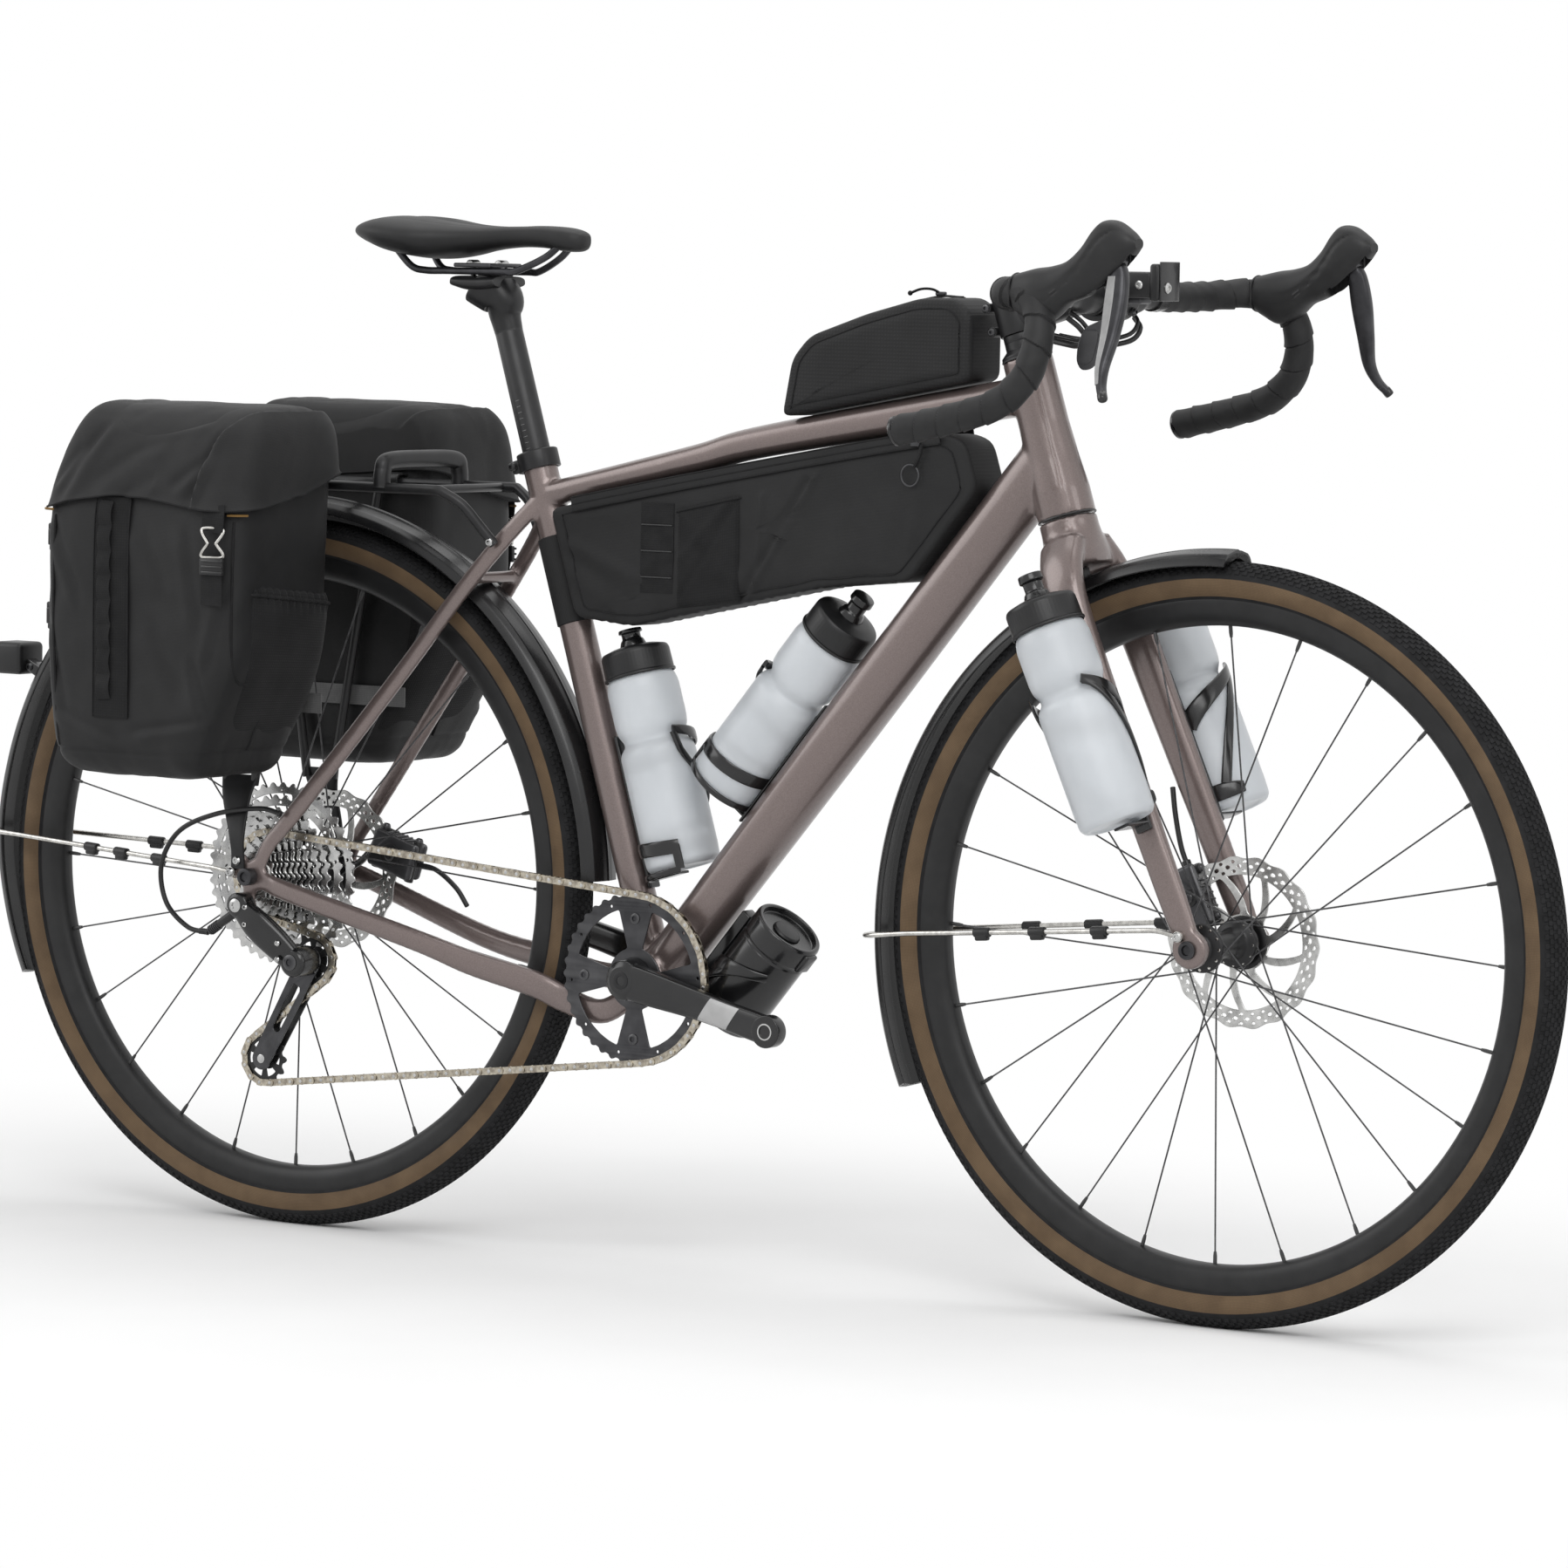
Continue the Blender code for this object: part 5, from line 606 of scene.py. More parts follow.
def finish_material(name):
    """The named material, made once: mottled colour, uneven roughness, fine grain and, on cloth, a weave."""
    found = bpy.data.materials.get(name)
    if found:
        return found
    spec = LOOKS[name]
    settings = bpy.context.scene.gravel_bike
    colour = {
        "frame paint": settings.paint, "tan sidewall": settings.sidewall, "frosted plastic": settings.bottle,
        "bag fabric": settings.fabric,
    }.get(name, spec["colour"])
    material = bpy.data.materials.new(name)
    material.use_nodes = True
    tree = material.node_tree
    shader = tree.nodes["Principled BSDF"]
    shader.inputs["Metallic"].default_value = spec["metal"]
    shader.inputs["Specular IOR Level"].default_value = spec["specular"]
    shader.inputs["Coat Weight"].default_value = spec["coat"]
    shader.inputs["Coat Roughness"].default_value = 0.12
    shader.inputs["Sheen Weight"].default_value = spec["sheen"]
    shader.inputs["Sheen Roughness"].default_value = 0.4
    shader.inputs["Subsurface Weight"].default_value = spec["scatter"]
    shader.inputs["Subsurface Radius"].default_value = (0.012, 0.012, 0.012)
    shader.inputs["Subsurface Scale"].default_value = 1.0
    shader.inputs["Transmission Weight"].default_value = spec["through"]
    material.diffuse_color = (*tuple(colour)[:3], 1.0)

    def node(kind, inputs=None, **values):
        made = tree.nodes.new(kind)
        for key, value in values.items():
            setattr(made, key, value)
        for key, value in (inputs or {}).items():
            if isinstance(value, bpy.types.NodeSocket):
                tree.links.new(value, made.inputs[key])
            else:
                made.inputs[key].default_value = value
        return made

    where = node("ShaderNodeTexCoord")
    spread = node("ShaderNodeMapping", {"Vector": where.outputs["Object"]}).outputs[0]
    mottle = node("ShaderNodeTexNoise", {"Vector": spread, "Scale": spec["mottle"], "Detail": 3.0})
    share = node(
        "ShaderNodeMapRange", {"Value": mottle.outputs["Fac"], "From Min": 0.35, "From Max": 0.65}).outputs[0]
    mix = node("ShaderNodeMix", data_type="RGBA")
    tree.links.new(share, mix.inputs["Factor"])
    mix.inputs[6].default_value = (*tuple(colour)[:3], 1.0)
    mix.inputs[7].default_value = (*spec["other"], 1.0)
    base = mix.outputs[2]
    if spec["wear"]:
        edge = node("ShaderNodeNewGeometry").outputs["Pointiness"]
        worn = node(
            "ShaderNodeMapRange", {"Value": edge, "From Min": 0.53, "From Max": 0.62, "To Max": spec["wear"]})
        rub = node("ShaderNodeMix", data_type="RGBA")
        tree.links.new(worn.outputs[0], rub.inputs["Factor"])
        tree.links.new(base, rub.inputs[6])
        rub.inputs[7].default_value = (0.3, 0.3, 0.3, 1.0)
        base = rub.outputs[2]
    low, high = max(0.02, spec["rough"] - spec["swing"]), spec["rough"] + spec["swing"]
    smudge = node("ShaderNodeTexNoise", {"Vector": spread, "Scale": spec["mottle"] * 0.6, "Detail": 5.0})
    rough = node("ShaderNodeMapRange", {"Value": smudge.outputs["Fac"], "To Min": low, "To Max": high})
    tree.links.new(rough.outputs[0], shader.inputs["Roughness"])
    grain = node("ShaderNodeTexNoise", {"Vector": spread, "Scale": spec["grain"], "Detail": 2.0})
    bump = node(
        "ShaderNodeBump", {"Height": grain.outputs["Fac"], "Strength": 0.6, "Distance": spec["depth"]})
    if spec["weave"]:
        scale = 0.31416 / spec["weave"]
        threads = [
            node(
                "ShaderNodeTexWave", {"Vector": where.outputs["UV"], "Scale": scale}, bands_direction=way
            ).outputs["Fac"] for way in ("X", "Y")]
        cloth = node("ShaderNodeMath", {0: threads[0], 1: threads[1]}, operation="MULTIPLY").outputs[0]
        woven = {"Height": cloth, "Strength": 0.5, "Distance": spec["depth"] * 2.0, "Normal": bump.outputs[0]}
        bump = node("ShaderNodeBump", woven)
        shade = node("ShaderNodeMapRange", {"Value": cloth, "To Min": 0.8, "To Max": 1.25}).outputs[0]
        tint = node("ShaderNodeVectorMath", {0: base, "Scale": shade}, operation="SCALE")
        base = tint.outputs[0]
    tree.links.new(base, shader.inputs["Base Color"])
    tree.links.new(bump.outputs[0], shader.inputs["Normal"])
    return material


# Wheels
def tyre(axle):
    """The casing's section is an ellipse open at the rim; its knobs stand along its crown in staggered
    rows."""
    turn = np.radians(np.linspace(-128.0, 128.0, 65))
    outside = np.stack([0.3315 + 0.019 * np.cos(turn), 0.02 * np.sin(turn)], 1)
    outside[:, 0] = np.maximum(outside[:, 0], 0.3165)
    outside = np.concatenate([[[0.3125, -0.0118]], outside, [[0.3125, 0.0118]]])
    turn = np.radians(np.linspace(118.0, -118.0, 25))
    inside = np.stack([0.331 + 0.0165 * np.cos(turn), 0.0172 * np.sin(turn)], 1)
    inside = np.concatenate([[[0.3125, 0.009]], inside, [[0.3125, -0.009]]])
    profile = np.concatenate([outside, inside])
    middle = (profile[:, 0] + np.roll(profile[:, 0], -1)) / 2.0
    names = np.where(
        middle > 0.3362, "tread rubber", np.where(middle > 0.3186, "tan sidewall", "tread rubber"))
    finish = np.array([number_of(str(name)) for name in names])[:, None]
    angle = 2.0 * math.pi * np.arange(180) / 180
    out = np.stack([np.cos(angle), np.zeros(180), np.sin(angle)], 1)
    points = axle + profile[:, None, :1] * out[None] + profile[:, None, 1:] * SIDE
    forms = [grid(points, along=True, finish=finish)]
    a, b, c = 0.0029, 0.0021, 0.0011
    signs = np.array([(-1, -1), (1, -1), (1, 1), (-1, 1)])
    low = np.concatenate([signs * (a, b), np.full((4, 1), -0.0008)], 1)
    high = np.concatenate([signs * (a * 0.78, b * 0.74), np.full((4, 1), c)], 1)
    knob = grid(np.stack([low, high]), poles=("flat", "flat"), finish="tread rubber")
    for row, degrees in enumerate((-56.0, -44.0, -33.0, -22.0, -11.0, 0.0, 11.0, 22.0, 33.0, 44.0, 56.0)):
        lean = math.radians(degrees)
        count = 264
        angle = 2.0 * math.pi * (np.arange(count) + 0.5 * (row % 2)) / count
        out = np.stack([np.cos(angle), np.zeros(count), np.sin(angle)], 1)
        ahead = np.stack([-np.sin(angle), np.zeros(count), np.cos(angle)], 1)
        outward = out * math.cos(lean) + SIDE * math.sin(lean)
        across = np.cross(outward, ahead)
        where = axle + out * (0.3315 + 0.019 * math.cos(lean)) + SIDE * 0.02 * math.sin(lean)
        forms.append(knob.placed(matrices_from(where, ahead, across, outward)))
    return forms


def rim(axle):
    """Half the section runs from the tyre's edge down the bulged flank to the spoke face; the other is
    its mirror."""
    half = [
        (0.312, 0.0112), (0.315, 0.0116), (0.3178, 0.0126), (0.3172, 0.0142), (0.312, 0.0146),
        (0.304, 0.0138), (0.2975, 0.011), (0.2936, 0.0062), (0.2926, 0.0)]
    outer = flow(half, 30)
    other = outer[-2::-1] * [1.0, -1.0]
    well = np.array([(0.308, -0.009), (0.3068, 0.0), (0.308, 0.009)])
    return [turned(np.concatenate([outer, other, well]), SIDE, axle, 180, ring=True, finish="rim black")]


def spokes(axle, flanges):
    """Three-cross lacing: every spoke leaves its flange at an angle from the place on the rim that it
    runs to."""
    each = SPOKES // 2
    lead = 2.0 * math.pi * 6.0 / each * 0.9
    forms = []
    for flange in flanges:
        k = np.arange(each)
        sense = np.where(k % 2 == 0, 1.0, -1.0)
        rim_angle = 2.0 * math.pi * (k + (0.5 if flange < 0.0 else 0.0)) / each
        hub_angle = rim_angle + sense * lead / 2.0
        start = axle + 0.0195 * np.stack([np.cos(hub_angle), 0.0 * k, np.sin(hub_angle)], 1)
        end = axle + 0.295 * np.stack([np.cos(rim_angle), 0.0 * k, np.sin(rim_angle)], 1)
        start[:, 1] += flange + sense * 0.0016
        end[:, 1] += math.copysign(0.0028, flange) + sense * 0.0012
        way = unit(end - start)
        across = unit(np.cross(way, SIDE))
        long = np.linalg.norm(end - start, axis=1)
        shaft = rod((0, 0, 0), (0, 0, 1), 0.00085, 8, 0.0001, "spoke black")
        stack = matrices_from(start, across, np.cross(way, across), way)
        stack[:, :3, 2] *= long[:, None]
        forms.append(shaft.placed(stack))
        profile = [(0.0, -0.013), (0.0014, -0.013), (0.0019, -0.009), (0.0019, 0.0015), (0.0, 0.002)]
        nipple = turned(profile, UP, np.zeros(3), 8, finish="black metal")
        forms.append(nipple.placed(matrices_from(end, across, np.cross(way, across), way)))
    return forms


def hub(axle, profile, flanges):
    """The hub's shell turned from its profile with eased corners, with holes' rims on its flanges, and
    its spokes."""
    shell = turned(eased(profile, 0.0018, 3, True), SIDE, axle, 64, ring=True, finish="black metal")
    forms = [shell]
    for flange in flanges:
        turn = 2.0 * math.pi * np.arange(SPOKES // 2) / (SPOKES // 2)
        where = axle + 0.0195 * np.stack([np.cos(turn), 0.0 * turn, np.sin(turn)], 1) + SIDE * flange
        head = rod((0, -0.0036, 0), (0, 0.0036, 0), 0.0016, 8, 0.0004, "steel wire")
        forms.append(head.placed(matrices_from(where, FORWARD, SIDE, UP)))
    return forms + spokes(axle, flanges)


def rotor(axle, side):
    """A wavy braking ring with rows of slots, on curved arms from a dark carrier."""
    centre = axle[[0, 2]]

    def ringed(radius, angle):
        return centre + np.stack([radius * np.cos(angle), radius * np.sin(angle)], -1)

    full = 2.0 * math.pi * np.arange(288) / 288
    outline = ringed(0.0788 + 0.0012 * np.cos(18 * full), full)
    holes = [ringed(np.full(48, 0.0175), 2.0 * math.pi * np.arange(48) / 48)]
    arms = 9
    for k in range(arms):
        turn = 2.0 * math.pi * k / arms
        reach = np.concatenate(
            [np.full(8, 0.0625), np.linspace(0.06, 0.029, 7), np.full(5, 0.0265), np.linspace(0.029, 0.06, 7)]
        )
        wide = 0.285 * np.concatenate(
            [
                np.linspace(-1, 1, 8), np.linspace(1.03, 0.8, 7), np.linspace(0.55, -0.55, 5),
                np.linspace(-0.8, -1.03, 7)])
        holes.append(ringed(reach, turn + wide + (reach - 0.045) * 11.0))
    for row, (radius, count, size) in enumerate(
            ((0.066, 36, 0.0014), (0.0705, 36, 0.0018), (0.0748, 36, 0.0014))):
        for k in range(count):
            turn = 2.0 * math.pi * (k + 0.5 * (row % 2)) / count
            loop = 2.0 * math.pi * np.arange(8) / 8
            along = ringed(radius, turn) - centre
            tangent = np.array([-along[1], along[0]]) / radius
            hole = centre + along + np.outer(np.cos(loop) * size * 1.5, tangent) + np.outer(
                np.sin(loop) * size, along / radius)
            holes.append(hole)
    forms = [cut_plate(outline, 0.0018, side, holes, 0.0003, "rotor steel")]
    collar = [
        (0.0172, 0.0022), (0.0215, 0.0022), (0.025, 0.0014), (0.025, -0.0014), (0.0215, -0.0022),
        (0.0172, -0.0022)]
    forms.append(
        turned(eased(collar, 0.0005, 2, True), SIDE, axle + SIDE * side, 48, ring=True, finish="black metal"))
    return forms


def make_wheels():
    front_profile = [
        (0.0066, 0.0497), (0.01, 0.0497), (0.0108, 0.044), (0.016, 0.043), (0.016, 0.0285), (0.0225, 0.0282),
        (0.0225, 0.0228), (0.015, 0.02), (0.0122, 0.012), (0.0118, -0.02), (0.015, -0.031), (0.0225, -0.0333),
        (0.0225, -0.0387), (0.012, -0.041), (0.01, -0.044), (0.01, -0.0497), (0.0066, -0.0497),]
    rear_profile = [
        (0.0066, 0.0707), (0.01, 0.0707), (0.0108, 0.0602), (0.016, 0.0592), (0.016, 0.0375),
        (0.0225, 0.0372), (0.0225, 0.0318), (0.0155, 0.029), (0.0132, 0.02), (0.0132, -0.01),
        (0.0155, -0.0165), (0.0225, -0.0188), (0.0225, -0.0242), (0.016, -0.0252), (0.016, -0.0675),
        (0.01, -0.0685), (0.01, -0.0707), (0.0066, -0.0707),]
    rows = (
        ("front", FRONT_AXLE, front_profile, (0.0255, -0.036), 0.0396),
        ("rear", REAR_AXLE, rear_profile, (0.0345, -0.0215), 0.0557),
    )
    for label, axle, profile, flanges, disc in rows:
        body = label + "_wheel"
        piece(label + "_tyre_skin", tyre(axle), body, [label + "_tyre"], 50.0)
        piece(label + "_rim_skin", rim(axle), body, [label + "_rim"])
        piece(label + "_hub_skin", hub(axle, profile, flanges), body, [label + "_hub"])
        piece(label + "_rotor_skin", rotor(axle, disc), body, [label + "_rotor"])


# Frame, fork and axles
def stays(side):
    """A chainstay and a seatstay, each turned so that its half width lies along the bike's side."""
    ends = [((-0.4381, 0.072), 0.0748, 0.0033, 0.01), ((-0.42, 0.0663), 0.0748, 0.0033, 0.01),
            ((-0.392, 0.0577), 0.0722, 0.006, 0.0104)]
    right = [((-0.25, 0.02), 0.057, 0.008, 0.0108), ((-0.19, 0.002), 0.0495, 0.008, 0.0124),
             ((-0.1208, -0.014), 0.0405, 0.008, 0.0134), ((-0.0895, -0.027), 0.0345, 0.0068, 0.0132),
             ((-0.0487, -0.036), 0.0335, 0.007, 0.0122), ((-0.024, -0.0235), 0.0264, 0.0068, 0.0116),
             ((-0.002, -0.009), 0.0262, 0.007, 0.0112)]
    left = [((-0.25, 0.016), 0.057, 0.008, 0.0113), ((-0.16, 0.001), 0.0465, 0.008, 0.0124),
            ((-0.09, -0.009), 0.0365, 0.008, 0.0124), ((-0.024, -0.0067), 0.0264, 0.0068, 0.0116),
            ((-0.002, -0.006), 0.0262, 0.007, 0.0112)]
    chain = [
        (from_bracket(*at, side * out), wide, high, 2.4) for at, out, wide,
        high in ends + (right if side < 0 else left)]
    upper = [((-0.4321, 0.08), 0.0748, 0.0033, 0.0085), ((-0.42, 0.104), 0.0735, 0.0036, 0.0085),
             ((-0.386, 0.146), 0.0665, 0.005, 0.0092), ((-0.282, 0.2765), 0.049, 0.0058, 0.009),
             ((-0.217, 0.361), 0.0385, 0.0058, 0.0088), ((-0.179, 0.4085), 0.0285, 0.0058, 0.009),
             ((-0.15, 0.445), 0.014, 0.0054, 0.009), ((-0.14, 0.454), 0.007, 0.0048, 0.009)]
    seat = [(from_bracket(*at, side * out), wide, high, 2.2) for at, out, wide, high in upper]
    return [sided(curved, count) for curved, count in ((chain, 60), (seat, 60))]


def sided(rows, count, sides=24, finish="frame paint"):
    """A tube whose half width lies along Y and whose half height lies in the bike's middle plane."""
    rows = flow([[*point, wide, high, square] for point, wide, high, square in rows], count)
    way = unit(np.gradient(rows[:, :3], axis=0))
    rise = unit(np.cross(way, SIDE))
    across = np.cross(rise, way)
    c, s = oval(sides, rows[:, 5:6])
    wide = across[:, None] * (rows[:, 3:4] * c)[..., None]
    points = rows[:, None, :3] + wide + rise[:, None] * (rows[:, 4:5] * s)[..., None]
    return grid(points, poles=("flat", "flat"), finish=finish)


def make_frame():
    """Each tube is a superellipse carried along its line; one skin is then grown over all of them."""
    down = sided(
        [
            (from_bracket(0.0, 0.0), 0.03, 0.0225, 2.2), (from_bracket(0.055, 0.0663), 0.029, 0.024, 2.3),
            (from_bracket(0.21, 0.2532), 0.0265, 0.0265, 2.5),
            (from_bracket(0.4254, 0.5129), 0.0225, 0.0275, 2.3)],
        40)
    top = sided(
        [
            (from_bracket(-0.144, 0.4565), 0.016, 0.012, 2.3),
            (from_bracket(0.0308, 0.4968), 0.0195, 0.014, 2.5),
            (from_bracket(0.1101, 0.517), 0.0205, 0.0152, 2.6),
            (from_bracket(0.352, 0.5598), 0.022, 0.018, 2.5), (from_bracket(0.407, 0.569), 0.022, 0.018, 2.3)
        ], 40)
    head = turned(
        [
            (0.0, 0.154), (0.0235, 0.154), (0.0235, 0.09), (0.025, 0.055), (0.0275, 0.025), (0.0275, 0.0),
            (0.0, 0.0)],
        STEER_UP, HEAD_FOOT, 48, finish="frame paint")
    seat_tube = rod(on_seat_tube(0.0, 0.0), on_seat_tube(0.512, 0.0), 0.0168, 40, finish="frame paint")
    shell = rod(BRACKET - SIDE * 0.034, BRACKET + SIDE * 0.034, 0.0235, 48, finish="frame paint")
    turn = 2.3 + 4.0 * 12.53
    bridge = rod(
        polar(REAR_AXLE, 0.3818, turn, -0.038), polar(REAR_AXLE, 0.3818, turn, 0.038), 0.006, 24,
        finish="frame paint")
    forms = [down, top, head, seat_tube, shell, bridge]
    for side in (-1.0, 1.0):
        forms += stays(side)
        middle = side * DROPOUT_MIDDLE
        for ahead, rise, radius in ((0.0, 0.0, 0.016), (-0.0145, 0.015, 0.0075), (-0.0215, 0.0035, 0.0072)):
            centre = from_axle(REAR_AXLE, ahead, rise, middle)
            forms.append(
                rod(centre - SIDE * 0.0035, centre + SIDE * 0.0035, radius, 36, finish="frame paint"))
    eye = from_axle(REAR_AXLE, -0.006, -0.028, -DROPOUT_MIDDLE)
    forms.append(rod(eye - SIDE * 0.0033, eye + SIDE * 0.0033, 0.01, 32, finish="frame paint"))
    forms.append(block(from_axle(REAR_AXLE, -0.003, -0.014, -DROPOUT_MIDDLE), (0.03, 0.0066, 0.015),
                       (-0.006, 0.0, -0.028), finish="frame paint"))
    size = bpy.context.scene.gravel_bike.weld
    welded("frame_skin", forms, "frame", ["main_frame"], size, 7, "frame paint")
    fittings = []
    for along in (0.122, 0.186):
        fittings.append(bolt(on_seat_tube(along, 0.0172), SEAT_AHEAD, 0.003))
    for along in (0.217, 0.281):
        fittings.append(bolt(on_down_tube(along, 0.0262), TUBE_BACK, 0.003))
    for rise in (0.112, 0.03):
        fittings.append(
            rod(
                on_steerer(rise, 0.0, 0.0232), on_steerer(rise, 0.0, 0.0262), 0.0035, 20,
                finish="black plastic"))
    for height, radius in ((0.1536, 0.0237), (0.0006, 0.0276)):
        profile = [(radius, 0.0008), (radius + 0.0004, 0.0), (radius, -0.0008), (radius - 0.003, 0.0)]
        fittings.append(
            turned(profile, STEER_UP, on_steerer(height, 0.0), 48, ring=True, finish="black metal"))
    piece("frame_fittings", fittings, "frame")
    collar = eased(
        [
            (0.0193, 0.009), (0.0203, 0.008), (0.0203, -0.009), (0.0171, -0.009), (0.0171, 0.0003),
            (0.0139, 0.0003), (0.0139, 0.009)],
        0.0008, 3, True)
    clamp = [turned(collar, SEAT_UP, on_seat_tube(0.512, 0.0), 48, ring=True, finish="black metal")]
    for side in (-1.0, 1.0):
        clamp.append(
            block(
                on_seat_tube(0.5115, -0.0235, side * 0.0045), (0.013, 0.006, 0.01), SEAT_UP,
                finish="black metal"))
    clamp.append(
        rod(
            on_seat_tube(0.512, -0.0243, -0.0125), on_seat_tube(0.512, -0.0243, 0.0125), 0.003, 20,
            finish="bright metal"))
    clamp.append(bolt(on_seat_tube(0.512, -0.0243, -0.0115), -SIDE, 0.0042, 0.003))
    piece("seat_clamp_skin", clamp, "frame", ["seat_clamp"])
    cup = eased([(0.022, 0.0383), (0.0222, 0.0343), (0.0192, 0.0343), (0.0192, -0.0343), (0.0222, -0.0343),
                 (0.022, -0.0383), (0.0151, -0.0383), (0.0151, 0.0383)], 0.0006, 2, True)
    piece(
        "bottom_bracket_skin", [turned(cup, SIDE, BRACKET, 56, ring=True, finish="black metal")], "frame",
        ["bottom_bracket"])
    for name, axle, face, reach, body in (
        ("rear_thru_axle", REAR_AXLE, DROPOUT_FACE, 0.012, "frame"),
        ("front_thru_axle", FRONT_AXLE, FORK_TIP_FACE, 0.0035, "steering"),
    ):
        profile = [
            (0.0, face + 0.0015), (0.0042, face + 0.0015), (0.0048, face + 0.0035), (0.0085, face + 0.0032),
            (0.0085, face + 0.0003), (0.006, face + 0.0003), (0.006, -face - 0.0003),
            (0.0085, -face - 0.0003), (0.0085, -face - reach + 0.0006), (0.0048, -face - reach),
            (0.0042, -face - reach + 0.003), (0.0, -face - reach + 0.003)]
        piece(name + "_skin", [turned(eased(profile, 0.0005, 2), SIDE, axle, 40, finish="satin metal")], body,
              [name])


def make_fork():
    """Each blade is a superellipse carried from the tip up into the crown; one skin is grown over blades
    and crown."""
    forms = []
    for side in (-1.0, 1.0):
        run = [
            (0.0, 0.0057, 0.012), (0.04, 0.0075, 0.014), (0.12, 0.0088, 0.015), (0.23, 0.01, 0.0168),
            (0.33, 0.0112, 0.019)]
        rows = [
            (on_blade(rise, side * (0.0565 - 0.0065 * rise / 0.335)), wide, deep, 2.4) for rise, wide,
            deep in run]
        rows += [
            (on_steerer(-0.052, 0.004, side * 0.04), 0.0118, 0.0222, 2.4),
            (on_steerer(-0.026, 0.001, side * 0.022), 0.012, 0.024, 2.4)]
        forms.append(sided(rows, 70))
        middle = FRONT_AXLE + SIDE * side * 0.0563
        forms.append(rod(middle - SIDE * 0.006, middle + SIDE * 0.006, 0.0175, 44, finish="frame paint"))
    rows = flow(
        [
            (-0.0012, 0.0, 0.0272, 0.0272, 2.0), (-0.016, 0.0, 0.0272, 0.029, 2.0),
            (-0.036, 0.001, 0.0262, 0.037, 2.4), (-0.0485, 0.002, 0.0235, 0.037, 2.6)],
        20)
    c, s = oval(48, rows[:, 4:5])
    centre = HEAD_FOOT + STEER_UP * rows[:, :1] + STEER_AHEAD * rows[:, 1:2]
    points = centre[:, None] + STEER_AHEAD * (
        rows[:, 2:3] * c)[..., None] + SIDE * (rows[:, 3:4] * s)[..., None]
    forms.append(grid(points, poles=("flat", "flat"), finish="frame paint"))
    size = bpy.context.scene.gravel_bike.weld
    welded("fork_skin", forms, "steering", ["fork"], size, 7, "frame paint")
    extras = [rod(on_steerer(0.02, 0.0), on_steerer(0.214, 0.0), 0.0143, 32, finish="black metal")]
    for side in (-1.0, 1.0):
        tip = from_axle(FRONT_AXLE, -0.0085, 0.011, side * 0.0622)
        extras.append(bolt(tip, SIDE * side, 0.0042, 0.0026, "bright metal"))
    extras.append(bolt(on_blade(0.11, 0.0652, -0.002), SIDE, 0.0028))
    piece("fork_fittings", extras, "steering")
    profile = [
        (0.0145, 0.1761), (0.0175, 0.1761), (0.0175, 0.17), (0.0171, 0.1696), (0.0175, 0.1692),
        (0.0175, 0.1626), (0.0232, 0.1572), (0.0235, 0.1545), (0.0146, 0.1545)]
    piece(
        "headset_skin",
        [turned(eased(profile, 0.0005, 2, True), STEER_UP, HEAD_FOOT, 56, ring=True, finish="black metal")],
        "steering", ["headset_spacers"])


# Cockpit
def bar_line(side, count=200):
    """The bar's middle line on one side, out along the top, round the bend and down the drop."""
    bend = [
        (0.0, 0.0, 0.085), (0.0, 0.0, 0.14), (0.004, 0.001, 0.18), (0.023, 0.004, 0.211),
        (0.049, 0.002, 0.221), (0.066, -0.015, 0.228), (0.07, -0.042, 0.2365), (0.061, -0.072, 0.242),
        (0.035, -0.095, 0.245), (-0.006, -0.1085, 0.2475), (-0.065, -0.122, 0.251)]
    return evenly(flow([from_bar(x, z, side * y) for x, z, y in bend], 160), count)


BAR_HELPER = unit([0.45, 0.25, 0.86])


def wrapped(side):
    """Tape round the bar: the radius rises over each turn of a helix and drops where the next turn
    overlaps it."""
    path = bar_line(side, 520)
    helper = BAR_HELPER * [1.0, side, 1.0]
    way, across, rise = frames_along(path, helper)
    length = np.concatenate([[0.0], np.cumsum(np.linalg.norm(np.diff(path, axis=0), axis=1))])[:, None]
    turn = 2.0 * math.pi * np.arange(36)[None] / 36
    phase = np.mod(length / 0.0235 + side * turn / (2.0 * math.pi), 1.0)
    ridge = 0.0013 * phase**1.6 - 0.0007 * np.exp(-(((phase - 0.03) / 0.035) ** 2))
    radius = 0.0133 + ridge + 0.00012 * np.sin(length * 310.0 + turn * 3.0)
    radius = radius * np.clip(0.94 + length / 0.12, 0.0, 1.0)
    points = path[:, None] + across[:, None] * (
        radius * np.cos(turn))[..., None] + rise[:, None] * (radius * np.sin(turn))[..., None]
    forms = [grid(points, poles=("flat", "flat"), finish="bar tape")]
    start = path[0]
    forms.append(
        tube(
            np.linspace(start - way[0] * 0.006, start + way[0] * 0.01, 6), 0.0137, helper, 32, 0.0008,
            finish="gloss plastic"))
    end = path[-1]
    plug = [
        (0.0, 0.0065), (0.006, 0.0058), (0.0108, 0.0038), (0.0136, 0.0012), (0.0138, -0.0012),
        (0.012, -0.0025), (0.0, -0.0025)]
    forms.append(turned(plug, way[-1], end + way[-1] * 0.0018, 32, finish="gloss plastic"))
    return forms


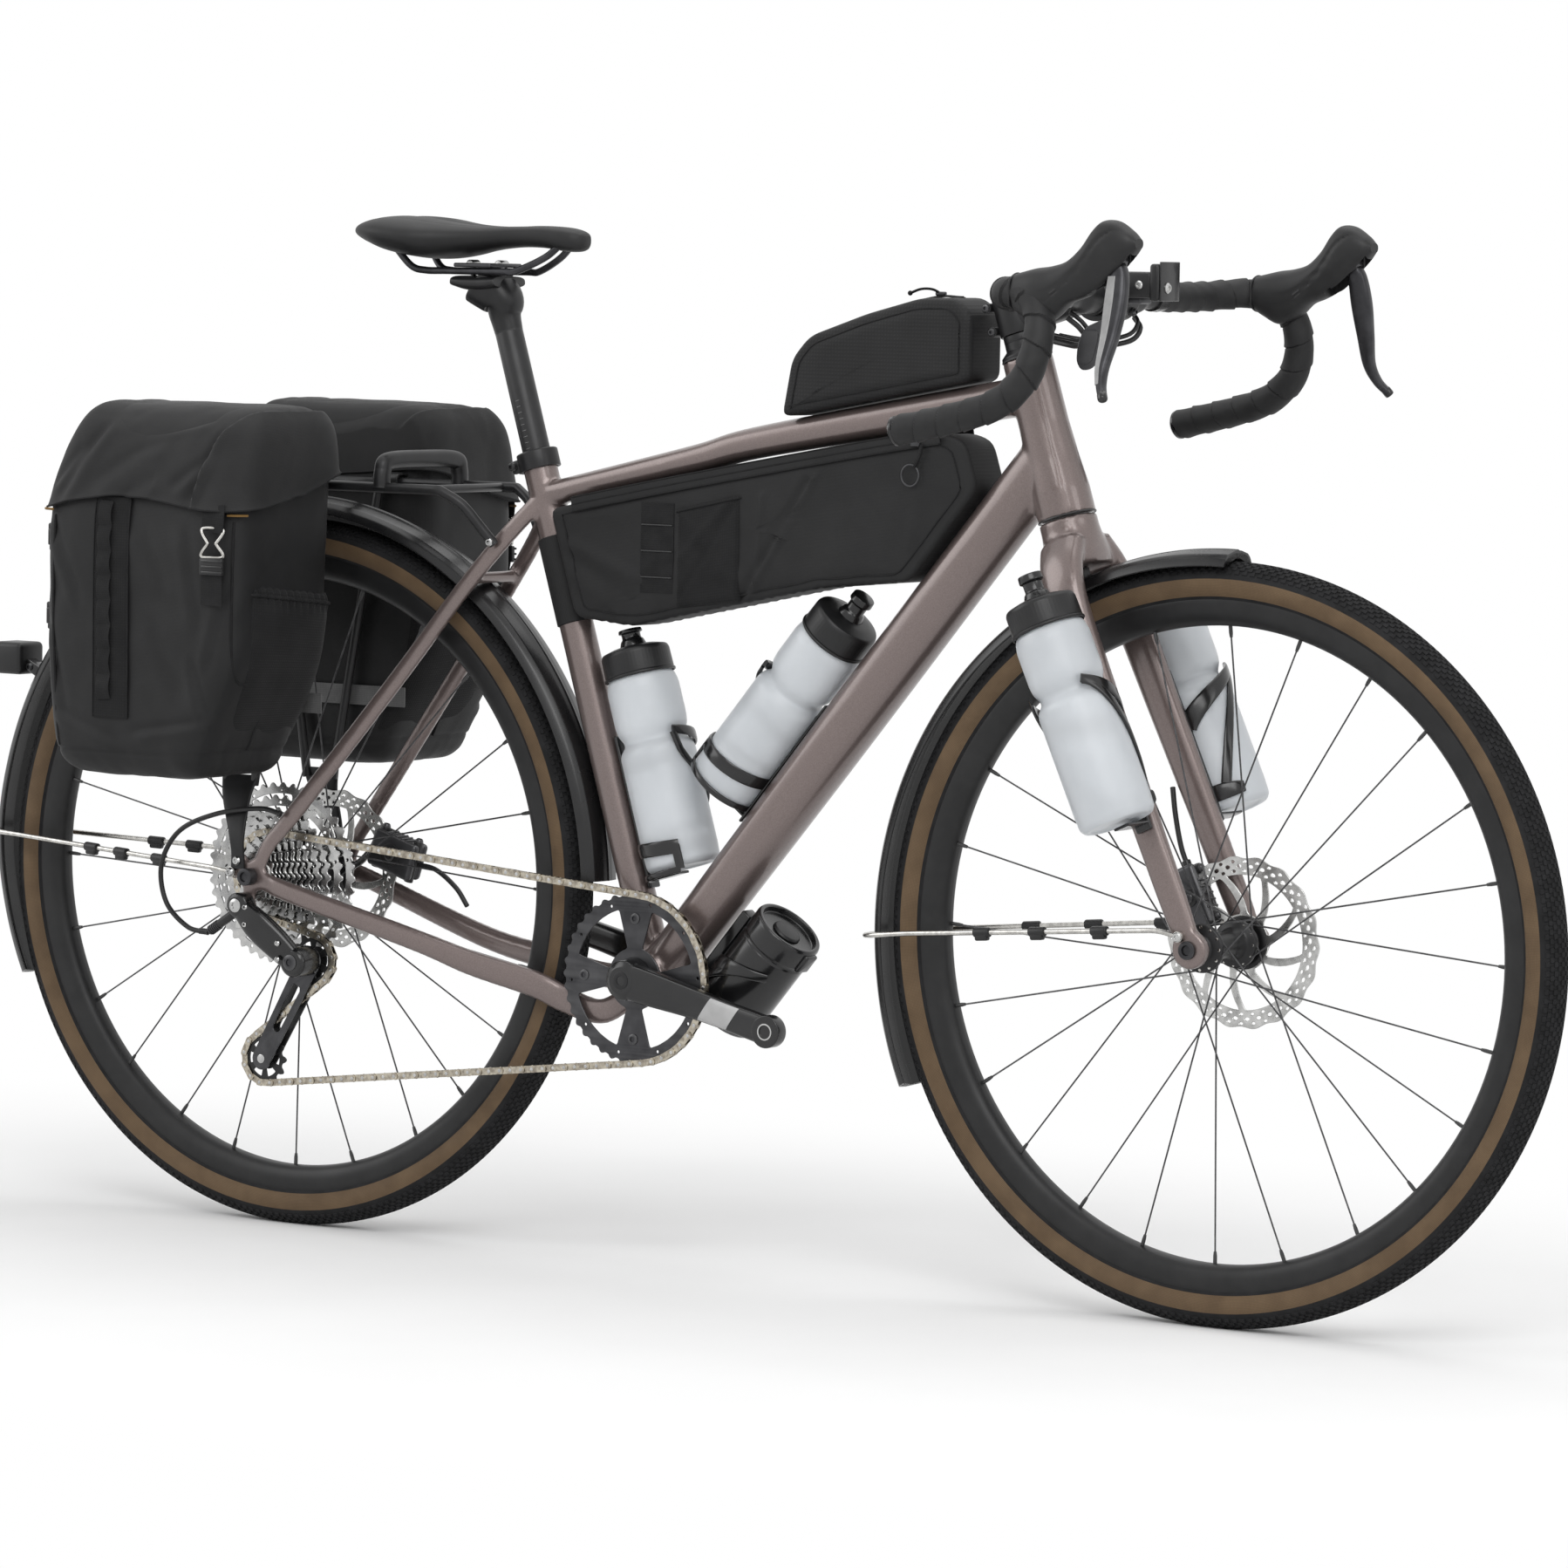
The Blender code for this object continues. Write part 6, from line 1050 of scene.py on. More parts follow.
def hood_form(side):
    """The hood: superellipses along its length, with two grooves down each flank and a slot for the lever
    below."""
    rows = flow(
        [
            (0.036, 0.2165, 0.0205, -0.012, 0.0146), (0.045, 0.2175, 0.0226, -0.0175, 0.0158),
            (0.059, 0.219, 0.0258, -0.024, 0.0168), (0.076, 0.219, 0.0282, -0.0195, 0.0168),
            (0.092, 0.2185, 0.0335, -0.0055, 0.0166), (0.106, 0.2175, 0.0462, 0.0, 0.0163),
            (0.117, 0.2165, 0.062, 0.005, 0.016), (0.126, 0.2155, 0.069, 0.0095, 0.0158),
            (0.139, 0.215, 0.0686, 0.0215, 0.0148), (0.152, 0.215, 0.0606, 0.035, 0.0122),
            (0.1598, 0.215, 0.0535, 0.0445, 0.007),],
        110)
    sides = 72
    turn = 2.0 * math.pi * np.arange(sides)[None] / sides
    power = 2.0 / 2.45
    c = np.sign(np.cos(turn)) * np.abs(np.cos(turn)) ** power
    s = np.sign(np.sin(turn)) * np.abs(np.sin(turn)) ** power
    along = np.linspace(0.0, 1.0, len(rows))[:, None]
    high = (rows[:, 2:3] + rows[:, 3:4]) / 2.0
    half = (rows[:, 2:3] - rows[:, 3:4]) / 2.0
    level = s * (1.0 + 0.0 * along)
    dent = np.zeros_like(level)
    for rest, lift, start, stop in ((-0.28, 0.95, 0.3, 0.8), (-0.02, 0.75, 0.3, 0.84)):
        line = rest + lift * np.clip((along - start) / (stop - start), 0.0, 1.0) ** 1.4
        strength = np.clip((along - start + 0.1) / 0.1, 0.0, 1.0) * np.clip(
            (stop + 0.05 - along) / 0.08, 0.0, 1.0)
        dent += np.exp(-(((level - line) / 0.055) ** 2)) * strength * (np.abs(c) > 0.35)
    out = side * (rows[:, 1:2] + rows[:, 4:5] * c * (1.0 - 0.055 * dent))
    rise = high + half * s * (1.0 + 0.0 * dent)
    ahead = rows[:, :1] + 0.0 * c
    inside = (np.abs(out - side * 0.214) < 0.0078) & (s < 0.2) & (ahead > 0.112) & (ahead < 0.1545)
    rise = np.where(inside, np.minimum(rows[:, 2:3] - 0.01, 0.05), rise)
    points = BAR_CENTRE + np.stack([ahead, out, rise], 2)
    return grid(points, poles=("flat", "flat"), finish="hood rubber")


def make_cockpit():
    clamp = eased([(0.0, 0.219), (0.015, 0.219), (0.0195, 0.215), (0.0195, 0.1765), (0.0, 0.1765)], 0.0012, 3)
    arm = sided(
        [
            (on_steerer(0.1965, 0.0), 0.0165, 0.017, 3.0), (on_steerer(0.194, 0.018), 0.016, 0.0168, 3.0),
            (on_steerer(0.1925, 0.036), 0.016, 0.0165, 3.0), (from_bar(-0.02, 0.002), 0.0185, 0.0165, 3.0),
            (from_bar(0.0, 0.0), 0.02, 0.0165, 3.0)],
        60, 48, "black metal")
    face = eased([(0.0161, 0.0225), (0.0226, 0.0225), (0.0226, -0.0225), (0.0161, -0.0225)], 0.0016, 3, True)
    cap = eased([(0.0, 0.2196), (0.0172, 0.2196), (0.0166, 0.2226), (0.0, 0.2232)], 0.0006, 2)
    stem = [turned(clamp, STEER_UP, HEAD_FOOT, 56, finish="black metal"), arm,
            turned(face, SIDE, BAR_CENTRE, 64, ring=True, finish="black metal"),
            turned(cap, STEER_UP, HEAD_FOOT, 48, finish="black metal"),
            bolt(on_steerer(0.2236, 0.0), STEER_UP, 0.005, 0.003, "satin metal")]
    for rise in (-0.0135, 0.0135):
        for side in (-0.015, 0.015):
            screw = from_bar(0.0205, 0.0, side) + UP * rise
            stem.append(rod(screw - FORWARD * 0.01, screw, 0.0042, 20, finish="black metal"))
            stem.append(bolt(screw, FORWARD, 0.0032, 0.0024, "satin metal"))
    for height in (0.185, 0.208):
        stem.append(
            rod(
                on_steerer(height, -0.0225, -0.013), on_steerer(height, -0.0225, 0.013), 0.0048, 20,
                finish="black metal"))
        stem.append(bolt(on_steerer(height, -0.0225, -0.0132), -SIDE, 0.0036, 0.0024, "satin metal"))
    piece("stem_skin", stem, "steering", ["stem"])
    right, left = bar_line(-1.0)[::-1], bar_line(1.0)
    middle = np.stack([from_bar(0.0, 0.0, y) for y in np.linspace(-0.083, 0.083, 60)])
    line = np.concatenate([right, middle, left])
    thick = 0.0117 + 0.0042 * np.clip((0.062 - np.abs(line[:, 1])) / 0.014, 0.0, 1.0)
    piece(
        "handlebar_skin", [tube(line, thick, BAR_HELPER, 28, finish="black metal")], "steering",
        ["handlebar"])
    for side, label in ((-1.0, "right"), (1.0, "left")):
        piece("bar_tape_skin_" + label, wrapped(side), "steering", ["bar_tape_" + label], 30.0)
        hood = [hood_form(side)]
        lip = flow([from_bar(0.036, z, side * (0.2165 + y)) for z, y in
                    ((0.0207, 0.0), (0.015, 0.0132), (0.0045, 0.0147), (-0.007, 0.0132), (-0.0122, 0.0),
                     (-0.007, -0.0132), (0.0045, -0.0147), (0.015, -0.0132))], 48, True)
        hood.append(tube(lip, 0.0011, FORWARD, 8, closed=True, finish="hood rubber"))
        piece("hood_skin_" + label, hood, "steering", ["hood_" + label], 40.0)
        blade = [
            (from_bar(0.137, 0.032, side * 0.215), 0.006, 0.0065, 3.0),
            (from_bar(0.1415, 0.02, side * 0.2175), 0.0068, 0.0088, 3.0),
            (from_bar(0.143, -0.004, side * 0.224), 0.007, 0.01, 3.0),
            (from_bar(0.143, -0.033, side * 0.233), 0.0064, 0.008, 3.0),
            (from_bar(0.142, -0.059, side * 0.243), 0.0056, 0.0056, 3.0),
            (from_bar(0.146, -0.075, side * 0.252), 0.005, 0.0042, 2.6),
            (from_bar(0.153, -0.086, side * 0.261), 0.0044, 0.0036, 2.6)]
        lever = [sided(blade, 90, 36, "satin metal")]
        inner = [
            (point - FORWARD * deep * 0.42 + SIDE * side * (wide - 0.0004), 0.001, deep * 0.46, 3.0)
            for point, wide, deep, _ in blade[1:6]]
        lever.append(sided(inner, 60, 20, "grey plastic"))
        pin = from_bar(0.137, 0.034, side * 0.214)
        lever.append(rod(pin - SIDE * 0.007, pin + SIDE * 0.007, 0.008, 32, finish="satin metal"))
        lever.append(
            rod(
                from_bar(0.1508, -0.0824, side * 0.2585), from_bar(0.1544, -0.0884, side * 0.2626), 0.0046,
                20, 0.0018, "gloss plastic"))
        for rise in (0.012, -0.014):
            spot = from_bar(0.146, rise, side * (0.2205 - rise * 0.25 + 0.0062))
            lever.append(bolt(spot + SIDE * side * 0.0004, SIDE * side, 0.002, 0.0014, "bright metal"))
        piece("brake_lever_skin_" + label, lever, "lever_" + label, ["brake_lever_" + label])
    outline = [
        (0.13, -0.014), (0.141, -0.014), (0.141, -0.021), (0.124, -0.03), (0.117, -0.055), (0.1085, -0.063),
        (0.0985, -0.064), (0.0935, -0.056), (0.0945, -0.041), (0.101, -0.026)]
    outline = eased([BAR_CENTRE[[0, 2]] + row for row in outline], 0.006, 5, True)
    inset = BAR_CENTRE[[0, 2]] + np.array(
        [
            (0.116, -0.03), (0.1112, -0.052), (0.105, -0.0585), (0.099, -0.059), (0.0952, -0.054),
            (0.0962, -0.041), (0.102, -0.029)])
    paddle = [
        cut_plate(outline, 0.003, -0.2075, (), 0.001, "satin metal"),
        cut_plate(flow(inset, 40, True), 0.0008, -0.2093, (), 0.0003, "satin metal"),
        rod(
            from_bar(0.139, -0.0165, -0.2065), from_bar(0.139, -0.0165, -0.2131), 0.0028, 20,
            finish="satin metal")]
    piece("shift_paddle_skin", paddle, "shift_paddle", ["shift_paddle_right"])
    mount = [block(from_bar(0.039, 0.0115), (0.034, 0.034, 0.024), ease=0.0035, finish="black plastic"),
             block(from_bar(0.06, 0.014), (0.01, 0.038, 0.034), ease=0.003, finish="black plastic"),
             block(from_bar(0.0658, 0.015), (0.0022, 0.034, 0.036), ease=0.0009, finish="gloss plastic"),
             bolt(from_bar(0.0669, 0.009, -0.006), FORWARD, 0.005, 0.0026, "bright metal"),
             block(from_bar(0.03, -0.002), (0.024, 0.02, 0.008), ease=0.0025, finish="satin metal"),
             bolt(from_bar(0.044, 0.0115, -0.0172), -SIDE, 0.004, 0.0024, "bright metal")]
    for side in (-1.0, 1.0):
        loop = 2.0 * math.pi * np.arange(40) / 40
        band = from_bar(0.0, 0.0, side * 0.0275) + np.stack(
            [0.0134 * np.cos(loop), 0.0 * loop, 0.0134 * np.sin(loop)], 1)
        mount.append(sweep(band, 0.004, 0.0016, SIDE, 4.0, 12, closed=True, finish="black plastic"))
        mount.append(
            block(
                from_bar(0.018, 0.006, side * 0.0245), (0.013, 0.008, 0.0085), ease=0.002,
                finish="black plastic"))
    piece("light_mount_skin", mount, "steering", ["light_mount"])
    hoses = [
        block(on_steerer(0.1675, 0.0215), (0.011, 0.026, 0.006), STEER_UP, ease=0.0016, finish="housing")]
    for side in (-1.0, 1.0):
        line = flow(
            [
                from_bar(-0.006, -0.0195, side * 0.06), from_bar(0.004, -0.029, side * 0.054),
                from_bar(0.003, -0.04, side * 0.04), from_bar(-0.016, -0.0455, side * 0.024),
                from_bar(-0.036, -0.0445, side * 0.0125), on_steerer(0.167, 0.0215, side * 0.008)],
            90)
        hoses.append(tube(line, 0.0025, BAR_HELPER, 14, 0.0008, finish="housing"))
        second = line + [0.0, side * -0.0048, 0.0052]
        hoses.append(tube(second[:-8], 0.0021, BAR_HELPER, 12, 0.0008, finish="housing"))
    piece("handlebar_hose_skin", hoses, "steering", ["handlebar_hoses"])


# Brakes and drive
def caliper_forms(centre, along, size, reach):
    """Two half bodies either side of the rotor with a bridge, pistons' bosses, bolts and cooling ribs."""
    along = unit(along)
    rise = unit(np.cross(along, SIDE))
    forms = []
    long, wide, high = size
    for side in (-1.0, 1.0):
        half = wide / 2.0 - 0.0024
        middle = centre + SIDE * side * (wide / 4.0 + 0.0012)
        forms.append(block(middle, (long, half, high), along, ease=0.0042, finish="satin metal"))
        boss = centre + SIDE * side * (wide / 2.0)
        forms.append(
            rod(boss - SIDE * side * 0.004, boss + SIDE * side * 0.0016, high * 0.3, 32, 0.001, "black metal")
        )
        forms.append(bolt(boss + SIDE * side * 0.0016, SIDE * side, high * 0.16, 0.0016, "satin metal"))
    for at in (-0.4, 0.4):
        foot = centre + along * long * at * 0.98
        forms.append(
            rod(foot - rise * high * 0.56, foot + rise * high * 0.56, 0.0046, 20, finish="black metal"))
        forms.append(bolt(foot + rise * high * 0.56 * reach, rise * reach, 0.004, 0.003, "satin metal"))
    bridge = centre + rise * reach * (high / 2.0 - 0.0035)
    forms.append(block(bridge, (long * 0.66, wide * 0.92, 0.0056), along, ease=0.002, finish="satin metal"))
    for k in range(5):
        rib = bridge + along * (k - 2) * long * 0.11 + rise * reach * 0.0032
        forms.append(block(rib, (0.0024, wide * 0.8, 0.0022), along, ease=0.0008, finish="satin metal"))
    return forms


def make_brakes():
    front = caliper_forms(on_blade(0.056, 0.0396, -0.0305), BLADE_UP, (0.06, 0.024, 0.027), -1.0)
    line = flow(
        [
            on_blade(0.082, 0.044, -0.03), on_blade(0.105, 0.0445, -0.03), on_blade(0.135, 0.046, -0.025),
            on_blade(0.16, 0.049, -0.0195)],
        50)
    front.append(tube(line, 0.0025, SIDE, 14, 0.0008, finish="housing"))
    front.append(
        rod(on_blade(0.078, 0.0438, -0.03), on_blade(0.092, 0.0442, -0.03), 0.0042, 20, 0.001, "black metal"))
    piece("front_caliper_skin", front, "steering", ["front_brake_caliper"])
    rear = caliper_forms(
        from_axle(REAR_AXLE, 0.08, 0.019, 0.0557), (1.0, 0.0, -0.32), (0.054, 0.024, 0.038), 1.0)
    line = flow(
        [
            from_axle(REAR_AXLE, 0.1, 0.01, 0.059), from_axle(REAR_AXLE, 0.125, 0.006, 0.059),
            from_axle(REAR_AXLE, 0.15, -0.01, 0.0585), from_axle(REAR_AXLE, 0.164, -0.0275, 0.059)],
        50)
    rear.append(tube(line, 0.0025, UP, 14, 0.0008, finish="housing"))
    piece("rear_caliper_skin", rear, "frame", ["rear_brake_caliper"])


def toothed(teeth, low, high, axle):
    """A wheel's outline: between a low and a high radius each tooth is a rounded trapezium."""
    share = 0.42
    steps = np.array(
        [
            (-0.5, 0.0), (-0.5 * share - 0.12, 0.12), (-0.5 * share, 0.62), (-0.5 * share + 0.14, 1.0),
            (0.5 * share - 0.14, 1.0), (0.5 * share, 0.62), (0.5 * share + 0.12, 0.12)])
    turn = (np.arange(teeth)[:, None] + steps[None, :, 0]).ravel() * 2.0 * math.pi / teeth
    radius = low + (high - low) * np.tile(steps[:, 1], teeth)
    return axle[[0, 2]] + np.stack([radius * np.cos(turn), radius * np.sin(turn)], 1)


def windows(axle, low, high, count, share, start=0.0, lean=0.0):
    """Rounded windows between two radii, as many as count, each over a share of its pitch and leaning
    with radius."""
    found = []
    for k in range(count):
        turn = start + 2.0 * math.pi * k / count
        half = math.pi / count * share
        edge = np.linspace(-half, half, 7)
        inner = np.stack([np.full(7, low), turn + edge[::-1] * min(1.0, high / low * 0.72)], 1)
        outer = np.stack([np.full(7, high), turn + lean + edge], 1)
        polar_rows = np.concatenate([outer, inner])
        loop = axle[[0, 2]] + polar_rows[:, :1] * np.stack(
            [np.cos(polar_rows[:, 1]), np.sin(polar_rows[:, 1])], 1)
        found.append(eased(loop, 0.0025, 2, True))
    return found


def round_hole(axle, radius, count=40):
    loop = 2.0 * math.pi * np.arange(count) / count
    return axle[[0, 2]] + radius * np.stack([np.cos(loop), np.sin(loop)], 1)


def cassette_forms():
    """Twelve toothed cogs on a spider; the big ones have leaning windows."""
    forms = []
    for k, teeth in enumerate(COG_TEETH):
        pitch = pitch_radius(teeth)
        holes = [round_hole(REAR_AXLE, 0.0172)]
        if pitch > 0.044:
            holes += windows(REAR_AXLE, 0.0245, pitch - 0.0095, 7, 0.74, 0.15 * k, 0.1)
            for n in range(14):
                turn = 2.0 * math.pi * (n + 0.5) / 14
                spot = REAR_AXLE + (pitch - 0.0062) * np.array([math.cos(turn), 0.0, math.sin(turn)])
                holes.append(round_hole(spot, 0.0017, 8))
        forms.append(
            cut_plate(
                toothed(teeth, pitch - 0.003, pitch + 0.0013, REAR_AXLE), 0.0016,
                CHAINLINE - (CHAIN_COG - k) * 0.00365, holes, 0.0003, "bright metal"))
    small, large = CHAINLINE - CHAIN_COG * 0.00365, CHAINLINE + (11 - CHAIN_COG) * 0.00365
    carrier = eased(
        [
            (0.017, small - 0.0008), (0.017, large + 0.0008), (0.0215, large + 0.0008),
            (0.0205, small + 0.018), (0.018, small - 0.0008)],
        0.0006, 2, True)
    forms.append(turned(carrier, SIDE, REAR_AXLE, 56, ring=True, finish="black metal"))
    lock = eased(
        [(0.0125, small - 0.003), (0.0172, small - 0.003), (0.0178, small - 0.001), (0.0125, small - 0.001)],
        0.0004, 2, True)
    forms.append(turned(lock, SIDE, REAR_AXLE, 40, ring=True, finish="bright metal"))
    return forms


def chain_run():
    """Places of the pins: tangents and arcs round the four wheels, at equal steps of the
    pitch line."""
    circles = [(BRACKET, pitch_radius(40), 1.0), (REAR_AXLE, pitch_radius(COG_TEETH[CHAIN_COG]), 1.0),
               (CAGE_AXIS, pitch_radius(12), -1.0), (LOWER_AXIS, pitch_radius(12), 1.0)]
    courses = []
    for (start, radius, sense), (end, other, other_sense) in zip(circles, circles[1:] + circles[:1]):
        span = end - start
        courses.append(
            math.atan2(span[2], span[0])
            + math.asin((radius * sense - other * other_sense) / np.linalg.norm(span)))
    rows = []
    for k, (centre, radius, sense) in enumerate(circles):
        arrive, leave = courses[k - 1] - math.pi / 2.0, courses[k] - math.pi / 2.0
        turn = ((leave - arrive) * sense) % (2.0 * math.pi)
        angle = arrive + sense * turn * np.linspace(0.0, 1.0, 60)
        rows.append(centre + radius * sense * np.stack([np.cos(angle), 0.0 * angle, np.sin(angle)], 1))
    rows = np.concatenate(rows)
    length = np.linalg.norm(np.diff(np.concatenate([rows, rows[:1]]), axis=0), axis=1).sum()
    return evenly(rows, 2 * round(length / 0.0254), True)


def chain_parts(pins):
    """Which part each pin belongs to: 1 between the pulleys and round the lower one, 2 on the run that
    grows and shrinks ahead of it as the cage swings, 0 elsewhere. The pins start at the chainring and end
    on that run."""
    way = unit(LOWER_AXIS - CAGE_AXIS)
    order = np.arange(len(pins))
    around = np.linalg.norm(pins - LOWER_AXIS, axis=1) < pitch_radius(12) + 0.0004
    last = order[around].max()
    behind = pins[:, 0] < CHAIN_REACH
    on_cage = behind & (order <= last) & ((pins - CAGE_AXIS) @ way > 0.006) & (order > len(pins) // 2)
    return np.where(on_cage, 1, np.where(behind & (order > last), 2, 0))


def chain_forms(part):
    """Link plates: two round ends with a waist, outer and inner pairs in turn, with rollers between and
    pins through."""
    pins = chain_run()
    mine = chain_parts(pins) == part
    parity_of = np.arange(len(pins)) % 2
    after = np.roll(pins, -1, 0)
    middle, way = (pins + after) / 2.0 + SIDE * CHAINLINE, unit(after - pins)
    rise = np.cross(way, SIDE)
    loop = 2.0 * math.pi * np.arange(22) / 22
    reach = 0.00635 + 0.0001
    x = np.where(np.cos(loop) > 0.0, 1.0, -1.0) * (
        reach * np.minimum(1.0, np.abs(np.cos(loop)) * 1.9)) + 0.004 * np.cos(loop)
    z = 0.0041 * np.sin(loop) * (0.76 + 0.24 * np.abs(np.cos(loop)) ** 0.7)
    forms = []
    for parity, out, thick in ((0, 0.00255, 0.00085), (1, 0.00165, 0.00085)):
        for side in (-1.0, 1.0):
            y = side * out + np.array([-thick / 2.0, thick / 2.0])
            rings = np.stack([np.stack([x, np.full(22, level), z], 1) for level in y])
            plate = grid(rings, poles=("flat", "flat"), finish="chain steel")
            chosen = mine & (parity_of == parity)
            forms.append(plate.placed(matrices_from(middle[chosen], way[chosen], SIDE, rise[chosen])))
    roller = rod((0.0, -0.0012, 0.0), (0.0, 0.0012, 0.0), 0.0038, 12, 0.0004, "chain steel")
    pin = rod((0.0, -0.0032, 0.0), (0.0, 0.0032, 0.0), 0.0018, 10, 0.0003, "bright metal")
    for form in (roller, pin):
        forms.append(form.placed(matrices_from(pins[mine] + SIDE * CHAINLINE, way[mine], SIDE, rise[mine])))
    return forms


def arm_of(side, stations):
    """A crank arm: superellipses from the bracket out to the pedal's eye."""
    tilt = CRANK_TILT
    way = np.array([math.cos(tilt), 0.0, math.sin(tilt)]) * (1.0 if side < 0.0 else -1.0)
    square = np.array([-way[2], 0.0, way[0]])
    rows = flow(stations, 70)
    c, s = oval(40, np.full((len(rows), 1), 3.6))
    centre = BRACKET + rows[:, :1] * way + SIDE * side * (rows[:, 1:2] + rows[:, 2:3]) / 2.0
    points = centre[:, None] + square * (rows[:, 3:4] * c)[..., None] + SIDE * (
        side * (rows[:, 2:3] - rows[:, 1:2]) / 2.0 * s)[..., None]
    return points, rows, way, square


def make_drive():
    """Cranks, ring, cogs, chain, cage, pulleys and derailleur."""
    right = [
        (-0.004, 0.048, 0.07, 0.015), (0.0, 0.048, 0.07, 0.0175), (0.03, 0.05, 0.0695, 0.017),
        (0.08, 0.051, 0.068, 0.0145), (0.12, 0.056, 0.07, 0.0135), (0.1725, 0.0612, 0.0745, 0.0135),
        (0.185, 0.062, 0.0738, 0.0085)]
    left = [
        (-0.004, 0.05, 0.0655, 0.014), (0.0, 0.05, 0.0655, 0.0165), (0.03, 0.05, 0.065, 0.016),
        (0.08, 0.052, 0.066, 0.0145), (0.12, 0.057, 0.07, 0.0135), (0.1725, 0.0612, 0.0745, 0.0135),
        (0.185, 0.062, 0.0738, 0.0085)]
    points, rows, way, square = arm_of(-1.0, right)
    forms = [grid(points, poles=("flat", "flat"), finish="gloss plastic")]
    lift = np.linspace(-0.88, 0.88, 24)[None]
    shift = np.linspace(-0.0175, 0.0175, 24)[:, None]
    out = 0.114 + shift + lift * 0.006
    half, inner_y, outer_y = (np.interp(out, rows[:, 0], rows[:, column]) for column in (3, 1, 2))
    bulge = (1.0 - np.abs(lift) ** 3.6) ** (1.0 / 3.6)
    sheets = [
        BRACKET + out[..., None] * way + (half * lift)[..., None] * square - SIDE
        * ((inner_y + outer_y) / 2.0 + (outer_y - inner_y) / 2.0 * bulge + proud)[..., None]
        for proud in (0.0003, -0.001)]
    forms.append(
        grid(
            np.concatenate([sheets[0], sheets[1][:, ::-1]], 1), poles=("flat", "flat"), finish="print silver")
    )
    eye = BRACKET + way * CRANK_LENGTH
    boss = eased(
        [
            (0.0, -0.0702), (0.013, -0.0702), (0.019, -0.067), (0.021, -0.0473), (0.0145, -0.0473),
            (0.0145, 0.064), (0.0, 0.064)],
        0.001, 3)
    forms.append(turned(boss, SIDE, BRACKET, 56, finish="gloss plastic"))
    forms.append(
        turned(
            eased([(0.0042, -0.07), (0.0085, -0.07), (0.0085, -0.0708), (0.0042, -0.0708)], 0.0003, 2, True),
            SIDE, BRACKET, 40, ring=True, finish="black metal"))
    inner, outer_face = -0.0608, -0.075
    ring = eased(
        [(0.0072, inner), (0.0155, inner), (0.0155, outer_face), (0.0072, outer_face)], 0.0012, 3, True)
    forms.append(turned(ring, SIDE, eye, 44, ring=True, finish="gloss plastic"))
    sleeve = [
        (0.0066, inner - 0.0006), (0.008, inner - 0.0006), (0.008, outer_face - 0.0004),
        (0.0066, outer_face - 0.0004)]
    forms.append(turned(sleeve, SIDE, eye, 32, ring=True, finish="bright metal"))
    piece("crank_skin_right", forms, "crankset", ["crank_right"])
    points, rows, way, square = arm_of(1.0, left)
    forms = [grid(points, poles=("flat", "flat"), finish="gloss plastic")]
    eye = BRACKET + way * CRANK_LENGTH
    boss = eased([(0.0147, 0.0386), (0.019, 0.0386), (0.019, 0.0665), (0.0147, 0.0665)], 0.001, 3, True)
    forms.append(turned(boss, SIDE, BRACKET, 56, ring=True, finish="gloss plastic"))
    ring = eased([(0.0072, 0.0608), (0.0155, 0.0608), (0.0155, 0.075), (0.0072, 0.075)], 0.0012, 3, True)
    forms.append(turned(ring, SIDE, eye, 44, ring=True, finish="gloss plastic"))
    forms.append(
        turned(
            [(0.0066, 0.0606), (0.008, 0.0606), (0.008, 0.0754), (0.0066, 0.0754)], SIDE, eye, 32, ring=True,
            finish="bright metal"))
    piece("crank_skin_left", forms, "crankset", ["crank_left"])
    tilt = CRANK_TILT
    pitch = pitch_radius(40)
    holes = [round_hole(BRACKET, 0.015)] + windows(BRACKET, 0.03, 0.068, 4, 0.64, tilt + math.radians(57.0))
    for k in range(40):
        turn = 2.0 * math.pi * (k + 0.5) / 40
        if k % 4 == 0:
            holes.append(
                round_hole(
                    BRACKET + (pitch - 0.0075) * np.array([math.cos(turn), 0.0, math.sin(turn)]), 0.0016, 8))
    ring = [
        cut_plate(
            toothed(40, pitch - 0.0014, pitch + 0.0014, BRACKET), 0.002, CHAINLINE, holes, 0.0003,
            "satin metal")]
    for k in range(4):
        turn = tilt + math.radians(12.0) + 2.0 * math.pi * k / 4.0
        spot = BRACKET + 0.058 * np.array([math.cos(turn), 0.0, math.sin(turn)]) + SIDE * (CHAINLINE - 0.0012)
        if k:
            ring.append(bolt(spot, -SIDE, 0.0052, 0.0016, "satin metal"))
    piece("chainring_skin", ring, "crankset", ["chainring"])
    piece("cassette_skin", cassette_forms(), "cogs", ["cassette"])
    piece("chain_links", chain_forms(0), "frame", ["chain"])
    piece("chain_cage_links", chain_forms(1), "cage")
    slack = piece("chain_slack_links", chain_forms(2), None)
    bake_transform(slack)
    way = unit(LOWER_AXIS - CAGE_AXIS)
    lean = math.atan2(way[2], way[0])
    rows = []
    for centre, radius, start in (
            (CAGE_AXIS, 0.013, lean + math.pi / 2.0), (LOWER_AXIS, 0.011, lean - math.pi / 2.0)):
        angle = start + math.pi * np.arange(14) / 13.0
        rows.append(centre[[0, 2]] + radius * np.stack([np.cos(angle), np.sin(angle)], 1))
    outline = np.concatenate(rows)
    across = np.array([-way[2], 0.0, way[0]])
    slot = [
        CAGE_AXIS + way * at + across * out for at,
        out in ((0.03, -0.0055), (0.084, -0.0045), (0.084, 0.0045), (0.03, 0.0055))]
    slot = eased(np.array(slot)[:, [0, 2]], 0.004, 4, True)
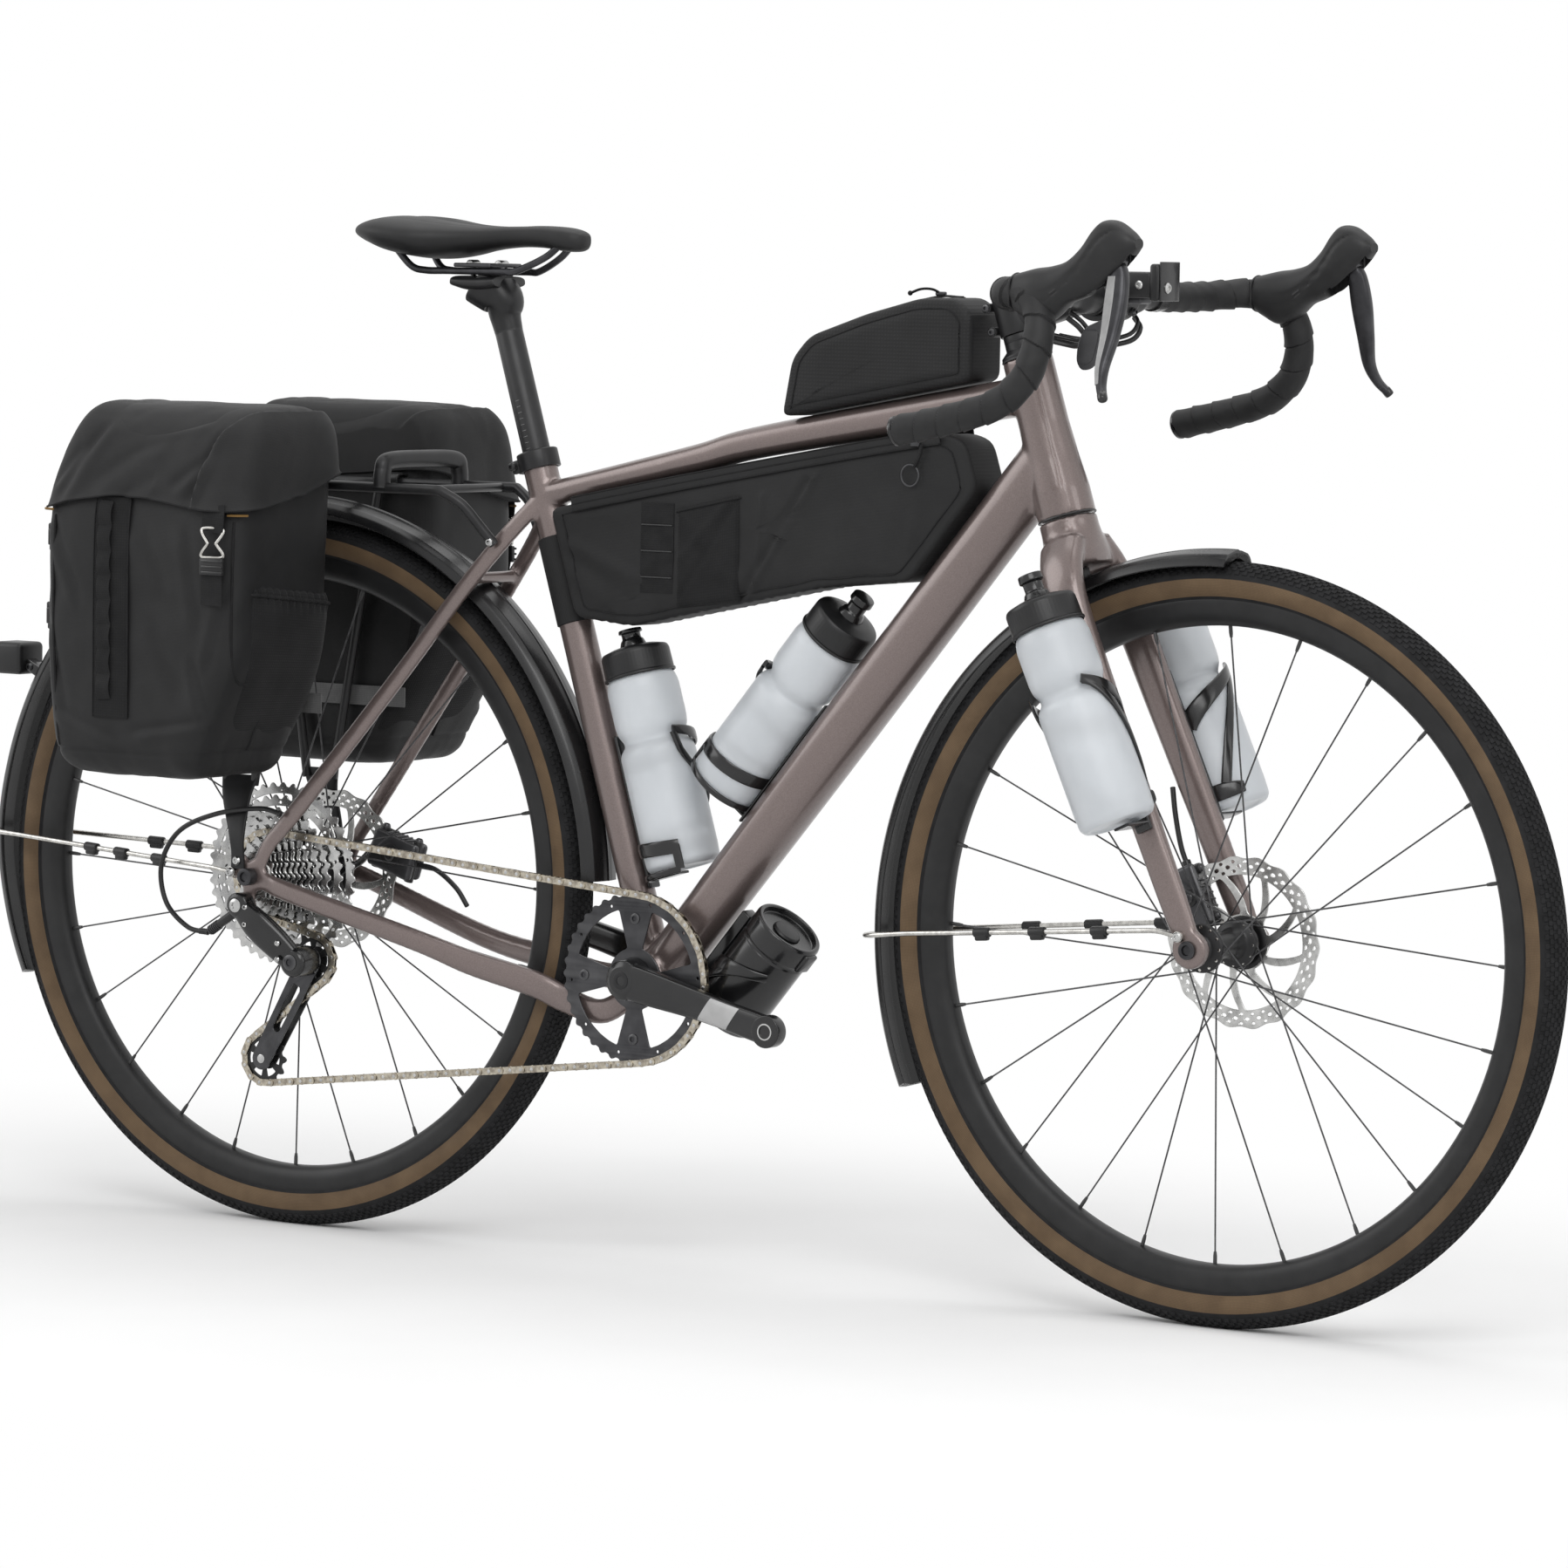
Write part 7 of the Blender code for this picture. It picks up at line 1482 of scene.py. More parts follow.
    cage = [
        cut_plate(
            outline, 0.002, CHAINLINE + side * 0.0055, [slot], 0.0004,
            "satin metal" if side < 0.0 else "black metal")
        for side in (-1.0, 1.0)]
    for axis in (CAGE_AXIS, LOWER_AXIS):
        cage.append(
            rod(
                axis + SIDE * (CHAINLINE - 0.0075), axis + SIDE * (CHAINLINE + 0.0075), 0.003, 20,
                finish="bright metal"))
        cage.append(bolt(axis + SIDE * (CHAINLINE - 0.0066), -SIDE, 0.0044, 0.0008, "bright metal"))
    piece("derailleur_cage_skin", cage, "cage", ["derailleur_cage"])
    pitch = pitch_radius(12)
    for axis, label, body in ((CAGE_AXIS, "upper", "guide_pulley"), (LOWER_AXIS, "lower", "tension_pulley")):
        holes = [round_hole(axis, 0.0036, 24)] + windows(axis, 0.0085, pitch - 0.0062, 6, 0.6)
        wheel = [
            cut_plate(
                toothed(12, pitch - 0.0028, pitch + 0.0022, axis), 0.002, CHAINLINE, holes, 0.0004,
                "black plastic")]
        hub = [(0.0034, 0.0021), (0.0072, 0.0021), (0.0072, -0.0021), (0.0034, -0.0021)]
        wheel.append(
            turned(
                eased(hub, 0.0004, 2, True), SIDE, axis + SIDE * CHAINLINE, 32, ring=True,
                finish="satin metal"))
        piece(label + "_pulley_skin", wheel, body, [label + "_pulley"])
    upper = from_axle(REAR_AXLE, -0.006, -0.028)
    knuckle = eased(
        [(0.0, -0.0786), (0.0125, -0.0786), (0.0125, -0.093), (0.0085, -0.095), (0.0, -0.095)], 0.0014, 3)
    lower = eased(
        [(0.0, -0.054), (0.015, -0.054), (0.015, -0.08), (0.0118, -0.084), (0.0, -0.084)], 0.0016, 3)
    forms = [
        turned(knuckle, SIDE, upper, 44, finish="gloss plastic"),
        turned(lower, SIDE, CAGE_AXIS, 48, finish="gloss plastic"),
        bolt(upper - SIDE * 0.095, -SIDE, 0.0068, 0.002, "bright metal"),
        bolt(CAGE_AXIS - SIDE * 0.084, -SIDE, 0.0078, 0.002, "satin metal")]
    stations = [
        (upper - SIDE * 0.088, 0.0065, 0.01, 3.0),
        ((upper * 2.0 + CAGE_AXIS) / 3.0 - SIDE * 0.0865, 0.008, 0.015, 3.0),
        ((upper + CAGE_AXIS * 2.0) / 3.0 - SIDE * 0.081, 0.008, 0.015, 3.0),
        (CAGE_AXIS - SIDE * 0.076, 0.007, 0.012, 3.0)]
    forms.append(sided(stations, 50, 36, "gloss plastic"))
    for at, lift in ((0.18, 0.0085), (0.18, -0.0085), (0.8, 0.008), (0.8, -0.008)):
        spot = upper + (CAGE_AXIS - upper) * at + np.array([0.0, -0.0945 + 0.0068 * at, lift])
        forms.append(bolt(spot, -SIDE, 0.003, 0.0018, "bright metal"))
    barrel = from_axle(REAR_AXLE, -0.044, -0.0565, -0.086)
    forms.append(rod(barrel, from_axle(REAR_AXLE, -0.006, -0.032, -0.087), 0.0045, 24, 0.001, "black metal"))
    for k in range(6):
        at = barrel + (from_axle(REAR_AXLE, -0.006, -0.032, -0.087) - barrel) * (0.04 + 0.05 * k)
        forms.append(rod(at, at + unit([0.038, -0.001, 0.0245]) * 0.0011, 0.0052, 24, 0.0004, "satin metal"))
    piece("derailleur_skin", forms, "frame", ["derailleur_body"])
    line = flow(
        [
            from_axle(REAR_AXLE, 0.036, 0.064, -0.0785), from_axle(REAR_AXLE, 0.012, 0.068, -0.0815),
            from_axle(REAR_AXLE, -0.0403, 0.0597, -0.0825), from_axle(REAR_AXLE, -0.086, 0.04, -0.083),
            from_axle(REAR_AXLE, -0.107, 0.006, -0.084), from_axle(REAR_AXLE, -0.1, -0.031, -0.085),
            from_axle(REAR_AXLE, -0.072, -0.054, -0.086), from_axle(REAR_AXLE, -0.0458, -0.0577, -0.086)],
        120)
    housing = [tube(line, 0.0025, SIDE, 16, 0.0008, finish="housing")]
    for index, size in ((0, 3), (-8, 7)):
        part = line[index : index + size] if index >= 0 else line[index:]
        housing.append(tube(part, 0.0031, SIDE, 16, 0.0006, finish="black metal"))
    piece("shift_housing_skin", housing, "frame", ["shift_housing"])


# Seat
def saddle_surface():
    """The cover: superellipses along its length, flattened above, with a groove down the middle and a
    drawn-in skirt."""
    rows = flow(
        [
            (-0.13, 0.03, 0.04, 0.033), (-0.128, 0.042, 0.0425, 0.03), (-0.12, 0.054, 0.0468, 0.0262),
            (-0.108, 0.063, 0.0505, 0.0215), (-0.093, 0.069, 0.0525, 0.0165), (-0.075, 0.07, 0.0524, 0.0132),
            (-0.056, 0.0672, 0.0508, 0.0112), (-0.04, 0.06, 0.0484, 0.012), (-0.02, 0.047, 0.046, 0.015),
            (0.0, 0.037, 0.0446, 0.019), (0.022, 0.0292, 0.0442, 0.0222), (0.047, 0.0238, 0.0446, 0.024),
            (0.072, 0.021, 0.045, 0.0235), (0.094, 0.0188, 0.044, 0.0208), (0.107, 0.0158, 0.0418, 0.0205),
            (0.114, 0.0112, 0.039, 0.022), (0.1172, 0.006, 0.036, 0.025),],
        200)
    sides = 120
    turn = 2.0 * math.pi * (np.arange(sides)[None] + 0.5) / sides
    c = np.sign(np.cos(turn)) * np.abs(np.cos(turn)) ** (2.0 / 2.5)
    s = np.sign(np.sin(turn)) * np.abs(np.sin(turn)) ** (2.0 / 2.5)
    high, half = (rows[:, 2:3] + rows[:, 3:4]) / 2.0, (rows[:, 2:3] - rows[:, 3:4]) / 2.0
    out = rows[:, 1:2] * c * (1.0 - 0.1 * np.clip(-s, 0.0, 1.0))
    along = rows[:, :1]
    middle = np.clip((along + 0.105) / 0.03, 0.0, 1.0) * np.clip((0.06 - along) / 0.03, 0.0, 1.0)
    groove = 0.003 * np.exp(-((out / 0.0075) ** 2)) * middle * (s > 0.0)
    seam = 0.0004 * np.exp(
        -(((np.abs(out) / rows[:, 1:2] - 0.62) / 0.022) ** 2)
    ) * (s > 0.0) * np.clip((along + 0.122) / 0.02, 0.0, 1.0)
    puff = 0.0011 * np.sin(np.clip(s, 0.0, 1.0) * math.pi) * np.cos(out / 0.045)
    rise = high + half * s - groove - seam + puff
    points = RAIL_CLAMP + np.stack([along + 0.0 * c, out, rise], 2)
    cover = grid(points, poles=("flat", "flat"), finish="saddle cover")
    return cover


def make_seat():
    saddle = piece("saddle_cover", [saddle_surface()], "seat_post", ["saddle"], 60.0)
    forms = []
    for side in (-1.0, 1.0):
        line = flow(
            [
                from_rails(-0.09, 0.022, side * 0.029), from_rails(-0.074, 0.004, side * 0.024),
                from_rails(-0.058, 0.0, side * 0.022), from_rails(-0.03, 0.0, side * 0.022),
                from_rails(0.03, 0.0, side * 0.022), from_rails(0.048, 0.001, side * 0.02),
                from_rails(0.078, 0.015, side * 0.013), from_rails(0.096, 0.031, side * 0.009)],
            110)
        forms.append(tube(line, 0.0035, SIDE, 20, 0.001, finish="satin metal"))
    piece("saddle_rails", forms, "seat_post")
    post = [
        rod(on_seat_tube(0.347, 0.0), on_seat_tube(0.66, 0.0), 0.0136, 40, finish="black metal"),
        sided(
            [
                (on_seat_tube(0.64, 0.0), 0.0136, 0.0136, 2.0), (on_seat_tube(0.657, 0.0), 0.015, 0.015, 2.2),
                (on_seat_tube(0.672, 0.0015), 0.0195, 0.019, 2.6),
                (from_rails(-0.001, -0.012), 0.024, 0.023, 3.0)],
            24, 40, "black metal")]
    cradle = sided(
        [
            (from_rails(-0.026, -0.0098), 0.0265, 0.0055, 3.0),
            (from_rails(-0.014, -0.0112), 0.027, 0.0072, 3.0), (from_rails(0.0, -0.0118), 0.027, 0.008, 3.0),
            (from_rails(0.014, -0.0112), 0.027, 0.0072, 3.0),
            (from_rails(0.026, -0.0098), 0.0265, 0.0055, 3.0)],
        40, 40, "black metal")
    post += [
        cradle, block(from_rails(0.0, 0.0058), (0.044, 0.054, 0.0042), ease=0.0016, finish="satin metal")]
    for ahead in (-0.017, 0.017):
        post.append(
            rod(from_rails(ahead, -0.0215), from_rails(ahead, 0.0092), 0.0028, 16, finish="bright metal"))
        post.append(
            rod(from_rails(ahead, -0.0215), from_rails(ahead, -0.0155), 0.0052, 6, 0.0008, "satin metal"))
        post.append(
            rod(
                from_rails(ahead, 0.007, -0.007), from_rails(ahead, 0.007, 0.007), 0.004, 16,
                finish="bright metal"))
    for k in range(9):
        ring = on_seat_tube(0.524 + 0.006 * k, 0.0)
        mark = 2.0 * math.pi * np.arange(10) / 9 * 0.05 - 1.7
        line = ring + 0.01362 * (SEAT_AHEAD * np.cos(mark)[:, None] + SIDE * np.sin(mark)[:, None])
        post.append(tube(line, 0.00018, SEAT_UP, 6, finish="grey plastic"))
    piece("seatpost_skin", post, "seat_post", ["seatpost"])


# Fenders, stays and reflector
def fender_form(axle, turns, count):
    """A domed strip: its section, with a ridge along the crown, is carried round the axle on a changing
    radius."""
    outline = eased(
        [
            (-0.0265, -0.014), (-0.0225, -0.0068), (-0.018, -0.003), (-0.007, -0.0002), (-0.0016, 0.0004),
            (0.0, 0.0016), (0.0016, 0.0004), (0.007, -0.0002), (0.018, -0.003), (0.0225, -0.0068),
            (0.0265, -0.014), (0.0248, -0.015), (0.0212, -0.0085), (0.0168, -0.005), (0.007, -0.0022),
            (-0.007, -0.0022), (-0.0168, -0.005), (-0.0212, -0.0085), (-0.0248, -0.015)],
        0.0012, 3, True)
    turns = flow(turns, count)
    angle = np.radians(turns[:, 0])[:, None]
    radius = turns[:, 1:2] + outline[None, :, 1]
    points = axle + np.stack(
        [radius * np.cos(angle), 0.0 * radius + outline[None, :, 0], radius * np.sin(angle)], 2)
    return grid(points, poles=("flat", "flat"), finish="fender black")


def stay_wire(axle, half):
    near = [from_axle(axle, ahead, rise, -out) for ahead, rise, out in half]
    far = [from_axle(axle, ahead, rise, out) for ahead, rise, out in reversed(half)]
    line = evenly(eased(np.array(near + far), 0.01, 6), 320)
    return tube(line, 0.0025, UP, 14, 0.0008, finish="steel wire")


def make_fenders():
    turns = [(88.8 + 97.2 * n / 8.0, 0.3675 - 0.006 + 0.0075 * n / 8.0) for n in range(9)]
    turns += [(186.0 + 18.9 * n / 2.0, 0.369 + 0.0015 * n) for n in (1, 2)]
    forms = [fender_form(FRONT_AXLE, turns, 150)]
    crown = 115.3
    forms.append(
        rod(polar(FRONT_AXLE, 0.363, crown), on_steerer(-0.049, 0.0015), 0.007, 28, finish="black plastic"))
    piece("front_fender_skin", forms, "steering", ["front_fender"])
    turns = [(2.3 + 12.53 * n, 0.374) for n in range(15)] + [
        (2.3 + 12.53 * 14 + 11.2 * n, 0.374 - 0.006 * n) for n in (1, 2)]
    piece("rear_fender_skin", [fender_form(REAR_AXLE, turns, 300)], "frame", ["rear_fender"])
    rows = (
        (
            "front", "steering", FRONT_AXLE,
            [
                (-0.008, 0.012, 0.0651), (-0.03, 0.0165, 0.0651), (-0.32, -0.0085, 0.0345),
                (-0.3628, -0.0135, 0.0305), (-0.3748, -0.0148, 0.022)]),
        (
            "rear", "frame", REAR_AXLE,
            [
                (-0.0215, 0.0035, 0.0811), (-0.042, 0.006, 0.0811), (-0.33, 0.0185, 0.0345),
                (-0.3663, 0.02, 0.0305), (-0.3783, 0.0205, 0.022)]),)
    for label, body, axle, half in rows:
        forms = [stay_wire(axle, half)]
        for side in (-1.0, 1.0):
            ahead, rise, out = half[0]
            eye = from_axle(axle, ahead, rise, side * out)
            forms.append(rod(eye - SIDE * 0.003, eye + SIDE * 0.003, 0.0052, 24, finish="steel wire"))
            forms.append(bolt(eye + SIDE * side * 0.003, SIDE * side, 0.0046, 0.0026, "bright metal"))
            line = np.array([from_axle(axle, a, r, side * o) for a, r, o in half])
            for share in ((0.195, 0.44, 0.66) if label == "front" else (0.25, 0.44, 0.59)):
                where = line[1] + (line[2] - line[1]) * share
                way = unit(line[2] - line[1])
                clip = [(0.0, 0.0), (0.0046, 0.0), (0.0046, 0.018), (0.0, 0.018)]
                forms.append(turned(eased(clip, 0.0016, 3), way, where, 20, finish="black plastic"))
                forms.append(
                    block(
                        where + way * 0.009 - UP * 0.0046, (0.014, 0.007, 0.006), way, ease=0.0018,
                        finish="black plastic"))
        piece(label + "_stay_skin", forms, body, [label + "_fender_stay"])
    centre = np.array([-0.8755, 0.0, 0.5468])
    foot = polar(REAR_AXLE, 0.3752, 151.5)
    forms = [
        block(centre, (0.0375, 0.039, 0.0325), ease=0.005, finish="black plastic"),
        block(centre - FORWARD * 0.0185, (0.0022, 0.034, 0.0275), ease=0.0009, finish="black metal"),
        block(
            (centre + foot) / 2.0 + FORWARD * 0.006, (0.024, 0.016, 0.011), foot - centre, ease=0.0024,
            finish="gloss plastic"),
        block(
            foot + FORWARD * 0.001, (0.005, 0.022, 0.03), polar(REAR_AXLE, 1.0, 151.5) - REAR_AXLE,
            ease=0.002, finish="gloss plastic"),
        bolt((centre + foot) / 2.0 + [0.006, -0.0082, 0.0], -SIDE, 0.004, 0.0024, "satin metal")]
    piece("reflector_skin", forms, "frame", ["rear_reflector"])


# Rack
def make_rack():
    def on_rail(ahead, side, rise=0.0):
        return from_axle(REAR_AXLE, ahead, RACK_RISE + rise, side)

    out = 0.0645
    arm = flow(
        [
            on_rail(0.261, -0.0406, -0.051), on_rail(0.248, -0.048, -0.033), on_rail(0.233, -0.057, -0.013),
            on_rail(0.212, -out)],
        40)
    back = eased(
        np.array(
            [
                on_rail(0.212, -out), on_rail(-0.2, -out), on_rail(-0.226, -out + 0.01),
                on_rail(-0.232, -out + 0.03), on_rail(-0.232, 0.0)]),
        0.01, 5)[1:]
    near = np.concatenate([arm, back])
    line = evenly(np.concatenate([near, near[-2::-1] * [1.0, -1.0, 1.0]]), 320)
    forms = [tube(line, 0.0051, UP, 20, 0.001, finish="black metal")]
    for ahead in (0.195, 0.06, -0.06, -0.17):
        forms.append(rod(on_rail(ahead, -out), on_rail(ahead, out), 0.0042, 20, finish="black metal"))
    hoop = flow(
        [
            on_rail(0.143, -out), on_rail(0.143, -out + 0.001, 0.016), on_rail(0.143, -out + 0.01, 0.0255),
            on_rail(0.143, 0.0, 0.0272), on_rail(0.143, out - 0.01, 0.0255),
            on_rail(0.143, out - 0.001, 0.016), on_rail(0.143, out)],
        90)
    forms.append(sweep(hoop, 0.0088, 0.0078, FORWARD, 2.2, 24, finish="black metal"))
    for side in (-1.0, 1.0):
        foot = side * 0.0803
        rows = flow(
            [
                (-0.0145, 0.007, foot, 0.008, 0.002), (-0.015, 0.022, foot, 0.0074, 0.002),
                (-0.0165, 0.04, foot, 0.009, 0.002), (-0.024, 0.075, side * 0.0715, 0.0165, 0.0023),
                (-0.024, 0.099, side * 0.0655, 0.022, 0.0023)],
            40)
        c, s = oval(28, np.full((len(rows), 1), 5.0))
        centre = REAR_AXLE + rows[:, [0, 2, 1]]
        points = centre[:, None] + FORWARD * (
            rows[:, 3:4] * c)[..., None] + SIDE * (rows[:, 4:5] * s)[..., None]
        forms.append(grid(points, poles=("flat", "flat"), finish="black metal"))
        for ahead, top in ((-0.008, 0.045), (-0.04, -0.085)):
            low = from_axle(REAR_AXLE, ahead, 0.089, side * out)
            forms.append(
                rod(low, from_axle(REAR_AXLE, top, RACK_RISE, side * out), 0.0045, 20, finish="black metal"))
        forms.append(
            bolt(
                from_axle(REAR_AXLE, -0.0145, 0.015, side * 0.0823), SIDE * side, 0.0046, 0.0028,
                "bright metal"))
        forms.append(bolt(on_rail(0.259, side * 0.0457, -0.049), SIDE * side, 0.004, 0.0026, "bright metal"))
    piece("rear_rack_skin", forms, "frame", ["rear_rack"])


# Panniers
PANNIER_ROWS = flow(
    [
        (0.453, -0.606, -0.5, 0.105, 0.2), (0.456, -0.63, -0.48, 0.09, 0.215),
        (0.464, -0.642, -0.47, 0.08, 0.225), (0.476, -0.648, -0.465, 0.074, 0.231),
        (0.499, -0.653, -0.455, 0.072, 0.234), (0.555, -0.659, -0.429, 0.0705, 0.2345),
        (0.607, -0.662, -0.419, 0.0702, 0.235), (0.677, -0.661, -0.416, 0.0702, 0.235),
        (0.715, -0.66, -0.415, 0.0702, 0.2325), (0.756, -0.652, -0.416, 0.0702, 0.224),
        (0.789, -0.64, -0.42, 0.072, 0.212), (0.806, -0.632, -0.429, 0.077, 0.196),
        (0.815, -0.62, -0.442, 0.088, 0.178), (0.818, -0.598, -0.462, 0.103, 0.158),],
    240)
PANNIER_SQUARE = 7.0


def pannier_size(level):
    """The rear, front, inner and outer reach at each height."""
    return [np.interp(level, PANNIER_ROWS[:, 0], column) for column in PANNIER_ROWS.T[1:]]


def pannier_point(side, level, turn, grow=0.0):
    """A place on the pannier's skin from a height and a turn round it, grown outward by a distance."""
    rear, front, inner, outer = pannier_size(level)
    power = 2.0 / PANNIER_SQUARE
    c = np.sign(np.cos(turn)) * np.abs(np.cos(turn)) ** power
    s = np.sign(np.sin(turn)) * np.abs(np.sin(turn)) ** power
    x = (front + rear) / 2.0 + ((front - rear) / 2.0 + grow) * c
    y = side * ((outer + inner) / 2.0 + ((outer - inner) / 2.0 + grow) * s)
    return np.stack(np.broadcast_arrays(x, y, level), -1)


def pannier_turns(sides):
    """Turns that space the points evenly round the pannier's middle section."""
    turn = np.linspace(0.0, 2.0 * math.pi, 4001)
    steps = np.linalg.norm(np.diff(pannier_point(1.0, 0.62, turn), axis=0), axis=1)
    length = np.concatenate([[0.0], np.cumsum(steps)])
    return np.interp((np.arange(sides) + 0.5) / sides * length[-1], length, turn)


def on_pannier(side, x, z, lift=0.0):
    """A place on the outer face at x and z, lifted from the cloth."""
    rear, front = pannier_size(z)[:2]
    share = np.clip((2.0 * np.asarray(x) - front - rear) / (front - rear), -1.0, 1.0)
    return pannier_point(side, z, np.arccos(np.sign(share) * np.abs(share) ** (PANNIER_SQUARE / 2.0)), lift)


def folds(points, seed, low=45.0, high=130.0):
    """Soft creases: slanted waves through space, bent by a slow one, whose crests are sharpened by a
    power."""
    rng = np.random.default_rng(seed)
    bend = 1.3 * np.sin(26.0 * (points @ unit(rng.normal(size=3))) + seed)
    total = 0.0
    for _ in range(9):
        wave = np.sin(
            rng.uniform(low, high) * (points @ unit(rng.normal(size=3))) + rng.uniform(0.0, 6.3) + bend)
        total = total + rng.uniform(0.3, 1.0) * (0.5 + 0.5 * wave) ** 3
    return total / 9.0


def cloth_normals(points):
    """Normals of a closed band of points, all turned away from its middle."""
    normal = unit(np.cross(np.roll(points, -1, 1) - np.roll(points, 1, 1), np.gradient(points, axis=0)))
    return normal * np.sign(np.sum(normal * (points - points.mean((0, 1))), -1, keepdims=True))


def drawn_folds(points, facing, lines):
    """A valley beside a ridge along each line (x, z, x, z, depth, width), fading out towards the line's
    ends."""
    move = np.zeros(points.shape[:2])
    for x0, z0, x1, z1, depth, width in lines:
        length = math.hypot(x1 - x0, z1 - z0)
        way = ((x1 - x0) / length, (z1 - z0) / length)
        along = ((points[..., 0] - x0) * way[0] + (points[..., 2] - z0) * way[1]) / length
        away = (points[..., 0] - x0) * way[1] - (points[..., 2] - z0) * way[0]
        fade = np.clip(along * 5.0 + 0.3, 0.0, 1.0) * np.clip((1.0 - along) * 5.0 + 0.3, 0.0, 1.0)
        ridge = 0.75 * np.exp(-(((away - 1.8 * width) / (1.3 * width)) ** 2))
        move += depth * (ridge - np.exp(-((away / width) ** 2))) * fade
    return move * facing


BODY_FOLDS = (
    (-0.648, 0.704, -0.606, 0.622, 0.0022, 0.0055), (-0.656, 0.61, -0.624, 0.512, 0.0024, 0.006),
    (-0.47, 0.575, -0.448, 0.492, 0.0022, 0.005), (-0.545, 0.5, -0.458, 0.514, 0.002, 0.0045),
    (-0.478, 0.7, -0.462, 0.6, 0.0018, 0.006), (-0.535, 0.7, -0.5, 0.64, 0.0016, 0.007),
    (-0.64, 0.52, -0.56, 0.49, 0.0018, 0.0055), (-0.43, 0.65, -0.452, 0.56, 0.002, 0.005),
    (-0.52, 0.61, -0.48, 0.53, 0.0016, 0.008),)
FLAP_FOLDS = (
    (-0.638, 0.722, -0.592, 0.8, 0.003, 0.006), (-0.6, 0.735, -0.52, 0.79, 0.002, 0.008),
    (-0.474, 0.722, -0.452, 0.796, 0.003, 0.0036), (-0.5, 0.738, -0.455, 0.772, 0.0024, 0.0055),
    (-0.56, 0.724, -0.52, 0.748, 0.0018, 0.006), (-0.478, 0.722, -0.466, 0.76, 0.0022, 0.0045),
    (-0.648, 0.735, -0.615, 0.775, 0.002, 0.005), (-0.54, 0.8, -0.47, 0.808, 0.0022, 0.005),)


def flap_edge(c, s):
    """Height of the flap's lower edge round the bag: straight runs between measured places, then smoothed."""
    outer = np.interp(
        c, [-1.0, -0.65, -0.2, 0.22, 0.6, 0.87, 1.0], [0.7106, 0.7215, 0.7286, 0.7239, 0.7165, 0.7155, 0.7155]
    )
    front = np.interp(s, [-1.0, -0.7, -0.15, 0.9, 1.0], [0.754, 0.75, 0.7335, 0.7165, 0.7155])
    rear = np.interp(s, [-1.0, 1.0], [0.735, 0.7106])
    inner = np.interp(c, [-1.0, 1.0], [0.735, 0.754])
    ends = np.where(c > 0.0, front, rear)
    height = np.where(np.abs(s) > np.abs(c), np.where(s > 0.0, outer, inner), ends)
    window = np.ones(9) / 9.0
    return np.convolve(np.concatenate([height[-4:], height, height[:4]]), window, "valid")


def pannier_forms(side):
    """The body is a loft of rounded rectangles with folds; the flap is a second shell over its top with a
    bulged front ear."""
    seed = 3 if side < 0.0 else 8
    turn = pannier_turns(250)[None]
    levels = evenly(PANNIER_ROWS[:, [0, 2]], 150)[:, :1]
    base = pannier_point(side, levels + 0.0 * turn, turn + 0.0 * levels)
    normal = cloth_normals(base)
    facing = np.clip(normal[..., 1] * side * 1.6 - 0.2, 0.0, 1.0)
    lower = np.clip((0.52 - levels) / 0.05, 0.0, 1.0)
    move = -0.0042 * folds(base, seed) - 0.0016 * folds(base, seed + 1, 150.0, 300.0) * (0.35 + lower)
    move = move + drawn_folds(base, facing, BODY_FOLDS)
    seam = np.exp(-(((levels - 0.4785 - 0.0015 * np.cos(turn)) / 0.0016) ** 2))
    points = base + normal * (move - 0.0016 * seam)[..., None]
    points[..., 1] = side * np.maximum(points[..., 1] * side, 0.07)
    cloth = np.where(np.cos(turn) > 0.84, number_of("panel fabric"), number_of("bag fabric"))
    forms = [grid(points, poles=("flat", "flat"), finish=cloth)]
    c, s = (np.sign(f(turn[0])) * np.abs(f(turn[0])) ** (2.0 / PANNIER_SQUARE) for f in (np.cos, np.sin))
    edge = flap_edge(c, s)[None]
    share = flow(
        [
            (0.0,), (0.012,), (0.05,), (0.15,), (0.32,), (0.48,), (0.62,), (0.74,), (0.84,), (0.92,), (0.97,),
            (1.0,)],
        76)[:, :1]
    level = edge + (0.818 - edge) * share
    shell = pannier_point(side, level, turn + 0.0 * level, 0.003)
    normal = cloth_normals(shell)
    facing = np.clip(normal[..., 1] * side * 1.6 - 0.2, 0.0, 1.0)
    line = np.interp(
        shell[..., 2], [0.7, 0.727, 0.766, 0.79, 0.805, 0.816], [-0.472, -0.469, -0.461, -0.45, -0.437, -0.42]
    )
    ear = np.clip((shell[..., 0] - line) / 0.006 + 0.5, 0.0, 1.0)
    hang = np.exp(-share / 0.035)
    move = 0.0058 * ear * (3.0 - 2.0 * ear) * ear + 0.0016 * hang - 0.0045 * folds(shell, seed + 4) + 0.0012
    move = move - 0.0013 * folds(shell, seed + 5, 150.0, 300.0) + drawn_folds(shell, facing, FLAP_FOLDS)
    shell = shell + normal * move[..., None]
    sag = 0.011 * np.exp(-(((shell[..., 0] + 0.53) / 0.052) ** 2)) - 0.003 * np.exp(
        -(((shell[..., 0] + 0.628) / 0.016) ** 2))
    shell[..., 2] -= sag * np.clip((shell[..., 2] - 0.765) / 0.04, 0.0, 1.0)
    shell[..., 1] = side * np.maximum(shell[..., 1] * side, 0.07)
    under = pannier_point(side, edge, turn, -0.0015)
    forms.append(grid(np.concatenate([under, shell]), poles=("flat", "flat"), finish="bag fabric"))
    forms.append(tube(shell[2] - UP * 0.0004, 0.001, UP, 8, closed=True, finish="webbing"))
    return forms


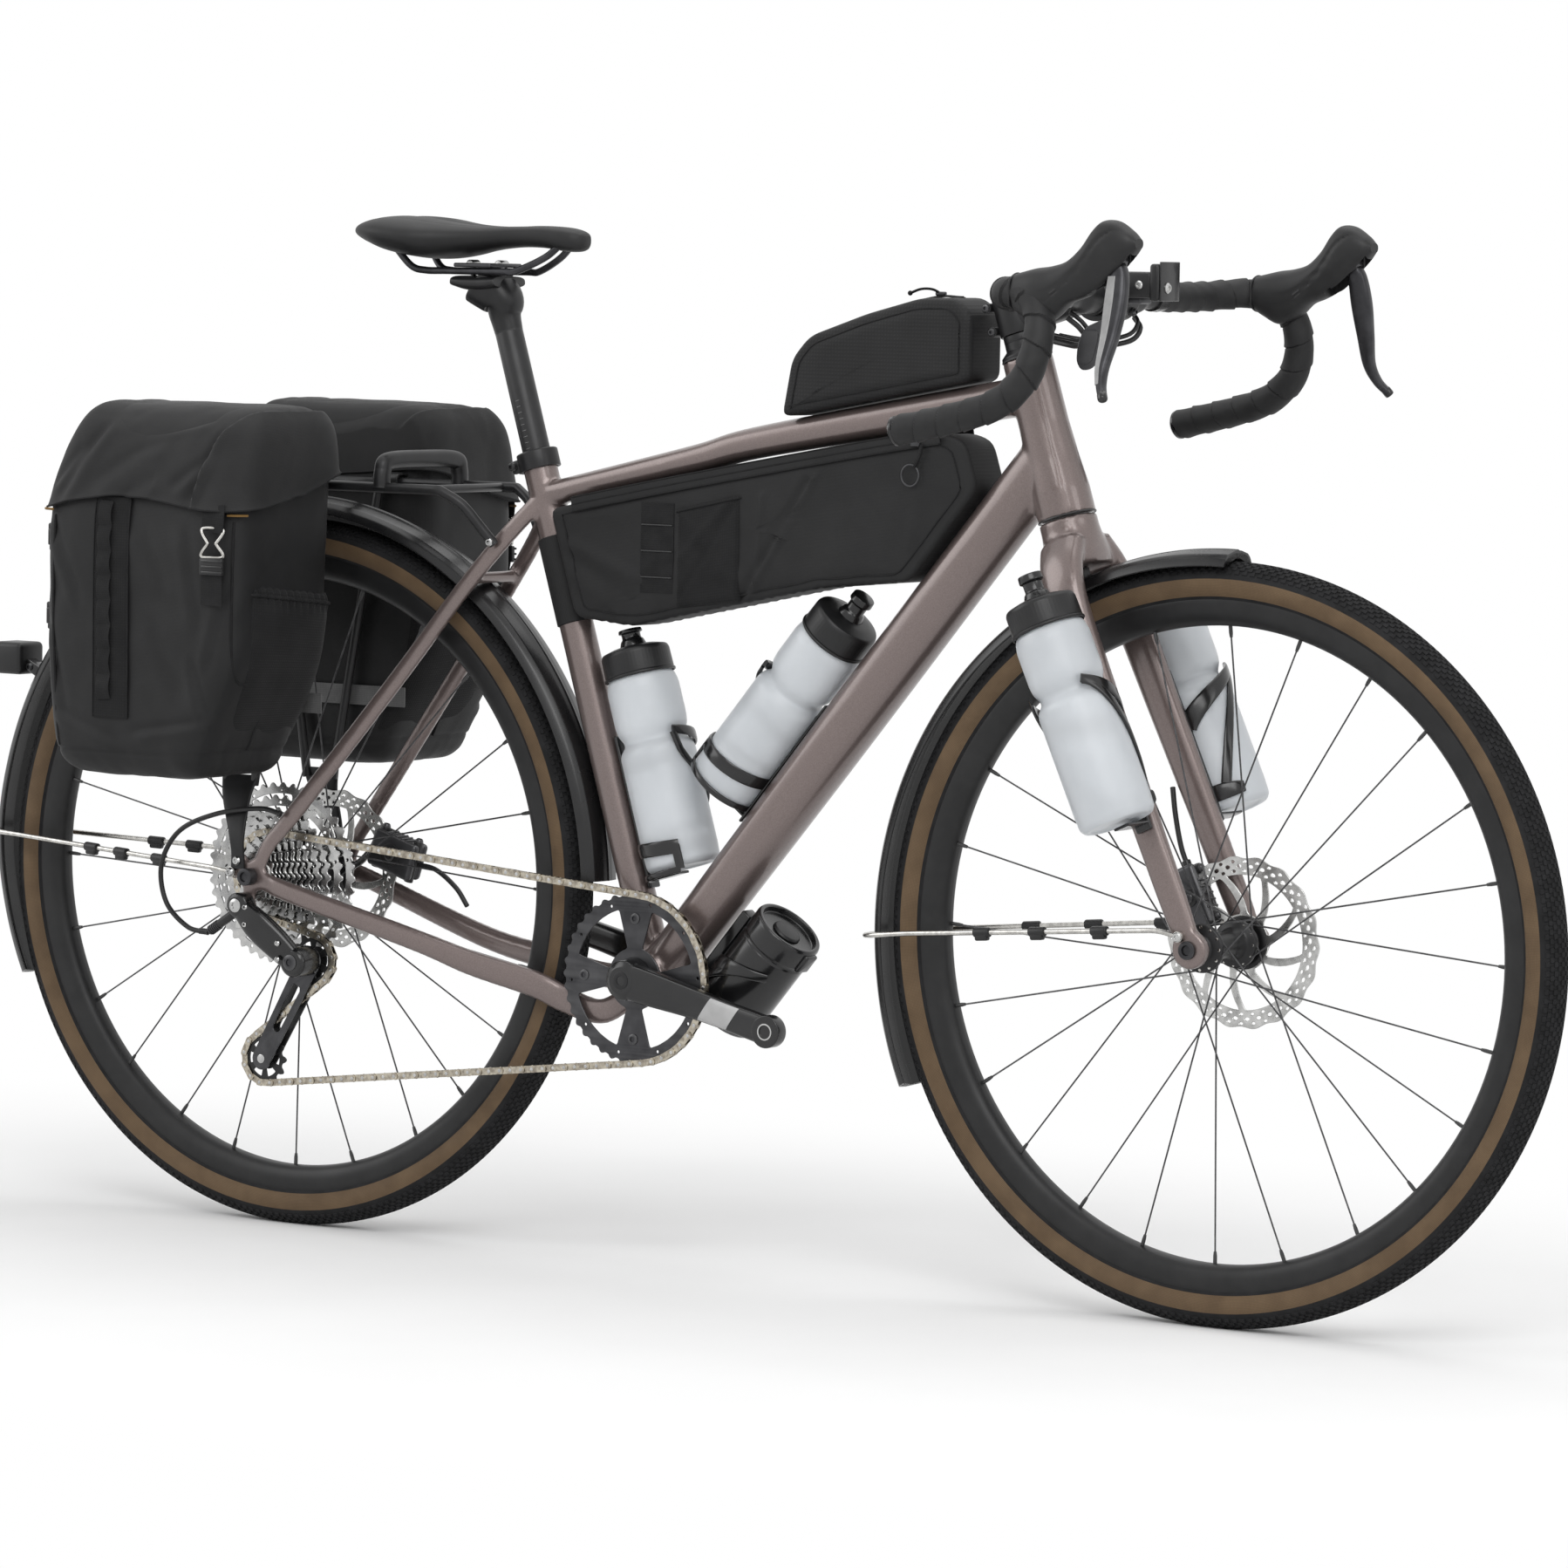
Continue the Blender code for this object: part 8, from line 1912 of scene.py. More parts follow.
def flat_strip(points, normal, wide, thick, finish, sides=12):
    """A ribbon along a line: a squared section whose broad side faces along the normal."""
    line = evenly(points, max(24, 6 * len(points)))
    way = unit(np.gradient(line, axis=0))
    rise = unit(normal - way * (way @ normal)[:, None])
    across = np.cross(way, rise)
    c, s = oval(sides, np.full((len(line), 1), 5.0))
    ring = line[:, None] + across[:, None] * (wide / 2.0 * c)[..., None] + rise[:, None] * (
        thick / 2.0 * s)[..., None]
    return grid(ring, poles=("flat", "flat"), finish=finish)


def buckle_forms(centre, along, outward):
    """A side-release buckle: two eased blocks that meet, with prongs at the sides."""
    across = np.cross(unit(along), unit(outward))
    wide = BUCKLE_WIDTH
    forms = [
        block(centre + along * 0.007, (0.013, wide, 0.0065), along, across, 0.002, finish="black plastic"),
        block(
            centre - along * 0.008, (0.011, wide * 0.86, 0.0055), along, across, 0.0018,
            finish="black plastic")]
    for side in (-1.0, 1.0):
        prong = centre + across * side * wide * 0.46
        forms.append(block(prong, (0.016, 0.003, 0.005), along, across, 0.0012, finish="gloss plastic"))
    return forms


def make_panniers():
    for side, label in ((-1.0, "right"), (1.0, "left")):
        body = piece(
            "pannier_skin_" + label, pannier_forms(side), "frame", ["pannier_" + label], 60.0)
        outward = SIDE * side
        forms = []
        # The flap's strap with its wire hook, ladder block and webbing
        x = -0.447
        line = [on_pannier(side, x, z, lift) for z, lift in
                ((0.722, 0.0072), (0.712, 0.0082), (0.702, 0.007), (0.697, 0.006))]
        forms.append(flat_strip(np.array(line), outward, 0.0262, 0.0016, "webbing"))
        line = [
            on_pannier(side, x, z, lift) for z, lift in ((0.662, 0.0052), (0.65, 0.0036), (0.626, 0.0026))]
        forms.append(flat_strip(np.array(line), outward, 0.0255, 0.0016, "webbing"))
        forms.append(
            block(
                on_pannier(side, x, 0.6635, 0.0062), (0.0275, 0.005, 0.0165), FORWARD, outward, 0.0016,
                finish="black plastic"))
        for k in range(3):
            forms.append(
                block(
                    on_pannier(side, x, 0.669 - 0.0054 * k, 0.0092), (0.025, 0.0022, 0.0022), FORWARD,
                    outward, 0.0007, finish="gloss plastic"))
        half = [
            (0.0, 0.701), (0.01, 0.7), (0.0105, 0.6955), (0.0048, 0.687), (0.0048, 0.685), (0.0108, 0.6765),
            (0.01, 0.6728), (0.0, 0.6725)]
        other = [(-a, z) for a, z in half[-2:0:-1]]
        hook = flow(
            [on_pannier(side, x + a, z, 0.0095 - 0.003 * abs(z - 0.687) / 0.014) for a, z in half + other],
            96, True)
        forms.append(tube(hook, 0.0016, outward, 10, closed=True, finish="steel wire"))
        # The narrow ladder of loops on its panel
        panel = [on_pannier(side, -0.568, z, -0.0002) for z in np.linspace(0.726, 0.512, 24)]
        forms.append(flat_strip(np.array(panel), outward, 0.042, 0.0022, "pocket mesh", 20))
        for edge in (-0.589, -0.547):
            line = [on_pannier(side, edge, z, 0.0006) for z in np.linspace(0.724, 0.512, 16)]
            forms.append(tube(flow(line, 70), 0.0008, outward, 6, finish="webbing"))
        level = np.linspace(0.722, 0.53, 120)
        line = [
            on_pannier(side, -0.5745, z, 0.0016 + 0.0022 * abs(math.sin((z - 0.53) / 0.024 * math.pi)))
            for z in level]
        forms.append(flat_strip(np.array(line), outward, 0.016, 0.0013, "webbing"))
        # Piping at the flap's corners and the seams down the body
        for ends in (((-0.654, -0.638), (-0.433, -0.419)) if side < 0.0 else ((-0.433, -0.419),)):
            line = [
                on_pannier(side, xx, 0.7115 + 0.0015 * (xx > -0.5), 0.0048) for xx in np.linspace(*ends, 7)]
            forms.append(tube(np.array(line), 0.0013, outward, 8, 0.0008, finish="piping"))
        for run in (((-0.644, 0.706), (-0.644, 0.6), (-0.64, 0.53), (-0.636, 0.482)),
                    ((-0.4262, 0.706), (-0.4285, 0.6), (-0.435, 0.53), (-0.456, 0.482))):
            line = [on_pannier(side, x, z, -0.0008) for x, z in flow(run, 60)]
            forms.append(tube(np.array(line), 0.0014, outward, 8, finish="webbing"))
        # The stretch pocket on the tapering front end, with its gathered top
        u = np.linspace(-1.0, 1.0, 90)[None]
        v = np.linspace(0.0, 1.0, 44)[:, None]
        z = 0.492 + (0.149 + 0.007 * u) * v
        puff = 0.0085 * np.sqrt(np.clip(1.0 - u**6, 0.0, 1.0)) * np.clip(
            np.minimum(v, 1.0 - v) / 0.16, 0.0, 1.0) ** 0.5
        puff = puff * (0.45 + 0.55 * v) + 0.0012 * np.sin(u * 40.0) * np.exp(
            -(((v - 0.93) / 0.06) ** 2)) + 0.001 * (v > 0.9)
        skin = np.stack(
            [
                pannier_size(z)[1] - 0.0035 - 0.009 * np.abs(u) ** 5 + puff,
                side * (0.144 + 0.069 * u) + 0.0 * v, z],
            2)
        back = skin.copy()
        back[..., 0] = pannier_size(z)[1] - 0.016
        forms.append(
            grid(np.concatenate([skin, back[:, ::-1]], 1), poles=("flat", "flat"), finish="pocket mesh"))
        forms.append(tube(skin[40] + np.array([0.0006, 0.0, 0.0]), 0.0018, FORWARD, 10, finish="webbing"))
        # The pale band on the wheel's side, and hooks over the rack
        band = np.array([(x, side * 0.0688, 0.525) for x in np.linspace(-0.567, -0.437, 20)])
        forms.append(flat_strip(band, SIDE, 0.02, 0.0012, "reflective tape"))
        for ahead in (0.066, -0.104):
            top = from_axle(REAR_AXLE, ahead, RACK_RISE, side * 0.0645)
            line = [
                top + UP * 0.0075 + SIDE * side * 0.008, top + UP * 0.0088,
                top + UP * 0.006 - SIDE * side * 0.008, top - UP * 0.004 - SIDE * side * 0.0085]
            forms.append(flat_strip(flow(line, 30), UP + SIDE * 0.01, 0.014, 0.0028, "black plastic"))
        # Compression straps with buckles on the rear end
        strap = pannier_size(np.linspace(0.742, 0.56, 20))[0]
        line = np.stack([strap - 0.0012, np.full(20, side * 0.198), np.linspace(0.742, 0.56, 20)], 1)
        forms.append(flat_strip(line, FORWARD, 0.019, 0.0018, "webbing"))
        for z in (0.683, 0.606):
            forms += buckle_forms(np.array([pannier_size(z)[0] - 0.005, side * 0.198, z]), UP, -FORWARD)
        piece("pannier_trim_" + label, forms, "frame", (), 50.0)


# Bags in the frame
def pillow(outline, half, edge, seed, depth, finish="bag fabric", creases=(), wave=0.0):
    """A padded plate: rings shrink from the outline to its middle while the half width follows a quarter
    circle. Each crease adds lift * exp(-(gap / wide)^2) round its line; the lower edge waves by |sin| of
    its length."""
    rim = eased(np.array(outline), 0.01, 4, True)
    rim = evenly(rim, 220, True)
    centre = rim.mean(0)
    tangent = unit(np.roll(rim, -1, 0) - np.roll(rim, 1, 0))
    normal = np.stack([tangent[:, 1], -tangent[:, 0]], 1)
    if np.sum(normal * (rim - centre)) < 0.0:
        normal = -normal
    length = np.cumsum(np.linalg.norm(rim - np.roll(rim, 1, 0), axis=1))
    low = np.clip((-normal[:, 1] - 0.6) / 0.3, 0.0, 1.0)
    rim = rim + normal * (wave * low * np.abs(np.sin(length * math.pi / 0.0125)))[:, None]
    rings, heights = [], []
    for turn in np.linspace(0.0, math.pi / 2.0, 9):
        rings.append(rim - normal * edge * (1.0 - math.cos(turn)))
        heights.append(half - edge + edge * math.sin(turn))
    inner = rings[-1]
    for share in np.linspace(0.0, 0.96, 26)[1:]:
        rings.append(inner + (centre - inner) * share)
        heights.append(half)
    rings, heights = np.array(rings), np.array(heights)[:, None]
    crease = folds(np.stack([rings[..., 0], 0.0 * rings[..., 0], rings[..., 1]], 2), seed) * depth
    away = np.clip((np.arange(len(rings)) - 8.0) / 7.0, 0.0, 1.0)[:, None]
    swell = 0.0022 * away * (2.0 - away)
    level = heights + swell - crease * np.clip((np.arange(len(rings)) - 4.0) / 5.0, 0.0, 1.0)[:, None]
    for start, end, wide, lift in creases:
        way = np.array(end) - start
        share = np.clip(((rings - start) @ way) / (way @ way), 0.0, 1.0)
        gap = np.linalg.norm(rings - start - share[..., None] * way, axis=2)
        level = level + lift * np.exp(-((gap / wide) ** 2)) * np.clip(
            (np.arange(len(rings)) - 3.0) / 5.0, 0.0, 1.0)[:, None]
    near = np.stack([rings[..., 0], -level, rings[..., 1]], 2)
    order = np.concatenate([near[::-1], near * [1.0, -1.0, 1.0]])
    uv = np.stack([order[..., 0], order[..., 2]], 2)
    uv = np.concatenate([uv, uv[:, :1]], 1)
    return grid(order, poles=("flat", "flat"), finish=finish, uv=uv), near[9]


def make_bags():
    beside, above = 0.0168 + 0.0006, 0.0265 + 0.002
    outline = [
        on_seat_tube(0.353, beside), on_seat_tube(0.46, beside), from_bracket(-0.07, 0.455),
        from_bracket(0.07, 0.4885), from_bracket(0.237, 0.5205), from_bracket(0.325, 0.531),
        from_bracket(0.347, 0.524), on_down_tube(0.6, above), on_down_tube(0.486, above),
        from_bracket(0.192, 0.3827), from_bracket(-0.0263, 0.3366)]
    creases = (
        ((0.108, 0.764), (0.031, 0.645), 0.0035, 0.0024), ((0.099, 0.76), (0.023, 0.643), 0.0045, -0.0026),
        ((-0.175, 0.693), (-0.092, 0.66), 0.005, 0.0024), ((-0.173, 0.68), (-0.098, 0.642), 0.0035, -0.002),
        ((-0.165, 0.66), (-0.115, 0.625), 0.0045, 0.002), ((0.05, 0.745), (0.042, 0.66), 0.0035, 0.0018),
        ((0.235, 0.795), (0.215, 0.705), 0.006, 0.0018))
    form, inner = pillow(
        [point[[0, 2]] for point in outline], 0.028, 0.006, 21, 0.0019, creases=creases, wave=0.0013)
    bag = piece("frame_bag_skin", [form], "frame", ["frame_bag"], 60.0)
    forms = [
        tube(
            [on_seat_tube(0.35, 0.0), on_seat_tube(0.435, 0.0)], 0.0184, SIDE, 48, 0.002, finish="bag fabric")
    ]
    for side in (-1.0, 1.0):
        y = side * 0.0304
        zip_line = flow(
            [(-0.169, y, 0.729), (-0.06, y, 0.751), (0.0738, y, 0.7765), (0.18, y, 0.796), (0.246, y, 0.807)],
            90)
        forms.append(flat_strip(zip_line, SIDE * side, 0.014, 0.0014, "bag fabric"))
        for lift in (0.0068, 0.0, -0.0068):
            forms.append(tube(zip_line + [0.0, side * 0.0005, lift], 0.0008, SIDE, 8, finish="webbing"))
        pull = np.array([0.2206, y, 0.8])
        forms.append(
            block(pull + SIDE * side * 0.0016, (0.01, 0.003, 0.006), ease=0.0012, finish="satin metal"))
        turn = 2.0 * math.pi * np.arange(60) / 60
        loop = pull + np.stack(
            [0.0095 * np.cos(turn) - 0.004, side * 0.0035 + 0.0 * turn, 0.01 * np.sin(turn) - 0.03], 1)
        forms.append(tube(loop, 0.0009, SIDE, 8, closed=True, finish="satin metal"))
        cord = flow(
            [
                pull + [0.008, side * 0.003, -0.002], pull + [0.006, side * 0.004, -0.012],
                pull + [0.0015, side * 0.004, -0.0215]],
            20)
        forms.append(tube(cord, 0.0018, SIDE, 8, 0.001, finish="webbing"))
        panel = np.array([(-0.0695, side * 0.0296, z) for z in (0.734, 0.69, 0.648)])
        forms.append(flat_strip(panel, SIDE * side, 0.038, 0.0016, "webbing", 24))
        for k in range(3):
            x = np.linspace(-0.087, -0.0515, 12)
            forms.append(
                tube(
                    np.stack([x, side * 0.0306 + 0.0 * x, 0.713 - 0.025 * k + 0.0 * x], 1), 0.0009, UP, 8,
                    finish="gloss plastic"))
        u = np.linspace(0.0, 1.0, 120)[None]
        v = np.linspace(0.0, 1.0, 30)[:, None]
        x = -0.047 + 0.072 * u
        z = 0.634 + 0.01 * u + (0.096 + 0.006 * u) * v
        edge = np.clip(
            np.minimum(np.minimum(u, 1.0 - u) / 0.06, np.minimum(v, 1.0 - v) / 0.06), 0.0, 1.0) ** 0.5
        pleat = 0.004 * edge
        for shift, slope, deep in (
                (0.45, 0.6, 0.002), (0.05, 0.95, -0.0014), (1.02, -0.95, 0.0018), (0.7, -0.45, -0.0012)):
            pleat = pleat + deep * edge * np.exp(-(((v - shift - slope * u) / 0.07) ** 2))
        skin = np.stack([x + 0.0 * v, side * (0.0282 + pleat), z], 2)
        back = np.stack([x + 0.0 * v, side * 0.0255 + 0.0 * z, z], 2)
        forms.append(
            grid(np.concatenate([skin, back[:, ::-1]], 1), poles=("flat", "flat"), finish="pocket mesh"))
        forms.append(tube(skin[-2] + SIDE * side * 0.0004, 0.0016, UP, 8, finish="webbing"))
        forms.append(tube(inner[::2] * [1.0, -side, 1.0], 0.0009, UP, 8, closed=True, finish="webbing"))
    piece("frame_bag_trim", forms, "frame", (), 50.0)

    outline = [
        from_bracket(0.1425, 0.5405), from_bracket(0.1528, 0.5965), from_bracket(0.1719, 0.618),
        from_bracket(0.235, 0.64), from_bracket(0.295, 0.656), from_bracket(0.335, 0.657),
        from_bracket(0.352, 0.641), from_bracket(0.352, 0.58)]
    form, inner = pillow([point[[0, 2]] for point in outline], 0.03, 0.008, 27, 0.0012, "ripstop")
    bag = piece("top_tube_bag_skin", [form], "frame", ["top_tube_bag"], 60.0)
    forms = []
    for side in (-1.0, 1.0):
        forms.append(tube(inner[::2] * [1.0, -side, 1.0], 0.0009, UP, 8, closed=True, finish="webbing"))
    line = flow(
        [
            from_bracket(0.176, 0.6205), from_bracket(0.235, 0.6408), from_bracket(0.295, 0.6562),
            from_bracket(0.325, 0.6568)],
        60)
    forms.append(flat_strip(line, UP, 0.01, 0.0014, "webbing"))
    tooth = block((0.0, 0.0, 0.0), (0.0014, 0.003, 0.0014), ease=0.0004, steps=1, finish="gloss plastic")
    forms.append(tooth.placed(matrices_from(evenly(line, 110) + UP * 0.0009, FORWARD, SIDE, UP)))
    pull = from_bracket(0.301, 0.66)
    forms.append(block(pull, (0.01, 0.006, 0.004), ease=0.0013, finish="satin metal"))
    cord = flow(
        [pull, pull + [-0.006, -0.006, 0.004], pull + [-0.017, -0.008, 0.004], pull + [-0.029, -0.008, 0.0]],
        40)
    forms.append(ball(pull + [-0.029, -0.008, 0.0], 0.0024, 12, "webbing"))
    forms.append(tube(cord, 0.0013, UP, 8, 0.001, finish="webbing"))
    piece("top_tube_bag_trim", forms, "frame", (), 50.0)


# Bottles, keg and cages
def bottle_forms(base, up, nozzle):
    """A turned bottle: the clear body with its waist, a narrower upper part, and a smooth cap with its
    valve."""
    wide, neck, top = 0.0365, 0.035, 0.228
    body = eased(
        [
            (0.0, 0.0026), (wide - 0.012, 0.0022), (wide - 0.009, 0.0004), (wide - 0.0045, 0.0004),
            (wide - 0.0006, 0.0052), (wide, 0.018), (wide, top - 0.114), (wide - 0.0016, top - 0.109),
            (wide - 0.0066, top - 0.103), (wide - 0.0066, top - 0.099), (neck - 0.001, top - 0.091),
            (neck, top - 0.083), (neck, top - 0.05), (neck - 0.0018, top - 0.042),
            (neck - 0.0045, top - 0.0372), (0.0, top - 0.0372)],
        0.003, 5)
    forms = [turned(body, up, base, 96, finish="frosted plastic")]
    sides = 180
    profile = eased(
        [
            (0.0, top - 0.0375), (0.0325, top - 0.0375), (0.0338, top - 0.0355), (0.0334, top - 0.016),
            (0.0318, top - 0.0125), (0.0215, top - 0.0095), (0.015, top - 0.0085), (0.0, top - 0.0085)],
        0.0016, 5)
    first, second = axes_round(up)
    angle = 2.0 * math.pi * np.arange(sides) / sides
    rows = profile[1:-1]
    side_wall = (rows[:, 1:2] < top - 0.0165) & (rows[:, 1:2] > top - 0.0335) & (rows[:, :1] > 0.03)
    rib = 1.0 - 0.006 * (0.5 + 0.5 * np.cos(angle * 60))[None] ** 2 * side_wall
    out = first * np.cos(angle)[:, None] + second * np.sin(angle)[:, None]
    points = base + out[None] * (rows[:, :1] * rib)[..., None] + rows[:, None, 1:] * unit(up)
    forms.append(grid(points, poles=("flat", "flat"), finish="black plastic"))
    forms.append(
        turned(
            eased(
                [
                    (0.0332, top - 0.0392), (0.035, top - 0.0385), (0.035, top - 0.0362),
                    (0.0332, top - 0.0356)],
                0.0008, 2, True),
            up, base, 72, ring=True, finish="black plastic"))
    valve = eased(
        [
            (0.0, top - 0.0095), (0.0135, top - 0.0095), (0.0112, top - 0.003), (0.0092, top - 0.001),
            (0.0092, top + nozzle * 0.45), (0.0118, top + nozzle * 0.55), (0.0112, top + nozzle),
            (0.0, top + nozzle)],
        0.001, 3)
    forms.append(turned(valve, up, base, 40, finish="gloss plastic"))
    return forms


def cage_forms(
        base, up, outward, depth, radius=0.0365, arms=(0.078, 0.128, 2.15), cup=(0.014, 1.25, 0.018),
        length=0.15, struts=(1.0, -1.0), fall=1.25, window=(0.0, 0.0)):
    """A moulded cage: a spine on the frame, broad arms that sweep up round the bottle to a tip, a thin
    strut that returns from each tip to the low cup, and a tab under the bottle. Angles count from the
    spine. The strut falls with share^fall; window gives the angle and the height of a second, vertical
    strip under the cup."""
    up, outward = unit(up), unit(outward)
    flank = np.cross(up, outward)
    inner = radius + 0.0016
    middle = base + up * (length / 2.0 - 0.01) - outward * (inner + depth / 2.0 - 0.0008)
    forms = [block(middle, (length, 0.017, depth), up, flank, 0.0018, finish="gloss plastic")]

    def ribbon(turn, rise, wide, thick):
        """A ribbon on the bottle's cylinder from its turns and heights; its breadth lies along the
        surface."""
        radial = -np.cos(turn)[:, None] * outward + np.sin(turn)[:, None] * flank
        line = base + inner * radial + rise[:, None] * up
        across = unit(np.cross(unit(np.gradient(line, axis=0)), radial))
        c, s = oval(16, np.full((len(line), 1), 3.0))
        wide = np.broadcast_to(wide, len(line))[:, None]
        ring = line[:, None] + across[:, None] * (wide / 2.0 * c)[..., None] + radial[:, None] * (
            thick / 2.0 * s)[..., None]
        return grid(ring, poles=("flat", "flat"), finish="gloss plastic")

    t = np.linspace(0.0, 1.0, 70)
    root, tip, reach = arms
    low, low_reach, low_wide = cup
    turn, drop = window
    for side in struts:
        forms.append(
            ribbon(
                side * (0.1 + (reach - 0.1) * t), root + (tip - root) * t**0.75, 0.019 - 0.0105 * t, 0.0036))
        forms.append(
            ribbon(
                side * (reach - (reach - 0.55) * t**0.8), tip - 0.002 - (tip - low - 0.012) * t**fall,
                0.007 + 0.003 * t, 0.0034))
    forms.append(
        ribbon(
            (t * 2.0 - 1.0) * low_reach, low + 0.004 * np.cos((t * 2.0 - 1.0) * low_reach),
            low_wide * (1.0 - (0.0 if drop else 0.35) * np.abs(t * 2.0 - 1.0) ** 3), 0.0034))
    if drop:
        forms.append(ribbon(turn + 0.0 * t, low - drop * t, 0.0085, 0.0034))
        forms.append(ribbon(turn * (1.0 - t), low - drop + 0.0 * t, 0.006, 0.003))
    floor = np.array(
        [
            base - up * 0.003 - outward * (inner + 0.0002), base - up * 0.0034 - outward * 0.018,
            base - up * 0.0034 - outward * 0.002])
    forms.append(flat_strip(floor, up, 0.017, 0.0028, "gloss plastic"))
    for rise in (low + 0.024, low + 0.088):
        forms.append(
            bolt(base + up * rise - outward * (inner - 0.0018), outward, 0.0042, 0.0016, "satin metal"))
    return forms


def make_bottles():
    rows = (
        (
            "seat_tube", "frame", on_seat_tube(0.092, 0.059), SEAT_UP, SEAT_AHEAD, 0.0045, 0.008,
            "seat_tube_bottle", "seat_tube_cage", "frame", (0.1, 0.13, 3.62), (0.021, 2.14, 0.014), (1.0,),
            0.4, (-2.06, 0.024)),
        (
            "down_tube", "frame", on_down_tube(0.187, 0.067), TUBE_UP, TUBE_BACK, 0.003, 0.015,
            "down_tube_bottle", "down_tube_cage", "frame", (0.07, 0.126, 3.5), (0.033, 3.0, 0.013), (-1.0,),
            0.55, (2.75, 0.028)),
        (
            "fork_right", "bottle_right", on_blade(0.125, -0.105, 0.0025), BLADE_UP, -SIDE, 0.0045, 0.015,
            "fork_bottle_right", "fork_cage_right", "steering", (0.082, 0.132, 2.3), (0.012, 0.95, 0.016),
            (1.0, -1.0), 1.25, (0.0, 0.0)),
        (
            "fork_left", "bottle_left", on_blade(0.125, 0.105, 0.0025), BLADE_UP, SIDE, 0.0045, 0.015,
            "fork_bottle_left", "fork_cage_left", "steering", (0.082, 0.132, 2.3), (0.012, 0.95, 0.016),
            (1.0, -1.0), 1.25, (0.0, 0.0)),)
    for (
            label, body, base, up, outward, depth, nozzle, bottle_node, cage_node, cage_body, arms, cup,
            struts, fall, window) in rows:
        piece(
            label + "_bottle_skin", bottle_forms(base, up, nozzle), body, [bottle_node],
            40.0)
        cage = cage_forms(
            base, up, outward, depth, arms=arms, cup=cup, struts=struts, fall=fall, window=window)
        piece(label + "_cage_skin", cage, cage_body, [cage_node])
    base = on_down_tube(0.1364 - 0.115, -0.077)
    profile = eased(
        [
            (0.0, 0.001), (0.024, 0.001), (0.0262, 0.0), (0.0322, 0.0), (0.035, 0.0035), (0.035, 0.088),
            (0.034, 0.0895), (0.034, 0.092), (0.0352, 0.0935), (0.0352, 0.112), (0.0338, 0.115),
            (0.03, 0.115), (0.029, 0.109), (0.0, 0.108)],
        0.0012, 4)
    keg = [turned(profile, TUBE_UP, base, 96, finish="gloss plastic")]
    lid = [(0.0, 0.112), (0.013, 0.1116), (0.015, 0.109), (0.0, 0.107)]
    keg.append(turned(eased(lid, 0.001, 3), TUBE_UP, base, 48, finish="black plastic"))
    ear = base + TUBE_UP * 0.1015 - TUBE_BACK * 0.0352
    keg.append(block(ear, (0.02, 0.018, 0.006), TUBE_UP, SIDE, 0.002, finish="gloss plastic"))
    piece("storage_keg_skin", keg, "keg", ["storage_keg"], 40.0)
    cage = cage_forms(base, TUBE_UP, -TUBE_BACK, 0.011, 0.035, (0.03, 0.074, 2.3), (0.014, 1.5, 0.018), 0.105)
    piece("keg_cage_skin", cage, "frame", ["keg_cage"])


# Stage: floor, lights, surroundings and camera
def faded_floor():
    """The pale floor: beyond a distance from the bike it turns to plain white for the rays that see it
    directly."""
    material = finish_material("pale floor")
    tree = material.node_tree
    new, link = tree.nodes.new, tree.links.new
    where, apart, share = new("ShaderNodeTexCoord"), new("ShaderNodeVectorMath"), new("ShaderNodeMapRange")
    apart.operation = "LENGTH"
    share.interpolation_type = "SMOOTHSTEP"
    share.inputs["From Min"].default_value, share.inputs["From Max"].default_value = 0.4, 1.15
    stretch = new("ShaderNodeMapping")
    stretch.inputs["Scale"].default_value = (0.55, 1.0, 1.0)
    link(where.outputs["Object"], stretch.inputs["Vector"])
    link(stretch.outputs[0], apart.inputs[0])
    link(apart.outputs["Value"], share.inputs["Value"])
    path, first, second, both = (new(kind) for kind in ("ShaderNodeLightPath", *["ShaderNodeMath"] * 3))
    first.operation, second.operation, both.operation = "MAXIMUM", "MAXIMUM", "MULTIPLY"
    link(path.outputs["Is Camera Ray"], first.inputs[0])
    link(path.outputs["Is Glossy Ray"], first.inputs[1])
    link(first.outputs[0], second.inputs[0])
    link(path.outputs["Is Transmission Ray"], second.inputs[1])
    link(second.outputs[0], both.inputs[0])
    link(share.outputs[0], both.inputs[1])
    glow, mix = new("ShaderNodeEmission"), new("ShaderNodeMixShader")
    link(both.outputs[0], mix.inputs["Fac"])
    link(tree.nodes["Principled BSDF"].outputs[0], mix.inputs[1])
    link(glow.outputs[0], mix.inputs[2])
    link(mix.outputs[0], tree.nodes["Material Output"].inputs["Surface"])
    return material


